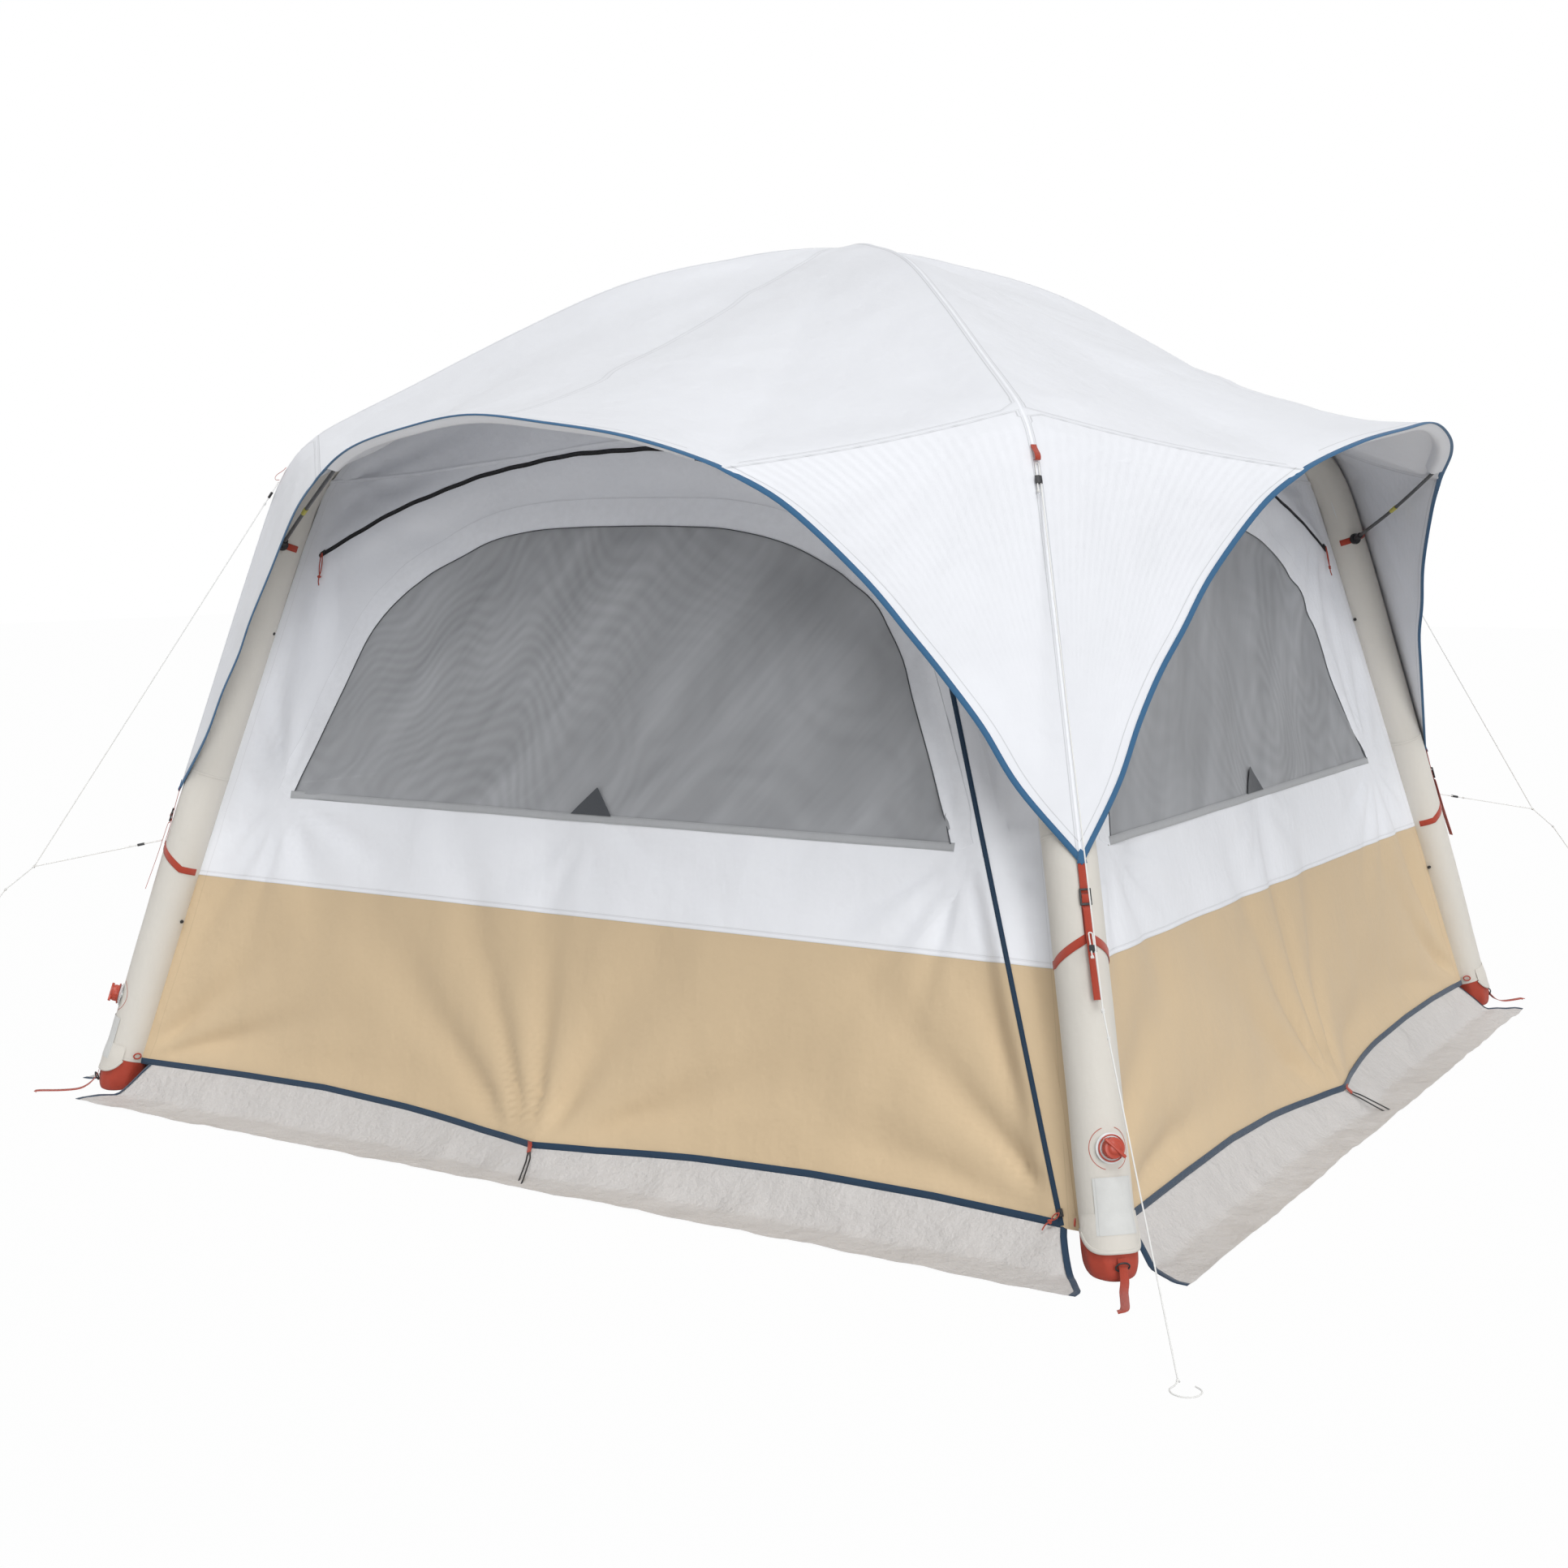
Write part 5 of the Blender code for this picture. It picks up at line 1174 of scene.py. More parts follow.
def build_sleeves():
    """Cloth sleeves of both air tubes, with a seam ring, a hem and, beside a valve, a patch on each leg."""
    for name, turn, upper in (("front_back", CORNER_TURNS[0], True), ("left_right", CORNER_TURNS[1], False)):
        points, away, along, angle = tube_points(turn, upper, TUBE_RADIUS, SLEEVE_SIDES)
        points = points + unit(away) * (rough(points, 9.0, 1)[..., None] * SLEEVE_RIPPLE)
        maps = [("cloth", pairs(along, np.r_[angle, 2 * math.pi] * TUBE_RADIUS))]
        sleeve = grid_piece("sleeve_cloth_" + name, points, "sleeve", maps, True, False, None, away)
        dress(sleeve, "sleeve_cloth", "sleeve_" + name)
    for c, side in enumerate(SIDES):
        line, out = leg_points(SEAM_RING, circle(SLEEVE_SIDES), 0.0, c)
        dress(tape("sleeve_seam_" + side, line, out, SEAM_TAPE, "cream_tape", -0.0002, True), "sleeve_cloth")
        share, turns = np.meshgrid(np.linspace(0, 1, 12), np.linspace(-FLAP_HALF, FLAP_HALF, 41), indexing="ij")
        foot = FLAP_FOOT + FLAP_RISE * (np.abs(turns) / FLAP_HALF) ** 4
        levels = FLAP_TOP + (foot - FLAP_TOP) * share
        leg_cloth("sleeve_hem_" + side, levels, turns, flap_lift(levels), "sleeve", FLAP_THICK, c)
        line, out = leg_points(levels[-1] + 0.004, turns[-1], flap_lift(levels[-1]), c)
        dress(tape("sleeve_hem_tape_" + side, line, out, FLAP_TAPE, "cream_tape", 0.0004), "sleeve_cloth")
        if side in VALVE_SIDES:
            levels, turns = np.meshgrid(np.linspace(*PATCH_LEVELS, 12), np.linspace(-PATCH_HALF, PATCH_HALF, 17),
                                        indexing="ij")
            leg_cloth("leg_patch_" + side, levels, turns, flap_lift(levels) + FLAP_THICK, "patch", PATCH_THICK, c,
                      sum(PATCH_LEVELS) / 2)


def build_feet():
    """Red foot cups with their rings and webbing tails."""
    stations = np.linspace(0, len(CUP_RINGS) - 1, 22)
    side_place, level, radius = catmull(CUP_RINGS, stations).T[..., None]
    _, _, nr, nz = leg_at(CUP_RINGS[2][1])
    tilt = math.atan2(nz, nr) * np.interp(stations, range(len(CUP_RINGS)), CUP_TILT_SHARES)[:, None]
    angle = circle(SLEEVE_SIDES)[None, :]
    free = ease(level, 0.0, 0.02) * ease(-level, -0.09, -0.05)
    front = CUP_RINGS[2][0] * ROOT_TWO + CUP_RINGS[2][2]
    spin = circle(32)
    for c, side in enumerate(SIDES):
        ripple = CUP_RIPPLE * np.sin(angle * 9 + c) * free
        off = (radius + ripple) * np.cos(angle)
        points = corner_points(side_place * ROOT_TWO + off * np.cos(tilt), (radius + ripple) * np.sin(angle),
                               level + off * np.sin(tilt), c)
        points[..., 2] = np.maximum(points[..., 2], CUP_FLOOR)
        middle = corner_points(side_place[0, 0] * ROOT_TWO, 0.0, CUP_FLOOR, c)
        points = np.vstack([middle + (points[:1] - middle) * 0.02, points])
        centre = corner_points(side_place[3, 0] * ROOT_TWO, 0.0, 0.04, c)
        steps = np.r_[0.0, 0.01 + level[:, 0]]
        maps = [("cloth", pairs(steps, np.r_[angle[0], 2 * math.pi] * TUBE_RADIUS)[..., ::-1])]
        cup = grid_piece("foot_cloth_" + side, points, "cup", maps, True, False, None, points - centre)
        dress(cup, "red_plastic", "foot_cup_" + side)
        line, out = leg_points(FOOT_SEAM_LEVEL, angle[0], FLAP_LIFT, c)
        dress(tape("foot_seam_" + side, line, out, FOOT_TAPE, "cream_tape", 0.0, True), "sleeve_cloth")
        wide, tall = FOOT_RING
        ring = corner_points(front + 0.0055 + 0.004 * np.sin(spin), wide * np.cos(spin),
                             FOOT_RING_LEVEL - 0.004 + tall * np.sin(spin), c)
        dress(string("foot_ring_" + side, ring, FOOT_RING_RADIUS, "black", True), "black_plastic")
        build_foot_tail(c, side, front)


def build_foot_tail(c, side, front):
    """Webbing tail that runs from the ring of foot c out over the ground."""
    reach, sway = FOOT_TAILS[c]
    path = [(out, 0.0, level) for out, level in FOOT_TAIL_START]
    path += [(0.030, sway * 0.08, 0.014), (0.055, sway * 0.25, 0.0042), (reach * 0.45, sway * 0.45, 0.0030),
             (reach * 0.72, sway * 0.78, 0.0065), (reach - 0.055, sway, 0.0030)]
    line = smooth(path, 40)
    line = corner_points(front + line[:, 0], line[:, 1], line[:, 2], c)
    way = tangents(line)
    across = unit(np.cross(np.array([0.0, 0.0, 1.0]), way) + corner_points(0.0, 0.0001, 0.0, c))
    section = flat_section(sizes().webbing, STRAP_THICK, -STRAP_THICK / 2)
    strap = sweep("foot_tail_" + side, line, across, unit(np.cross(way, across)), section, "webbing", False, False)
    dress(strap, "red_webbing")


# Fly
RIDGE_OFF = TUBE_RADIUS + FLY_LIFT


def rim_at(place):
    """Free edge of the fly (out, height) at a place along the side."""
    fine = catmull(RIM, np.linspace(1, len(RIM) - 1, 400))
    return np.interp(place, fine[:, 0], fine[:, 1]), np.interp(place, fine[:, 0], fine[:, 2])


def ridge_line(count):
    """Seam over the tube from the crossing to the shoulder as (side of the square, height)."""
    line, _, normal = arch_line()
    raised = line + normal * RIDGE_OFF
    here = raised[line[:, 0] >= 0]
    shoulder = catmull(AXIS, SHOULDER_STATION) * (ROOT_TWO, 1.0)
    stop = np.argmin(np.hypot(*(line[line[:, 0] >= 0] - shoulder).T))
    return even(here[:stop + 1] / (ROOT_TWO, 1.0), count)


def corner_line(count):
    """Seam from the shoulder down to the tip as (side of the square, height)."""
    points = [tuple(ridge_line(60)[-1])]
    for level in [catmull(AXIS, station)[1] for station in SEAM_STATION_SHARES[1:]] + [TIP_LEVEL]:
        rho, z, nr, nz = leg_at(level)
        points.append(((rho + RIDGE_OFF * nr) / ROOT_TWO, z + RIDGE_OFF * nz))
    return smooth(points, count)


def gore_half():
    """Right half of the roof gore as a grid of (along, out, height), crossing to edge, ridge to middle."""
    ridge = ridge_line(GORE_ROWS)
    shoulder = ridge[-1]
    kink = 1 - KINK_PLACE / shoulder[0]
    a = np.r_[np.linspace(0, kink, EAVE_COLUMNS), np.linspace(kink, 1, MIDDLE_COLUMNS)[1:]]
    centre = smooth(FLY_CENTRE, GORE_ROWS)
    b = np.linspace(0, 1, GORE_ROWS)[:, None]
    place = (1 - a) * shoulder[0]
    out, height = rim_at(place)
    kink_out, kink_height = rim_at(KINK_PLACE)
    t = np.clip(a / kink, 0, 1)
    out = np.where(a < kink, shoulder[0] + (kink_out - shoulder[0]) * t, out)
    sag = EAVE_SAG * np.sin(math.pi * t)
    height = np.where(a < kink, shoulder[1] + (kink_height - shoulder[1]) * t - sag, height)
    blend = b ** GORE_BULGE_SHARE
    grid = []
    ends = ((ridge[:, 0], 0.0, place, shoulder[0], 0.0),
            (ridge[:, 0], centre[:, 0], out, shoulder[0], FLY_CENTRE[-1][0]),
            (ridge[:, 1], centre[:, 1], height, shoulder[1], FLY_CENTRE[-1][1]))
    for side, middle, edge, corner, end in ends:
        side, middle = np.reshape(side, (-1, 1)), np.reshape(middle * np.ones(GORE_ROWS), (-1, 1))
        grid.append((1 - a) * side + a * middle + blend * (edge - (1 - a) * corner - a * end))
    return np.stack(grid, axis=-1), a, b


def corner_half():
    """Triangle between the corner seam and the free edge, shoulder to tip, seam to edge."""
    seam = corner_line(CORNER_ROWS)
    tip = np.array([[seam[-1, 0], seam[-1, 0], seam[-1, 1]]])
    start = np.argmin(np.abs(RIM[:, 0] - KINK_PLACE))
    edge = smooth(np.vstack([RIM[start:], tip]), CORNER_ROWS)
    t = np.r_[np.linspace(0, 1, EAVE_COLUMNS)][None, :, None]
    inner = np.stack([seam[:, 0], seam[:, 0], seam[:, 1]], axis=1)[:, None]
    grid = inner + (edge[:, None] - inner) * t
    down = np.linspace(0, 1, CORNER_ROWS)[:, None]
    grid[..., 2] -= EAVE_SAG * np.sin(math.pi * t[..., 0]) * (1 - down) ** 2
    belly = np.sin(math.pi * t[..., 0]) * np.sin(math.pi * np.clip(down * 1.15, 0, 1)) * CORNER_BELLY
    grid[..., 1] -= belly * 0.6
    grid[..., 0] += belly * 0.2
    return grid


def fly_ripple(world, hold):
    """Depth of the soft creases of the fly at its points, held at the seams."""
    big = rough(world * (1.0, 1.0, 0.7), 3.2, 3)
    small = rough(world * (1.0, 1.0, 0.6), 9.0, 5) * 0.35
    return (big + small) * sizes().fly_fold * hold


def shoulder_folds(points, shoulder):
    """Creases that radiate from the shoulder of the tube, deepest a hand away from it."""
    away = points - shoulder
    distance = np.linalg.norm(away, axis=-1)
    angle = np.arctan2(away[..., 2], away[..., 0])
    reach = ease(distance, 0.02, 0.14) * np.exp(-(distance / 0.45) ** 2)
    return SHOULDER_FOLD * reach * np.sin(angle * 17 + 1.5 * np.sin(angle * 3))


def surface_normals(points):
    """Unit normals of a grid of points."""
    return unit(np.cross(np.gradient(points, axis=0), np.gradient(points, axis=1)))


def fly_grids(k):
    """World grids of the fly of side k with their seam maps: left and right gores and corners."""
    gore, a, b = gore_half()
    corner = corner_half()
    shoulder = np.array(gore[-1, 0])
    half = gore[:, :1, 0]
    across = np.minimum(a, 1 - a)[None] * np.maximum(half, 0.02)
    steps = lengths(gore[:, -1])[:, None]
    to_eave = np.where(a < 1 - KINK_PLACE / shoulder[0], (1 - b) * lengths(gore[:, 0])[-1], 1.0)
    seam = np.minimum(across, to_eave)
    rim = (steps[-1] - steps) * np.ones_like(a)
    hold = ease(across, 0.0, 0.10) * ease(steps[-1] - steps, 0.0, 0.12) * np.ones_like(a)
    grids = [(gore, seam, rim + np.where(a < 0.5, 0.4, 0.0), hold)]
    width = np.linalg.norm(corner[:, -1] - corner[:, 0], axis=-1)[:, None]
    t = np.linspace(0, 1, EAVE_COLUMNS)[None]
    down = lengths(corner[:, 0])[:, None]
    seam = np.minimum(t * width, down * np.ones_like(t))
    tip = ease(np.linspace(1, 0, CORNER_ROWS), 0.0, 0.25)[:, None]
    hold = ease(t * width, 0.0, 0.08) * ease((1 - t) * width, 0.0, 0.08) * tip * ease(down, 0.0, 0.08)
    grids.append((corner, seam, (1 - t) * width, hold))
    made = []
    for points, seam, rim, hold in grids:
        normal = surface_normals(points)
        lift = shoulder_folds(points, shoulder) * hold
        for way in (1, -1):
            world = on_side(points * (way, 1, 1), k)
            facing = facing_out(on_side(normal * (way, 1, 1), k), world)
            ripple = fly_ripple(world, hold) + lift
            made.append((world + facing * ripple[..., None], seam, rim))
    return made


def build_fly():
    """Four fly panels with blue bindings and seams."""
    for k, side in enumerate(SIDES):
        parts = []
        for n, (points, seam, rim) in enumerate(fly_grids(k)):
            size = np.broadcast_arrays(lengths(points[:, -1])[:, None], lengths(points[-2]))
            maps = [("cloth", np.stack(size, axis=-1)), ("seam", np.stack([seam, rim], axis=-1))]
            parts.append(grid_piece(f"fly_part_{n}", points, "fly", maps))
        fly = joined("fly_cloth_" + side, parts)
        weld(fly.data, 0.0004)
        turn_up(fly.data)
        sharpen(fly.data, 70)
        dress(thicken(fly, sizes().cloth), "fly_cloth", "fly_" + side)
        build_rim(k, side)


def settled(rows, reach):
    """Running mean of rows over so many neighbours each way."""
    padded = np.vstack([rows[:1]] * reach + [rows] + [rows[-1:]] * reach)
    return np.mean([padded[n:n + len(rows)] for n in range(2 * reach + 1)], axis=0)


def build_rim(k, side):
    """Blue binding folded over the free edge of a fly panel."""
    gore, _, _ = gore_half()
    corner = corner_half()
    edge = np.vstack([gore[-1, :EAVE_COLUMNS - 2:-1], corner[1:, -1]])
    inner = np.vstack([gore[-2, :EAVE_COLUMNS - 2:-1], corner[1:, -2]])
    inward = unit(inner - edge)
    inward[-RIM_END_ROWS:] = inward[-RIM_END_ROWS - 1]
    inward = unit(settled(inward, RIM_SETTLE))
    line = np.vstack([edge[:0:-1] * (-1, 1, 1), edge])
    inward = np.vstack([inward[:0:-1] * (-1, 1, 1), inward])
    line, inward = (on_side(p, k) for p in (line, inward))
    way = tangents(line)
    inward = unit(inward - way * (inward * way).sum(-1, keepdims=True))
    up = facing_out(np.cross(way, inward), line)
    w, t, cloth = sizes().rim_binding, RIM_THICK, sizes().cloth
    section = ((w, cloth + t * 0.4), (w, cloth + t), (w * 0.5, cloth + t * 1.3), (0.0, cloth + t),
               (-t * 1.1, cloth / 2), (0.0, -t), (w * 0.5, -t * 1.2), (w, -t), (w, -t * 0.3), (w * 0.3, 0.0))
    dress(sweep("rim_binding_" + side, line, inward, up, section, "rim", False, False), "fly_cloth")


def build_corner_seams():
    """Narrow tape down each ridge and corner seam of the fly."""
    gore, _, _ = gore_half()
    corner = corner_half()
    spine, beside = np.vstack([gore[2:, :2], corner[1:-1, :2]]).transpose(1, 0, 2)
    for c, side in enumerate(SIDES):
        line = on_side(spine, c)
        way = tangents(line)
        arms = [unit(on_side(beside * (hand, 1, 1), k) - line) for hand, k in ((1, c), (-1, c + 1))]
        up = facing_out(unit(np.cross(way, arms[0]) - np.cross(way, arms[1])), line)
        w = SEAM_TAPE_HALF
        under_tab = np.abs(line[:, 2:] - GUY_TAB_LEVEL) < SEAM_TAB_REACH
        lift = sizes().cloth / 2 + SEAM_TAPE_LIFT - SEAM_DIVE * under_tab
        columns = [line + up * lift + arms[side_of] * off
                   for side_of, off in ((0, w), (0, w / 2), (0, 0.0), (1, w / 2), (1, w))]
        maps = [("cloth", pairs(lengths(line), (-w, -w / 2, 0.0, w / 2, w)))]
        made = grid_piece("fly_seam_" + side, np.stack(columns, axis=1), "white_tape", maps)
        dress(thicken(made, SEAM_TAPE_THICK), "fly_cloth")


# Walls
def edge_at(z):
    """Half width of a wall at a height."""
    return np.interp(z, WALL_EDGE[:, 1], WALL_EDGE[:, 0])


def zip_at(z):
    """Place of the door zip along the front wall at a height."""
    share = (np.asarray(z, float) - DOOR_ZIP_FOOT[1]) / (DOOR_ZIP_HEAD[1] - DOOR_ZIP_FOOT[1])
    return DOOR_ZIP_FOOT[0] + (DOOR_ZIP_HEAD[0] - DOOR_ZIP_FOOT[0]) * share


def crease_at(z):
    """Place of the crease of the door corner at a height."""
    share = (np.asarray(z, float) - HEM) / (DOOR_CORNER_TOP - HEM)
    return DOOR_CREASE_FOOT + (zip_at(DOOR_CORNER_TOP) - DOOR_CREASE_FOOT) * share


def arc_height(x):
    """Height of the arched zip on its wall."""
    return (ZIP_ARC_CENTRE + np.sqrt(ZIP_ARC_RADIUS ** 2 - np.asarray(x, float) ** 2)) / SLANT


def wall_folds(x, z, k):
    """Depth of the soft folds of wall k, from taut cloth inward."""
    total = np.zeros(np.shape(x))
    for px, pz, reach, count, depth in FOLD_CENTRES:
        distance = np.hypot(x - px, z - pz)
        angle = np.arctan2(z - pz, x - px)
        rise = ease(distance, 0.0, 0.16) * np.exp(-(distance / reach) ** 2)
        sway = np.sin(angle * count + 1.7 * np.sin(angle * 3 + k) + k * 1.3 + 2 * distance)
        total = total + depth * rise * (0.5 + 0.5 * sway) ** FOLD_SHARPNESS
    flow = np.stack(np.broadcast_arrays(x * 1.1, k * 3.0, z * 0.75), axis=-1)
    total = total + 0.42 * (rough(flow, 2.6, 11) + 0.6) + 0.18 * (rough(flow, 6.5, 12) + 0.5)
    side = ease(edge_at(z) - np.abs(x), 0.0, 0.10)
    arc = ease(np.abs(z - arc_height(np.clip(x, -1.05, 1.05))), 0.015, 0.10)
    hem = ease(z, HEM - 0.02, HEM + 0.10)
    door = ease(np.abs(x - zip_at(z)), 0.012, 0.07) if k == 0 else 1.0
    return -sizes().fold * np.clip(total, 0.0, None) * side * arc * hem * door


def wall_points(x, z, lift, k):
    """World points on wall k, raised outward off its cloth."""
    x, z = np.broadcast_arrays(np.asarray(x, float), np.asarray(z, float))
    raised = lift + wall_folds(x, z, k)
    across = np.clip(1 - np.abs(x) / PEG_PULL_HALF, 0, 1)
    up = np.clip(1 - (z - HEM) / PEG_PULL_HEIGHT, 0, 1)
    pull = PEG_PULL * across ** 2 * up ** 2
    sway = np.interp(x, HEM_LINE[:, 0], HEM_LINE[:, 1]) - HEM
    lower = np.clip(1 - (z - HEM) / HEM_SWAY, 0, 1) ** 2
    out = WALL_FOOT - WALL_SLOPE_SHARE * z + raised / SLANT + pull
    return side_points(x, out, z + raised * WALL_SLOPE_SHARE / SLANT + sway * lower, k)


def wall_normal(k):
    """Outward direction of the plane of wall k."""
    return side_points(0.0, 1 / SLANT, WALL_SLOPE_SHARE / SLANT, k)


def gable_at(x):
    """Height of the top edge of a wall at a place along it."""
    return np.interp(np.abs(x), GABLE[::-1, 0], GABLE[::-1, 1]) - GABLE_DROP


def window_loop(count):
    """Arched part of the window edge, right corner over the top to the left, with outward normals."""
    half = smooth(WINDOW, count)
    line = np.vstack([half, half[-2::-1] * (-1, 1)])
    way = unit(np.gradient(line, axis=0))
    return line, np.stack([way[:, 1], -way[:, 0]], axis=1)


def inside_window(x, z, margin):
    """True for places inside the window outline grown by a margin."""
    half = smooth(WINDOW, 80)
    width = np.interp(z, half[:, 1], half[:, 0], right=-9.0)
    top = np.interp(np.abs(x), half[::-1, 0], half[::-1, 1], right=-9.0)
    return (z > WINDOW[0][1] - margin * 0.4) & (z < np.maximum(top, 0) + margin) & (np.abs(x) < width + margin)


def wall_grids(k):
    """Grids of (along, height) of a wall; the front one leaves the door corner out."""
    edge = edge_at(LOW_ROWS)[:, None]
    z = LOW_ROWS[:, None]
    if k == 0:
        t = np.linspace(0, 1, 110)[None]
        left = -edge + (crease_at(z) + edge) * t
        right = zip_at(z) + (edge - zip_at(z)) * np.linspace(0, 1, 7)[None]
        lower = [left, right]
        shares = np.r_[left[-1], right[-1, 1:]] / edge[-1]
    else:
        shares = np.linspace(-1, 1, 131)
        lower = [edge * shares]
    grids = [(x, z * np.ones_like(x)) for x in lower]
    x = edge_at(HIGH_ROWS)[:, None] * shares
    grids.append((x, HIGH_ROWS[:, None] * np.ones_like(x)))
    t = np.linspace(0, 1, TOP_ROWS)[:, None]
    top_x = shares * GABLE[0][0]
    low_x = edge_at(ROW_TOP) * shares
    x = low_x + (top_x - low_x) * t
    grids.append((x, ROW_TOP + (gable_at(top_x) - ROW_TOP) * t))
    return grids


def wall_sheet(name, grids, k, margin):
    """One cloth piece over grids of (along, height), with the window left out."""
    parts = []
    for n, (x, z) in enumerate(grids):
        share = x / edge_at(np.minimum(z, ROW_TOP))
        maps = [("cloth", np.stack([x, z], axis=-1)), ("share", np.stack([share, z], axis=-1))]
        keep = ~inside_window(x, z, margin) if margin else None
        parts.append(grid_piece(f"{name}_part_{n}", wall_points(x, z, 0.0, k), "wall", maps, keep=keep))
    piece = joined(name, parts)
    weld(piece.data, 0.00005)
    return thicken(piece, sizes().cloth)


def on_wall_tape(name, x, z, k, size, finish, lift=0.0006):
    """Tape laid on a wall through places (along, height)."""
    return tape(name, wall_points(x, z, lift, k), wall_normal(k), size, finish)


def strip_on_wall(name, rows, k, finish, thick, lift):
    """Flat band on a wall between rows of (along, height), with its map across and along."""
    grid = np.stack(rows)
    points = wall_points(grid[..., 0], grid[..., 1], lift, k)
    along = lengths(grid[len(rows) // 2])
    wide = np.linalg.norm(rows[-1][0] - rows[0][0])
    across = np.linspace(-wide / 2, wide / 2, len(rows))
    maps = [("cloth", pairs(across, along)[..., ::-1])]
    return thicken(grid_piece(name, points, finish, maps), thick)


def hem_folded(name, x, k):
    """Navy binding round the hem of a wall."""
    line = wall_points(x, np.full(len(x), HEM), 0.0, k)
    way = tangents(line)
    up = np.broadcast_to(wall_normal(k), line.shape)
    across = unit(np.cross(up, way))
    across = across * np.where(across[:, 2:] > 0, 1.0, -1.0)
    w, t = sizes().hem_binding, HEM_THICK
    section = ((w, t * 0.5), (w, t), (w * 0.5, t * 1.25), (0.0, t * 1.1), (-t, 0.0), (0.0, -t), (w, -t),
               (w, -t * 0.4))
    return sweep(name, line, across, up, section, "hem", False, False)


def build_walls():
    """Walls with bindings and seams."""
    for k, side in enumerate(SIDES):
        wall = wall_sheet("wall_cloth_" + side, wall_grids(k), k, WINDOW_MARGIN)
        dress(wall, "wall_cloth", "wall_" + side)
        places = np.linspace(-HEM_HALF, HEM_HALF if k else DOOR_CREASE_FOOT, 120)
        dress(hem_folded("hem_" + side, places, k), "wall_cloth")
        eave = smooth(np.vstack([EAVE_SEAM, EAVE_SEAM[-2::-1] * (-1, 1)]), 90)
        dress(on_wall_tape("eave_seam_" + side, eave[:, 0], eave[:, 1], k, SEAM_TAPE, "white_tape"), "wall_cloth")
    levels = np.linspace(HEM + 0.03, SIDE_SEAM[0][-1], 70)
    middle = edge_at(levels) - np.interp(levels, *SIDE_SEAM)
    grid = np.stack([np.stack([middle + off, levels], axis=1) for off in SIDE_SEAM_OFFSETS])
    points = wall_points(grid[..., 0], grid[..., 1], SIDE_SEAM_LIFT, 0)
    seam = grid_piece("side_seam_front", points, "wall", [("cloth", grid), ("share", grid * 0.5)])
    dress(thicken(seam, SIDE_SEAM_THICK), "wall_cloth")


def build_door_corner():
    """Corner of the door up to its crease, with its hem and zip flap."""
    z = LOW_ROWS[:, None]
    x = crease_at(z) + (zip_at(z) - crease_at(z)) * np.linspace(0, 1, 34)
    cloth = wall_sheet("door_cloth", [(x, z * np.ones_like(x))], 0, 0.0)
    hem = hem_folded("door_hem", np.linspace(DOOR_CREASE_FOOT, DOOR_ZIP_FOOT[0] - DOOR_ZIP_START, 40), 0)
    levels = np.linspace(HEM + DOOR_ZIP_START, DOOR_CORNER_TOP - DOOR_ZIP_OVERLAP, 40)
    flap = zip_half("door_flap", levels, -1)
    middle = np.array([crease_at(DOOR_BEND_LEVEL), DOOR_BEND_LEVEL])
    slope = np.array([zip_at(DOOR_CORNER_TOP) - DOOR_CREASE_FOOT, DOOR_CORNER_TOP - HEM])
    aside = unit(np.array([slope[1], -slope[0]]))
    start, end = (wall_points(*spot, 0.0, 0) for spot in (middle, middle + aside * DOOR_BEND))
    for piece in (cloth, hem, flap):
        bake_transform(piece)
    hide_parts("door_corner")


def zip_half(name, levels, way):
    """One half of the navy door zip: tape and coil beside the zip line."""
    section = np.array(DOOR_ZIP_HALF) * (way, 1)
    line = wall_points(zip_at(levels), levels, DOOR_ZIP_LIFT, 0)
    normal = np.broadcast_to(wall_normal(0), line.shape)
    across = unit(np.cross(tangents(line), normal))
    across = across * np.where(across[:, :1] > 0, 1.0, -1.0)
    return sweep(name, line, across, normal, section, "hem", False, False)


def build_zips():
    """Arched zips of all walls and the straight door zip."""
    w = sizes().zip_width / 2
    section = ((-w, 0.0), (0.0, 0.0), (w, 0.0), (w, ZIP_TAPE_THICK), *ZIP_COIL, (-w, ZIP_TAPE_THICK))
    x = np.linspace(-ZIP_HALF, ZIP_HALF, 140)
    for k, side in enumerate(SIDES):
        z = arc_height(x) + 0.0012 * np.sin(x * 23 + k) + 0.0008 * np.sin(x * 61)
        line = wall_points(x, z, ZIP_LIFT, k)
        normal = np.broadcast_to(wall_normal(k), line.shape)
        across = unit(np.cross(normal, tangents(line)))
        arch = sweep("arched_zip_" + side, line, across, normal, section, "zip", False, False)
        dress(arch, "zip_tape", "arch_zip_" + side)
    low = np.linspace(HEM + DOOR_ZIP_START, DOOR_CORNER_TOP, 50)
    high = np.linspace(DOOR_CORNER_TOP - DOOR_ZIP_OVERLAP, DOOR_ZIP_HEAD[1], 60)
    dress(zip_half("door_zip_fixed", np.r_[low, high[2:]], 1), "wall_cloth")
    dress(zip_half("door_zip_upper", high, -1), "wall_cloth")


def slider_frame(spot, along, k):
    """Frame of a zip slider at a place (along, height) of wall k: Y along the zip, Z outward."""
    origin, ahead = (wall_points(spot[0] + along[0] * step, spot[1] + along[1] * step, SLIDER_LIFT, k)
                     for step in (0.0, 0.02))
    normal = wall_normal(k)
    y_axis = unit(ahead - origin)
    y_axis = unit(y_axis - normal * y_axis.dot(normal))
    return frame_at(origin, np.cross(y_axis, normal), y_axis, normal)


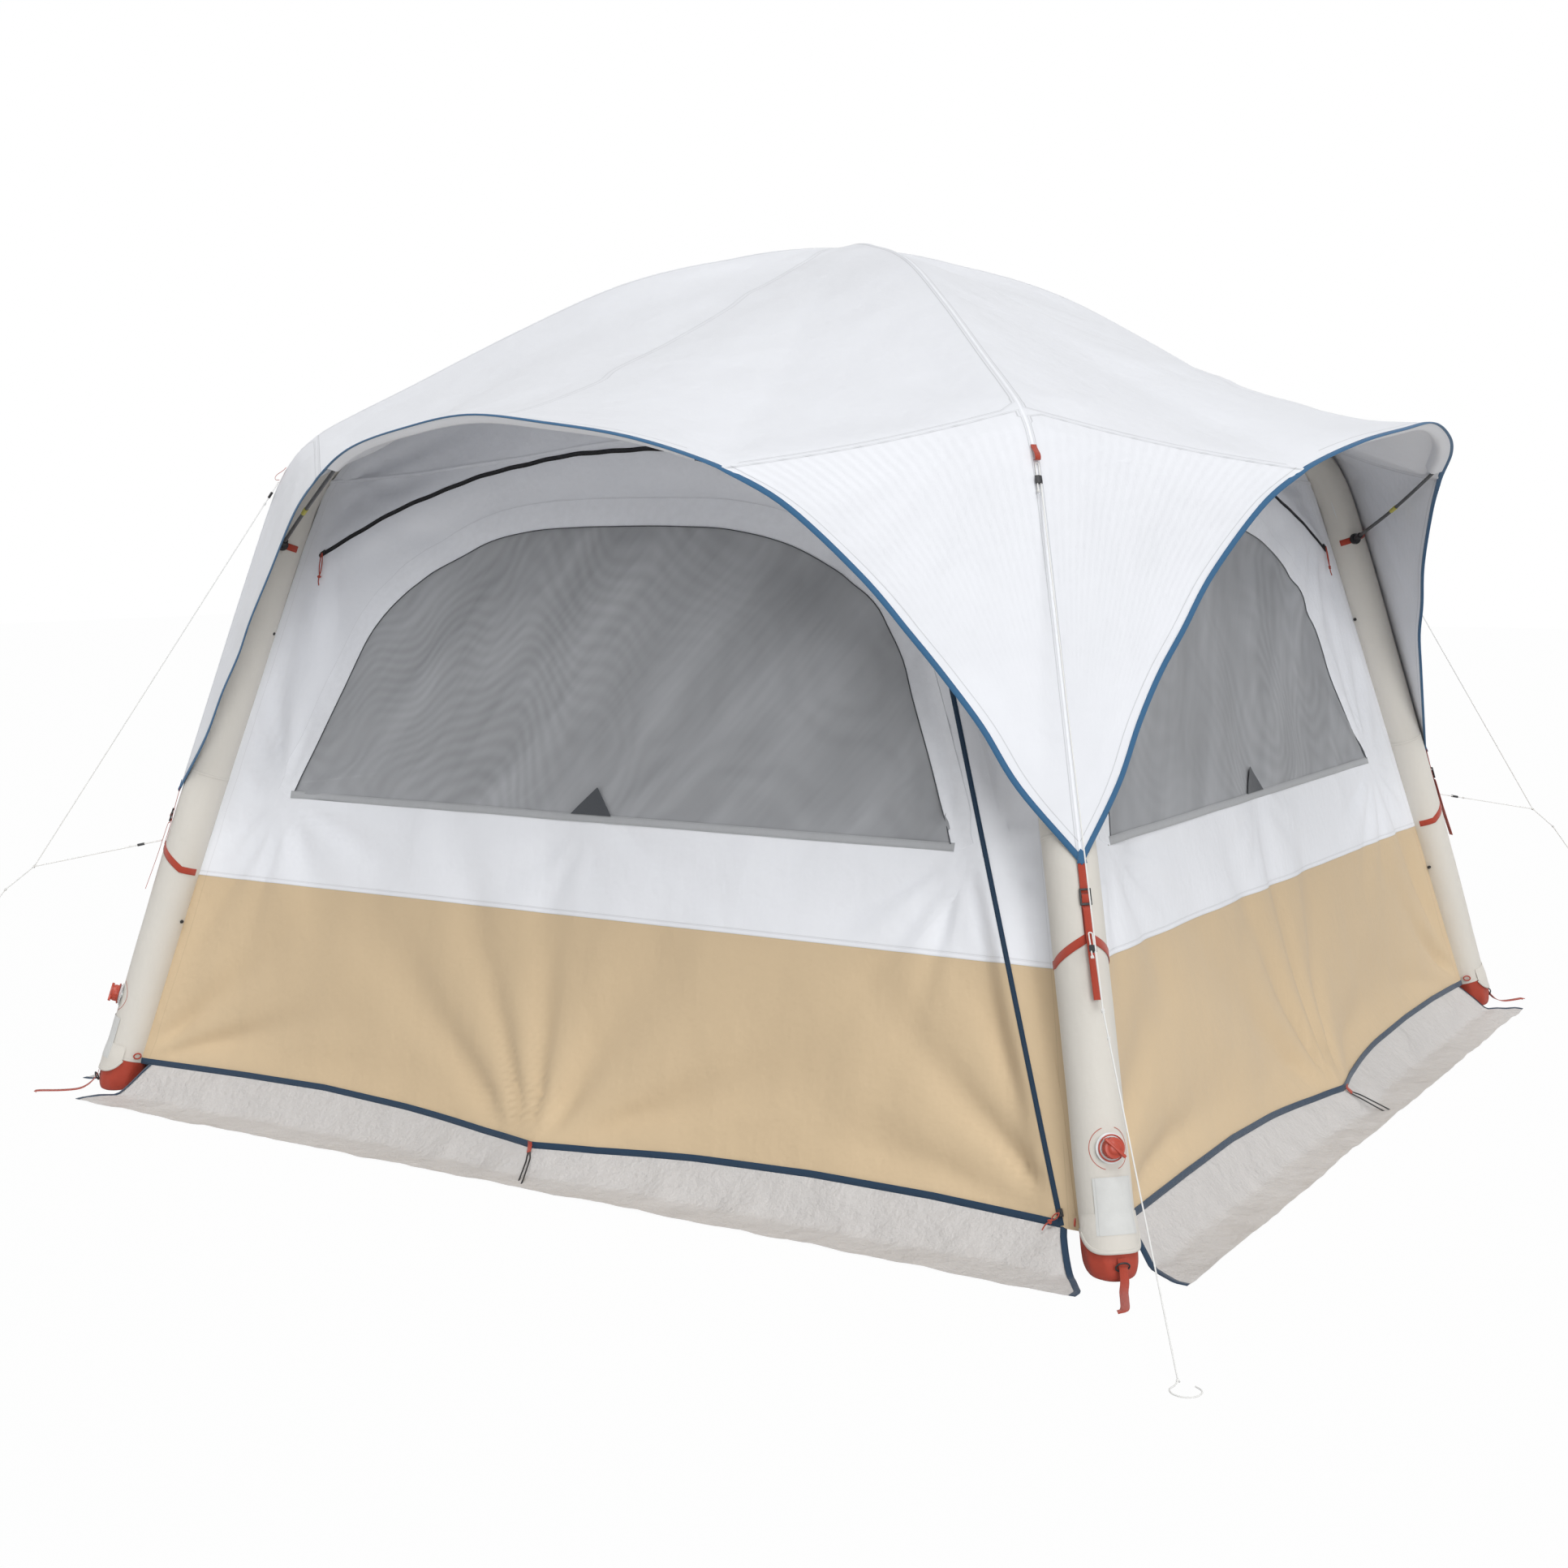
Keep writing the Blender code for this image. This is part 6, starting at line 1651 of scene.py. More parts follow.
def slider_pieces(name, place, pull_way, body, reach):
    """Black slider with a knotted red cord pull."""
    dress(blocks(name, SLIDER_BLOCKS, place, "black", 0.0010), "black_plastic", body, body=body)
    out = np.array(place.col[2][:3])
    origin = np.array(place.translation) + out * PULL_LIFT
    down = unit(np.asarray(pull_way, float))
    side = np.cross(down, out)
    t = np.linspace(0, 1, 30)
    spread = np.outer(PULL_SPREAD * np.sin(math.pi * t) ** 0.7, side)
    middle = origin + np.outer(t * reach, down) - np.outer(PULL_FALL * t, out)
    loop = np.vstack([middle + spread, (middle - spread)[-2:0:-1]])
    loop = even(np.vstack([loop, loop[:1]]), 70)[:-1]
    end = origin + down * (reach + 0.004) - out * PULL_FALL
    tail = np.array([end, end + down * 0.012 + side * 0.001, end + down * 0.024 - side * 0.003])
    for part, line, radius, closed in (("_pull", loop, 0.0014, True),
                                       ("_knot", knot_line(end, down, side, 0.0042), 0.0017, True),
                                       ("_tail", smooth(tail, 10), 0.0015, False)):
        dress(string(name + part, line, radius, "webbing", closed, 8), "red_webbing", body=body)


def knot_line(centre, way, side, radius):
    """Closed trefoil line of a small overhand knot."""
    a = circle(60)
    third = np.cross(way, side)
    x = (np.sin(a) + 2 * np.sin(2 * a)) / 3 * radius
    y = (np.cos(a) - 2 * np.cos(2 * a)) / 3 * radius
    z = -np.sin(3 * a) * radius * 0.42
    return centre + np.outer(x, side) + np.outer(y, way) + np.outer(z, third)


def build_sliders():
    """Sliders with cord pulls on the arched zips and at the foot of the door zip."""
    arc_half = math.asin(ZIP_HALF / ZIP_ARC_RADIUS)
    for k, side in enumerate(SIDES):
        way = -1 if k in (0, 2) else 1
        angle = way * (arc_half - ARCH_SLIDER_INSET / ZIP_ARC_RADIUS)
        x = ZIP_ARC_RADIUS * math.sin(angle)
        place = slider_frame((x, float(arc_height(x))), (math.cos(angle), -math.sin(angle)), k)
        down = side_points(0.0, WALL_SLOPE_SHARE, -1.0, k)
        slider_pieces("zip_slider_" + side, place, down, "arch_zip_slider_" + side, ARCH_PULL)
    level = HEM + DOOR_SLIDER_RISE
    rise = (DOOR_ZIP_HEAD[0] - DOOR_ZIP_FOOT[0]) / (DOOR_ZIP_HEAD[1] - DOOR_ZIP_FOOT[1])
    place = slider_frame((float(zip_at(level)) + 0.004, level), (rise, 1.0), 0)
    slider_pieces("door_slider", place, side_points(*DOOR_PULL_WAY, 0), "door_zip_slider", DOOR_PULL)


def build_window_mesh(k, side):
    """Mesh of window k, a little slack between its edges."""
    low, high = WINDOW[0][1], WINDOW[-1][1]
    z = low + (high - low) * np.sin(np.linspace(0, QUARTER, 44)) ** 0.9
    z = np.r_[low - 0.010, z[:-1]][:, None]
    half = smooth(WINDOW, 120)
    order = np.argsort(half[:, 1])
    width = np.interp(z, half[order, 1], half[order, 0]) + WINDOW_TUCK
    x = width * np.linspace(-1, 1, 80)
    z = z * np.ones_like(x)
    sway = rough(np.stack([x, z * 0.6, np.full_like(x, k)], axis=-1), 2.3, 21)
    held = ease(width - np.abs(x), 0.0, 0.15) * ease(z, 0.83, 0.95) * ease(-z, -1.50, -1.40)
    points = wall_points(x, z, 0.0, k) - wall_normal(k) * ((WINDOW_SLACK + WINDOW_SWAY * sway) * held)[..., None]
    mesh = grid_piece("window_cloth_" + side, points, "mesh", [("cloth", np.stack([x, z], axis=-1))])
    dress(mesh, "window_mesh", "window_mesh_" + side)


def build_window_tab(k, side):
    """Dark three-cornered tab at the foot of window k."""
    low_left, low_right, top = (np.array(p) for p in WINDOW_TAB)
    grid = np.array([[low_left + (top - low_left) * t + (low_right - low_left) * (1 - t) * s
                      for s in (0.0, 0.25, 0.5, 0.75, 1.0)] for t in (0.0, 0.35, 0.7, 0.99)])
    points = wall_points(grid[..., 0], grid[..., 1], TAB_LIFT, k)
    tab = grid_piece("window_tab_" + side, points, "dark_tape", [("cloth", grid)])
    dress(thicken(tab, TAB_THICK), "zip_tape")


def build_windows():
    """Window meshes with their bands, tapes and tabs."""
    line, normal = window_loop(60)
    frame_line = np.vstack([BAND_FOOT, line, np.multiply(BAND_FOOT, (-1, 1))])
    frame_way = np.vstack([normal[:1], normal, normal[-1:]])
    taper = ease(frame_line[:, 1], WINDOW[0][1], WINDOW[0][1] + 0.05)[:, None]
    rows = [frame_line + frame_way * (w * (0.8 + 0.2 * taper)) for w in np.linspace(0.0, sizes().window_band, 6)]
    foot = np.linspace(-WINDOW_TAPE_HALF, WINDOW_TAPE_HALF, 90)
    for k, side in enumerate(SIDES):
        build_window_mesh(k, side)
        dress(strip_on_wall("window_band_" + side, rows, k, "window_band", BAND_THICK, BAND_LIFT), "wall_cloth")
        outline = wall_points(line[:, 0], line[:, 1], WINDOW_EDGE_LIFT, k)
        dress(string("window_edge_" + side, outline, WINDOW_EDGE_RADIUS, "dark_tape", False, 6), "zip_tape")
        foot_tape = on_wall_tape("window_foot_" + side, foot, np.full(90, WINDOW_TAPE_LEVEL), k, WINDOW_TAPE,
                                 "grey_tape", WINDOW_TAPE_LIFT)
        dress(foot_tape, "window_mesh")
        build_window_tab(k, side)


def build_skirts():
    """Crinkled ground skirts with bound ends."""
    share = np.linspace(-1, 1, 150)
    drop = np.linspace(0, 1, 16)[:, None]
    top_x, low_x = share * SKIRT_HEM_HALF, share * SKIRT_END_HALF
    top = wall_points(top_x, np.full(len(share), HEM), -0.0010, 0)
    x = top[:, 0] + (low_x - top_x) * np.clip(drop * 1.2, 0, 1)
    crease = SKIRT_CREASE + SKIRT_PULL * np.clip(1 - np.abs(top_x) / PEG_PULL_HALF, 0, 1) ** 2
    t = np.clip(drop / SKIRT_DROP_SHARE, 0, 1)
    flat = np.clip((drop - SKIRT_DROP_SHARE) / (1 - SKIRT_DROP_SHARE), 0, 1)
    laid = -top[:, 1] + (crease + top[:, 1]) * t ** 0.8 + (SKIRT_OUT - crease) * flat
    level = top[:, 2] * (1 - t) ** 1.3 + 0.0012
    cloth = np.stack(np.broadcast_arrays(x, drop * SKIRT_DEPTH), axis=-1)
    for k, side in enumerate(SIDES):
        field = np.stack(np.broadcast_arrays(x, laid, k * 2.0), axis=-1)
        bulge = rough(field, 11.0, 31) * 0.5 + rough(field, 26.0, 32) * 0.3 + 0.35
        z = level + np.clip(bulge, 0, None) * SKIRT_BUMP * ease(drop, 0.0, 0.25)
        sway = rough(field * (1, 0, 1), 3.5, 33) * 0.007 + rough(field * (1, 0, 1), 17.0, 34) * 0.003
        points = side_points(x, laid + sway * flat, np.maximum(z, SKIRT_FLOOR), k)
        skirt = grid_piece("skirt_sheet_" + side, points, "skirt", [("cloth", cloth)])
        sharpen(skirt.data, 80)
        dress(thicken(skirt, SKIRT_THICK), "skirt_sheet", "skirt_" + side)
        for end, column in (("left", 0), ("right", -1)):
            binding = tape(f"skirt_end_{end}_{side}", points[:, column], (0.0, 0.0, 1.0), SKIRT_TAPE, "hem")
            dress(binding, "zip_tape")


def build_poles():
    """Visor poles with ferrules, end sockets and hubs on the legs."""
    gore, _, _ = gore_half()
    edge, inner = gore[-1, EAVE_COLUMNS - 1:], gore[-2, EAVE_COLUMNS - 1:]
    under = edge + unit(inner - edge) * POLE_INSET - (0.0, 0.0, POLE_DROP)
    rho = float(leg_at(HUB_LEVEL)[0])
    off = TUBE_RADIUS + 0.0005 + HUB_THICK / 2
    hub = np.array([(rho - off) / ROOT_TWO, (rho + off) / ROOT_TWO, HUB_LEVEL])
    half = smooth(np.vstack([hub, hub + (under[0] - hub) * 0.55, under[2:]]), 60)
    line = np.vstack([half[:-1], half[::-1] * (-1, 1, 1)])
    h = HUB_THICK / 2
    profile = ((0.0, -h), (HUB_RADIUS, -h), (HUB_RADIUS, h * 0.6), (HUB_RADIUS * 0.9, h),
               (HUB_RADIUS * 0.55, h), (HUB_RADIUS * 0.5, h * 0.7), (HUB_RADIUS * 0.2, h * 0.7), (0.0, h * 1.1))
    socket_end, socket_radius = POLE_SOCKET
    ferrule_start, ferrule_end, ferrule_radius = POLE_FERRULE
    for k, side in enumerate(SIDES):
        run = on_side(line, k)
        build_pole_sleeve(k, side)
        rod = string("visor_rod_" + side, even(run, 150), POLE_RADIUS, "pole", False, 12)
        dress(rod, "black_plastic", "visor_pole_" + side)
        for way, end in ((1, "right"), (-1, "left")):
            path = run[::way]
            steps = lengths(path)
            socket = even(path[steps < socket_end], 6)
            dress(string(f"pole_socket_{end}_{side}", socket, socket_radius, "black", False, 16), "black_plastic")
            joint = even(path[(steps > ferrule_start) & (steps < ferrule_end)], 6)
            dress(string(f"pole_ferrule_{end}_{side}", joint, ferrule_radius, "ferrule", False, 14), "black_plastic")
            place = pointed(path[0], side_points(-float(way), 1.0, 0.0, k) / ROOT_TWO)
            dress(turned_solid(f"pole_hub_{end}_{side}", profile, place, "black"), "black_plastic")


def build_pole_sleeve(k, side):
    """Cloth sleeve under the free edge that carries the visor pole."""
    gore, _, _ = gore_half()
    edge, inner = gore[-1, :EAVE_COLUMNS:-1], gore[-2, :EAVE_COLUMNS:-1]
    line, inner = (on_side(np.vstack([p[:0:-1] * (-1, 1, 1), p]), k) for p in (edge, inner))
    inward = unit(inner - line)
    down = unit(np.cross(tangents(line), inward))
    down = down * np.where(down[:, 2:] > 0, -1.0, 1.0)
    columns = [line + inward * s + down * d for s, d in POLE_SLEEVE]
    cloth = pairs(lengths(line), [s for s, _ in POLE_SLEEVE])
    across = cloth[..., 1] + 0.05
    maps = [("cloth", cloth), ("seam", np.stack([across, across], axis=-1))]
    sleeve = grid_piece("pole_sleeve_" + side, np.stack(columns, axis=1), "fly", maps)
    dress(thicken(sleeve, sizes().cloth), "fly_cloth")


def strap_on_leg(name, path, place, c, width, thick):
    """Webbing through (up, out) places of a frame on leg c."""
    line = np.array([tuple(place @ Vector((0.0, up, off))) for up, off in path])
    across = corner_points(0.0, 1.0, 0.0, c)
    up = unit(np.cross(tangents(line), np.broadcast_to(across, line.shape)))
    section = flat_section(width, thick, -thick / 2)
    dress(sweep(name, line, across, up, section, "webbing", False, False), "red_webbing")


def lock_paths():
    """Upper strap and threaded tail of a ladder lock as (up, out) places round its middle."""
    tip, low, ring = ((level - LOCK_LEVEL) * LEG_STRETCH
                      for level in (TIP_LEVEL, TAIL_LEVEL, LOWER_RING + LOWER_RING_RISE))
    upper = ((tip + 0.012, -0.0008), (0.030, -0.0022), (0.012, -0.0032), (-0.004, -0.0034), (-0.016, -0.0036))
    under = ((ring, -0.0050), (-0.022, -0.0050), (-0.0125, -0.0048), (0.004, -0.0018), (0.0060, 0.0010),
             (0.0030, 0.0030), (-0.003, 0.0026), (-0.0090, 0.0002), (-0.0150, -0.0032), (-0.0215, -0.0016),
             (-0.030, 0.0020), (low * 0.55, 0.0040), (low, 0.0085))
    return ("tip_strap_web_", upper), ("strap_tail_web_", under)


def build_straps():
    """Ring straps, ladder locks, tip straps and guy tabs on the legs."""
    width = sizes().webbing
    w, h, t = LOCK_SIZE
    bars = [(((w - LOCK_RAIL) / 2 * s, 0.0, 0.0), (LOCK_RAIL, h, t)) for s in (-1, 1)]
    bars += [((0.0, y, 0.0), (w, bar, t * 0.9)) for y, bar in
             ((h / 2 - 0.002, 0.004), (0.0055, 0.003), (-0.0045, 0.003), (-h / 2 + 0.0025, 0.005))]
    angles = np.linspace(-QUARTER * 1.5, QUARTER * 1.5, 49)
    rise = LOWER_RING_RISE * np.clip(1 - np.abs(angles) / QUARTER, 0, None)
    for c, side in enumerate(SIDES):
        line, out = leg_points(UPPER_RING, angles, 0.0004, c)
        dress(tape("upper_ring_" + side, line, out, (width, STRAP_THICK), "webbing"), "red_webbing")
        line, out = leg_points(LOWER_RING + rise, angles, 0.0004, c)
        lower = tape("lower_ring_" + side, line, out, (width, STRAP_THICK), "webbing")
        dress(lower, "red_webbing", "tip_strap_" + side)
        place = leg_frame(LOCK_LEVEL, LOCK_OFF, c)
        dress(blocks("ladder_lock_" + side, bars, place, "black", LOCK_EDGE), "black_plastic")
        for name, path in lock_paths():
            strap_on_leg(name + side, smooth(path, 46), place, c, width, TIP_STRAP_THICK)
        build_tip_patch(c, side)
        build_guy_tab(c, side)


def build_tip_patch(c, side):
    """Blue stitched end where the bindings of two fly panels meet."""
    place = leg_frame(TIP_LEVEL + 0.012, FLY_LIFT + 0.0022, c)
    half, tall, thick = TIP_PATCH
    rows = [[tuple(place @ Vector((half * (1 - 0.45 * t) * s, -0.010 + tall * t * (1 - 0.2 * abs(s)), 0.0)))
             for s in np.linspace(-1, 1, 5)] for t in (1.0, 0.5, 0.0)]
    size = pairs(np.linspace(0, tall, 3), np.linspace(-half, half, 5))
    patch = grid_piece("tip_patch_" + side, np.array(rows), "rim", [("cloth", size)])
    dress(thicken(patch, thick), "fly_cloth")


def build_guy_tab(c, side):
    """Red webbing loop on the corner seam for the guy line."""
    path = ((0.030, 0.000), (0.018, 0.004), (0.002, 0.0125), (-0.008, 0.0135), (-0.012, 0.009), (-0.008, 0.001))
    place = leg_frame(GUY_TAB_LEVEL + 0.012, FLY_LIFT + 0.002, c)
    strap_on_leg("guy_tab_" + side, smooth(path, 24), place, c, *GUY_TAB)


def build_pegs():
    """Elastic peg loops at the middle of each hem, toggles beside the walls and loops on the legs."""
    for k, side in enumerate(SIDES):
        head = wall_points(0.0, HEM, 0.003, k)
        foot, knee = side_points(*PEG_PLACE, k), side_points(*PEG_KNEE, k)
        down = unit(foot - head)
        tab = np.array([head + (0, 0, 0.016), head + (0, 0, 0.006), head + down * 0.014])
        dress(tape("peg_tab_" + side, smooth(tab, 12), wall_normal(k), PEG_TAB, "webbing", 0.001), "red_webbing")
        beside = unit(np.cross(down, wall_normal(k)))
        start = head + down * 0.012
        left = np.array([start - beside * 0.003, (start + knee) / 2 - beside * 0.005, knee - beside * 0.006,
                         foot - beside * 0.007])
        right = left + beside * np.array([[0.006], [0.010], [0.012], [0.014]])
        bottom = foot + unit(foot - knee) * 0.008
        bottom[2] = PEG_PLACE[2]
        loop = smooth(np.vstack([left, bottom, right[::-1]]), 60)
        loop[:, 2] = np.maximum(loop[:, 2], PEG_CORD_RADIUS + PEG_CORD_FLOOR)
        dress(string("peg_loop_" + side, loop, PEG_CORD_RADIUS, "black", False, 8), "black_plastic")
        way = -1 if k in (0, 2) else 1
        for n, level in enumerate(TOGGLE_LEVELS):
            build_toggle(f"toggle_{n}_{side}", way * (edge_at(level) + 0.004), level, k)
    spin = circle(24)
    wide, tall, radius = HEM_LOOP
    for c, side in enumerate(SIDES):
        for n, way in enumerate((-1, 1)):
            base, out = leg_points(HEM_LOOP_LEVEL, way * QUARTER * 1.28, 0.004, c)
            aside = unit(np.cross(out, (0.0, 0.0, 1.0)))
            ring = base + np.outer(np.cos(spin), aside) * wide + np.outer(np.sin(spin), (0, 0, 1.0)) * tall
            dress(string(f"hem_loop_{n}_{side}", ring + out * 0.004, radius, "webbing", True, 8), "red_webbing")


def build_toggle(name, x, level, k):
    """Black toggle held by a white loop at the edge of a wall."""
    origin = wall_points(x, level, 0.010, k)
    along = unit(side_points(0.9, 0.2, 0.25, k))
    normal = wall_normal(k)
    pin = turned_solid(name, TOGGLE_PROFILE, pointed(origin, along), "black", 20)
    dress(pin, "black_plastic")
    spin = circle(24)
    wide, tall, radius = TOGGLE_LOOP
    side = np.cross(along, normal)
    loop = origin + np.outer(np.cos(spin), side) * wide + np.outer(np.sin(spin), normal) * tall
    dress(string(name + "_loop", loop, radius, "cord", True, 8), "guy_cord")


def build_valves():
    """Valve boots, winged caps, leash rings and the faint marks printed beside each valve."""
    spin = circle(64)
    leash = np.stack([LEASH_RADIUS * np.cos(spin), LEASH_RADIUS * np.sin(spin),
                      LEASH_LEVEL + LEASH_SWAY * np.sin(spin + 0.8)], axis=1)
    rib_out, rib_level = CAP_RIB_PLACE
    ribs = [((math.cos(a) * rib_out, math.sin(a) * rib_out, rib_level), CAP_RIB) for a in circle(CAP_RIBS)]
    length, thick, tall = CAP_WING
    wings = [((0.0, 0.0, CAP_WING_LEVEL), (length * 2, thick, tall))]
    angle = np.linspace(-PRINT_HALF, PRINT_HALF, 60)
    for side in VALVE_SIDES:
        c = SIDES.index(side)
        origin, out = leg_points(VALVE_LEVEL, 0.0, -TUBE_RADIUS, c)
        across = corner_points(0.0, 1.0, 0.0, c)
        place = frame_at(origin, across, np.cross(out, across), out)
        for node, finish in (("valve_body_" + side, "clear"), ("valve_stem_" + side, "red")):
            mesh = refinish(node, finish)
            mesh.shade_smooth()
            sharpen(mesh, 40)
        cap = "valve_cap_" + side
        wing_frame = place @ Matrix.Rotation(-QUARTER / 2, 4, "Z")
        dress(turned_solid("valve_cap_cover_" + side, CAP_PROFILE, place, "red"), "red_plastic", cap, body=cap)
        dress(blocks("valve_cap_wings_" + side, wings, wing_frame, "red", 0.0016), "red_plastic", body=cap)
        dress(blocks("valve_cap_ribs_" + side, ribs, place, "red", 0.0006), "red_plastic", body=cap)
        dress(turned_solid("valve_boot_" + side, BOOT_PROFILE, place, "clear"), "clear_plastic")
        line = leash @ np.array(place.to_3x3()).T + np.array(place.translation)
        dress(string("valve_leash_" + side, line, LEASH_THICK, "red", True, 8), "red_plastic")
        for way, end in ((-1, "left"), (1, "right")):
            level = VALVE_LEVEL + PRINT_RADIUS * np.sin(angle) / PRINT_STRETCH
            line, facing = leg_points(level, way * PRINT_RADIUS * np.cos(angle) / TUBE_RADIUS, 0.0003, c)
            dress(tape(f"valve_print_{end}_{side}", line, facing, PRINT_LINE, "print"), "sleeve_cloth")


def bight(head, down, across):
    """Half turn of a cord whose two strands leave its head side by side."""
    return [head + across * (STRAND * math.cos(a)) + down * (STRAND - STRAND * math.sin(a))
            for a in (math.pi, QUARTER * 1.5, QUARTER, QUARTER / 2, 0.0)]


def lay_cord(name, route):
    """Poly line of a cord with round ends."""
    data = bpy.data.curves.new(name, "CURVE")
    data.dimensions = "3D"
    data.bevel_depth = CORD_RADIUS
    data.bevel_resolution = 3
    data.use_fill_caps = True
    line = data.splines.new("POLY")
    line.points.add(len(route) - 1)
    for point, place in zip(line.points, route):
        point.co = (*place, 1.0)
    data.materials.append(finish_of("cord"))
    return placed(name, data)


def hung(level, lift, joint, slider_place, c):
    """Start of a cord that hangs doubled over a strap of leg c, and its direction to the joint."""
    aside = corner_points(0.0, 1.0, 0.0, c)
    head, _ = leg_points(level, 0.0, lift + CORD_RADIUS, c)
    down = unit(joint - head)
    across = unit(aside - down * aside.dot(down))
    tail = head + down * (slider_place + TAIL_REACH)
    neck = tail - down * TAIL_NECK
    strands = [tail - across * STRAND, neck - across * STRAND] + bight(head, down, across)
    return strands + [neck + across * STRAND], down


def upper_route(c, side):
    """Guy line from its tail through the tab and the tensioner to the ground loop, with its knots."""
    joint, knot, ground = (np.array(p) for p in GUYS[side])
    route, down = hung(GUY_TAB_LEVEL, UPPER_HEAD_LIFT, joint, UPPER_SLIDER_PLACE, c)
    lay = unit(np.array([ground[0] - knot[0], ground[1] - knot[1], 0.0]))
    turn_side = np.array([-lay[1], lay[0], 0.0])
    loop = []
    for i in range(LOOP_STEPS - 1):
        a = math.pi + 2 * math.pi * (i + 0.6) / LOOP_STEPS
        spot = ground + lay * (LOOP_NECK + LOOP_RADIUS) + (lay * math.cos(a) + turn_side * math.sin(a)) * LOOP_RADIUS
        loop.append(np.array([spot[0], spot[1], CORD_RADIUS + CORD_FLOOR]))
    loop = list(smooth(np.array([ground] + loop), 34)[1:])
    knots = [(route[0], down, 0.9), (joint, down, 1.15), (knot, down, 0.9), (ground, lay, 0.9)]
    route += [joint - down * LOOP_RADIUS, joint, joint * 0.5 + knot * 0.5, knot]
    return route + [knot * 0.5 + ground * 0.5, knot * 0.1 + ground * 0.9, ground] + loop, knots


def lower_route(c, side):
    """Lower line from its tail through the ring strap and the tensioner to the joint."""
    joint = np.array(GUYS[side][0])
    route, down = hung(LOWER_HEAD_LEVEL, LOWER_HEAD_LIFT, joint, LOWER_SLIDER_PLACE, c)
    return route + [joint], [(route[0], down, 0.9)]


def build_guys():
    """Guy lines with knots and tensioners."""
    for c, side in enumerate(SIDES):
        for level, (route, knots) in (("upper", upper_route(c, side)), ("lower", lower_route(c, side))):
            cord = lay_cord(f"guy_{level}_{side}", route)
            for n, (spot, way, size) in enumerate(knots):
                line = knot_line(spot, way, unit(np.cross(way, (0.13, 0.29, 0.95))), KNOT_RADIUS * size)
                line[:, 2] = np.maximum(line[:, 2], CORD_RADIUS + KNOT_FLOOR)
                knot = string(f"guy_{level}_knot_{n}_{side}", line, CORD_RADIUS, "cord", True, 8)
                dress(knot, "guy_cord")
            dress(cord, "guy_cord", "guy_line_" + side)
            size = float(lengths(np.array(route))[-1])
            slider = f"guy_slider_{level}_{side}"
            refinish(slider, "black")
            round_edges(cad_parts[slider], SLIDER_EDGE, 2)


def dress_bladders():
    """Milky film of the air bladders inside the sleeves."""
    for name in ("bladder_front_back", "bladder_left_right"):
        refinish(name, "clear").shade_smooth()


def build_floor(side):
    """Pale floor that the camera sees almost white."""
    bpy.ops.mesh.primitive_plane_add(size=side, location=(0.0, 0.0, FLOOR_LEVEL))
    floor = bpy.context.active_object
    floor.name = "floor"
    f = Finish("floor_paper", roughness=0.9, specular_ior_level=0.1)
    grain = f.cloud(3.0, 2.0)
    f.show(base_color=f.shade(FLOOR_GREY, 0.99 + grain * 0.02))
    seen = f.node("ShaderNodeLightPath", {}, {}, "Is Camera Ray")
    glow = f.node("ShaderNodeEmission", {}, {"Color": WHITE, "Strength": 1.0})
    paper = Value(f, f.shader.outputs[0])
    blended = f.node("ShaderNodeMixShader", {}, {0: seen * FLOOR_GLOW, 1: paper, 2: glow})
    f.feed(f.tree.nodes["Material Output"].inputs["Surface"], blended)
    floor.data.materials.append(f.material)


def build_backdrop(ambient):
    """World that is white where it is seen and only a soft light elsewhere."""
    world = bpy.data.worlds.new("studio")
    world.use_nodes = True
    bpy.context.scene.world = world
    g = Graph(world.node_tree)
    camera, glossy, through = (g.node("ShaderNodeLightPath", {}, {}, ray)
                               for ray in ("Is Camera Ray", "Is Glossy Ray", "Is Transmission Ray"))
    seen = g.math("MAXIMUM", g.math("MAXIMUM", camera, glossy), through)
    background = g.tree.nodes["Background"]
    level = g.node("ShaderNodeMapRange", {}, {"Value": seen, "To Min": ambient, "To Max": 1.0})
    g.feed(background.inputs["Color"], WHITE)
    g.feed(background.inputs["Strength"], level)


def build_camera():
    """Camera of the reference view."""
    data = bpy.data.cameras.new("view")
    data.sensor_width = SENSOR
    data.lens = SENSOR * FOCAL_PIXELS / IMAGE_SIDE
    data.clip_end = 200.0
    camera = placed("view", data)
    yaw, pitch, roll = CAMERA_YAW, CAMERA_PITCH, CAMERA_ROLL
    ahead = Vector((math.sin(yaw) * math.cos(pitch), math.cos(yaw) * math.cos(pitch), -math.sin(pitch)))
    right = Vector((math.cos(yaw), -math.sin(yaw), 0.0))
    up = right.cross(ahead)
    x_axis = right * math.cos(roll) + up * math.sin(roll)
    y_axis = up * math.cos(roll) - right * math.sin(roll)
    camera.matrix_world = frame_at(CAMERA_PLACE, x_axis, y_axis, -ahead)
    bpy.context.scene.camera = camera


def build_stage():
    """Pale floor, soft light and the camera of the reference view."""
    setting = bpy.context.scene.tent_stage
    build_floor(setting.floor)
    build_backdrop(setting.ambient)
    for name, strength, (tilt, turn) in (("key", setting.sun, KEY_WAY), ("top", setting.top, TOP_WAY)):
        lamp = bpy.data.lights.new(name, "SUN")
        lamp.energy = strength
        lamp.angle = setting.sun_spread
        placed(name, lamp).rotation_euler = (math.radians(tilt), 0.0, math.radians(turn))
    build_camera()
    bpy.context.scene.view_settings.view_transform = "Standard"


class TENT_OT_stage(bpy.types.Operator):
    """Set up the floor, the light and the camera"""

    bl_idname = "tent.stage"
    bl_label = "Stage"

    def execute(self, context):
        build_stage()
        return {"FINISHED"}


class TENT_OT_guys(bpy.types.Operator):
    """Lay the guy lines with their knots and tensioners"""

    bl_idname = "tent.guys"
    bl_label = "Guy lines"

    def execute(self, context):
        build_guys()
        return {"FINISHED"}


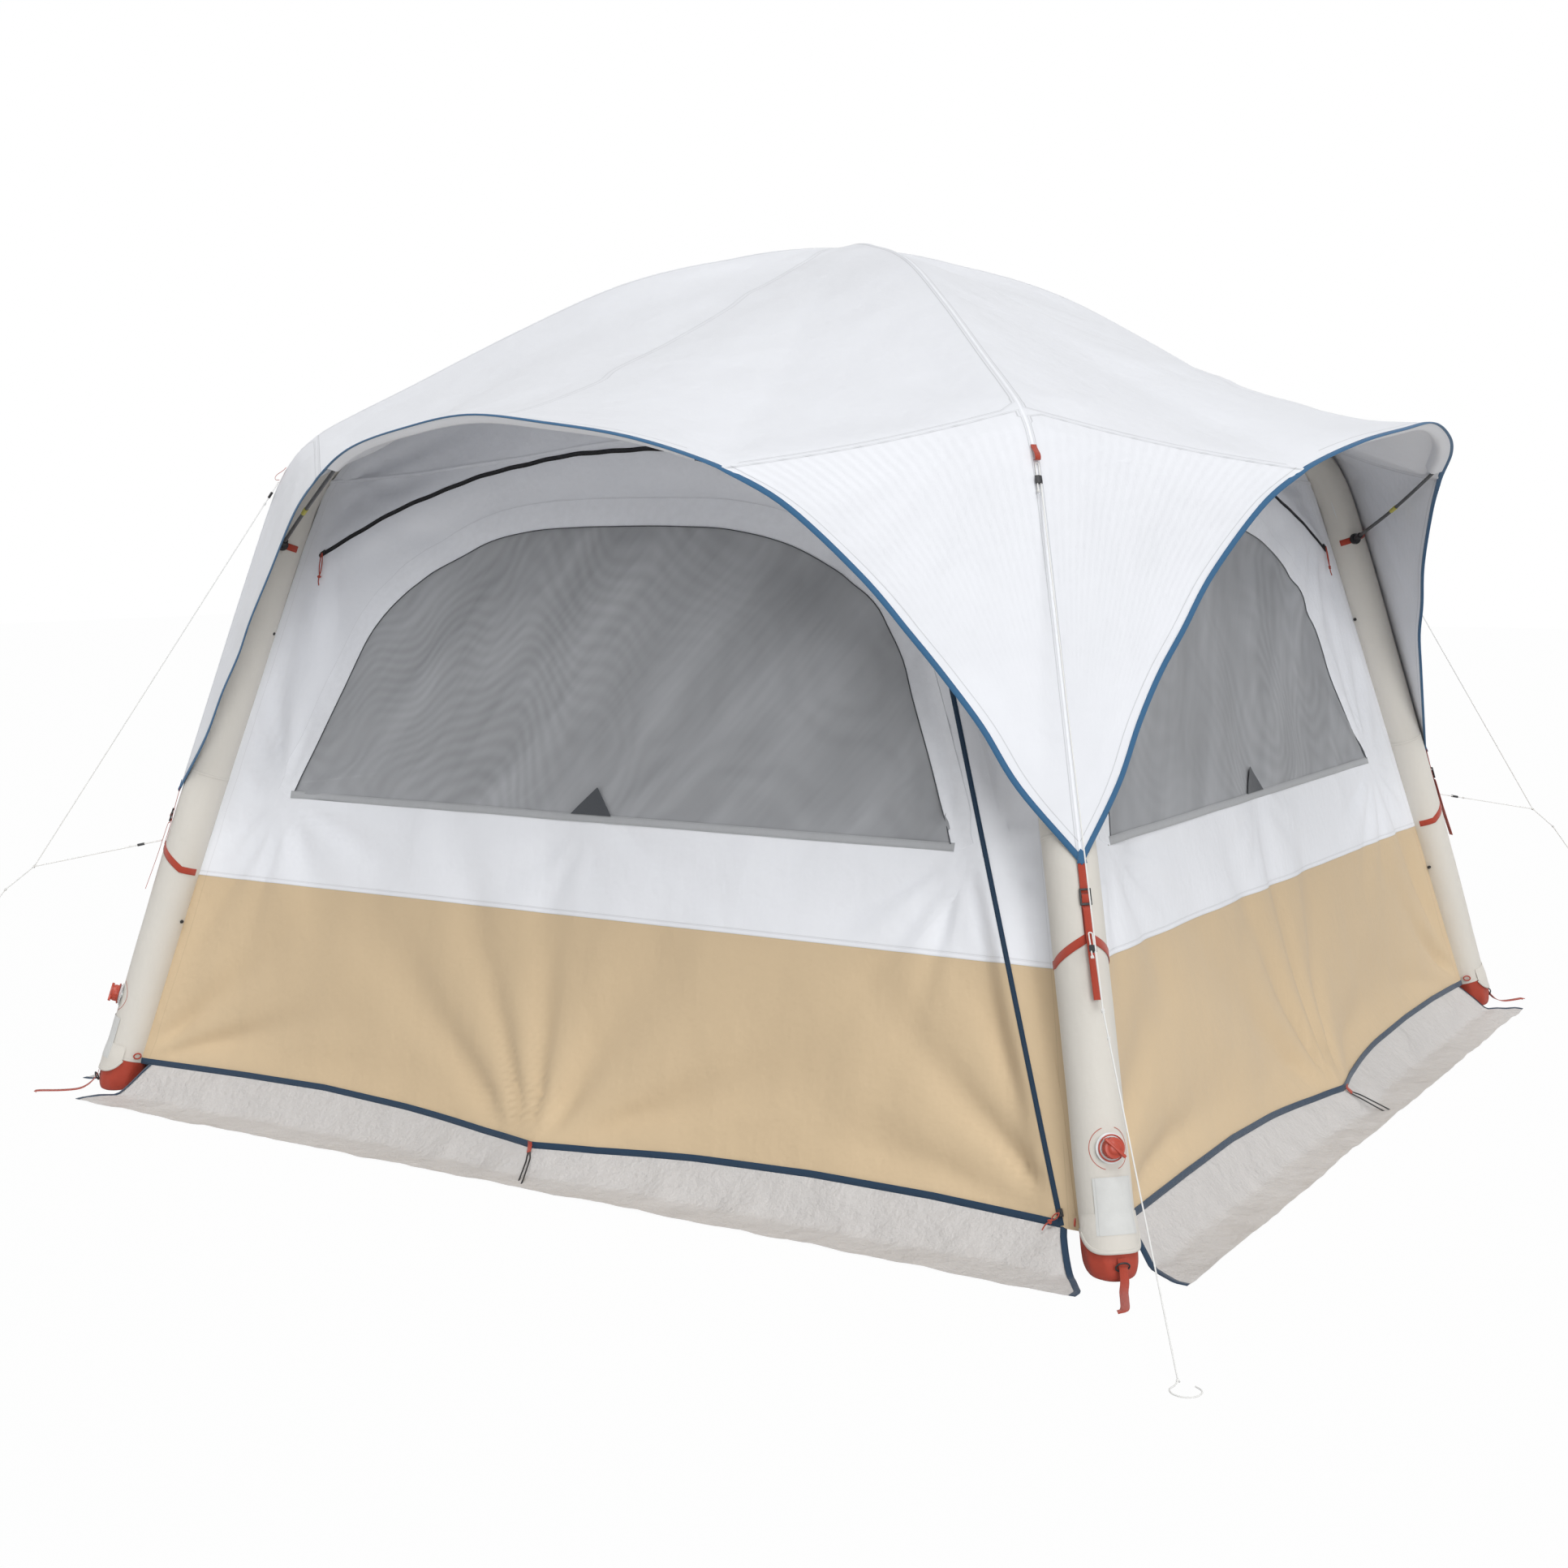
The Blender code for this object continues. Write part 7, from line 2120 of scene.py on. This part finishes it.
class TENT_OT_sleeves(bpy.types.Operator):
    """Sew the sleeves over the air tubes"""

    bl_idname = "tent.sleeves"
    bl_label = "Tube sleeves"

    def execute(self, context):
        build_sleeves()
        dress_bladders()
        return {"FINISHED"}


class TENT_OT_feet(bpy.types.Operator):
    """Make the feet with their rings and tails"""

    bl_idname = "tent.feet"
    bl_label = "Feet"

    def execute(self, context):
        build_feet()
        return {"FINISHED"}


class TENT_OT_fly(bpy.types.Operator):
    """Stretch the fly panels with their bindings and seams"""

    bl_idname = "tent.fly"
    bl_label = "Fly"

    def execute(self, context):
        build_fly()
        build_corner_seams()
        return {"FINISHED"}


class TENT_OT_poles(bpy.types.Operator):
    """Fit the visor poles and their hubs"""

    bl_idname = "tent.poles"
    bl_label = "Visor poles"

    def execute(self, context):
        build_poles()
        return {"FINISHED"}


class TENT_OT_walls(bpy.types.Operator):
    """Sew the walls and the door corner"""

    bl_idname = "tent.walls"
    bl_label = "Walls"

    def execute(self, context):
        build_walls()
        build_door_corner()
        return {"FINISHED"}


class TENT_OT_windows(bpy.types.Operator):
    """Set the window meshes with their bands"""

    bl_idname = "tent.windows"
    bl_label = "Windows"

    def execute(self, context):
        build_windows()
        return {"FINISHED"}


class TENT_OT_zips(bpy.types.Operator):
    """Sew the zips and fit their sliders"""

    bl_idname = "tent.zips"
    bl_label = "Zips"

    def execute(self, context):
        build_zips()
        build_sliders()
        return {"FINISHED"}


class TENT_OT_skirts(bpy.types.Operator):
    """Lay the ground skirts"""

    bl_idname = "tent.skirts"
    bl_label = "Ground skirts"

    def execute(self, context):
        build_skirts()
        return {"FINISHED"}


class TENT_OT_straps(bpy.types.Operator):
    """Thread the ring straps, tip straps and guy tabs"""

    bl_idname = "tent.straps"
    bl_label = "Straps"

    def execute(self, context):
        build_straps()
        return {"FINISHED"}


class TENT_OT_pegs(bpy.types.Operator):
    """Fit the peg loops and toggles"""

    bl_idname = "tent.pegs"
    bl_label = "Peg loops and toggles"

    def execute(self, context):
        build_pegs()
        return {"FINISHED"}


class TENT_OT_valves(bpy.types.Operator):
    """Fit the valves"""

    bl_idname = "tent.valves"
    bl_label = "Valves"

    def execute(self, context):
        build_valves()
        return {"FINISHED"}


STEPS = (TENT_OT_stage, TENT_OT_guys, TENT_OT_sleeves, TENT_OT_feet, TENT_OT_fly, TENT_OT_poles, TENT_OT_walls,
         TENT_OT_windows, TENT_OT_zips, TENT_OT_skirts, TENT_OT_straps, TENT_OT_pegs, TENT_OT_valves)


class TENT_PT_panel(bpy.types.Panel):
    """Tent pieces, sizes and colours"""

    bl_idname = "TENT_PT_panel"
    bl_label = "Inflatable tent"
    bl_space_type = "VIEW_3D"
    bl_region_type = "UI"
    bl_category = "Tent"

    def draw(self, context):
        for group in (context.scene.tent_sizes, context.scene.tent_colours, context.scene.tent_stage):
            box = self.layout.box()
            for name in group.bl_rna.properties.keys():
                if name not in ("rna_type", "name"):
                    box.prop(group, name)
        for step in STEPS:
            self.layout.operator(step.bl_idname)


GROUPS = (TentSizes, TentColours, TentStage)


def register():
    """Registers the groups, the operators and the panel."""
    for item in GROUPS + STEPS + (TENT_PT_panel,):
        bpy.utils.register_class(item)
    bpy.types.Scene.tent_sizes = bpy.props.PointerProperty(type=TentSizes)
    bpy.types.Scene.tent_colours = bpy.props.PointerProperty(type=TentColours)
    bpy.types.Scene.tent_stage = bpy.props.PointerProperty(type=TentStage)


def unregister():
    """Takes all of it out again."""
    for name in ("tent_sizes", "tent_colours", "tent_stage"):
        delattr(bpy.types.Scene, name)
    for item in reversed(GROUPS + STEPS + (TENT_PT_panel,)):
        bpy.utils.unregister_class(item)


def main():
    """Builds every piece in order."""
    register()
    for step in STEPS:
        group, name = step.bl_idname.split(".")
        getattr(getattr(bpy.ops, group), name)()


if __name__ == "__main__":
    main()
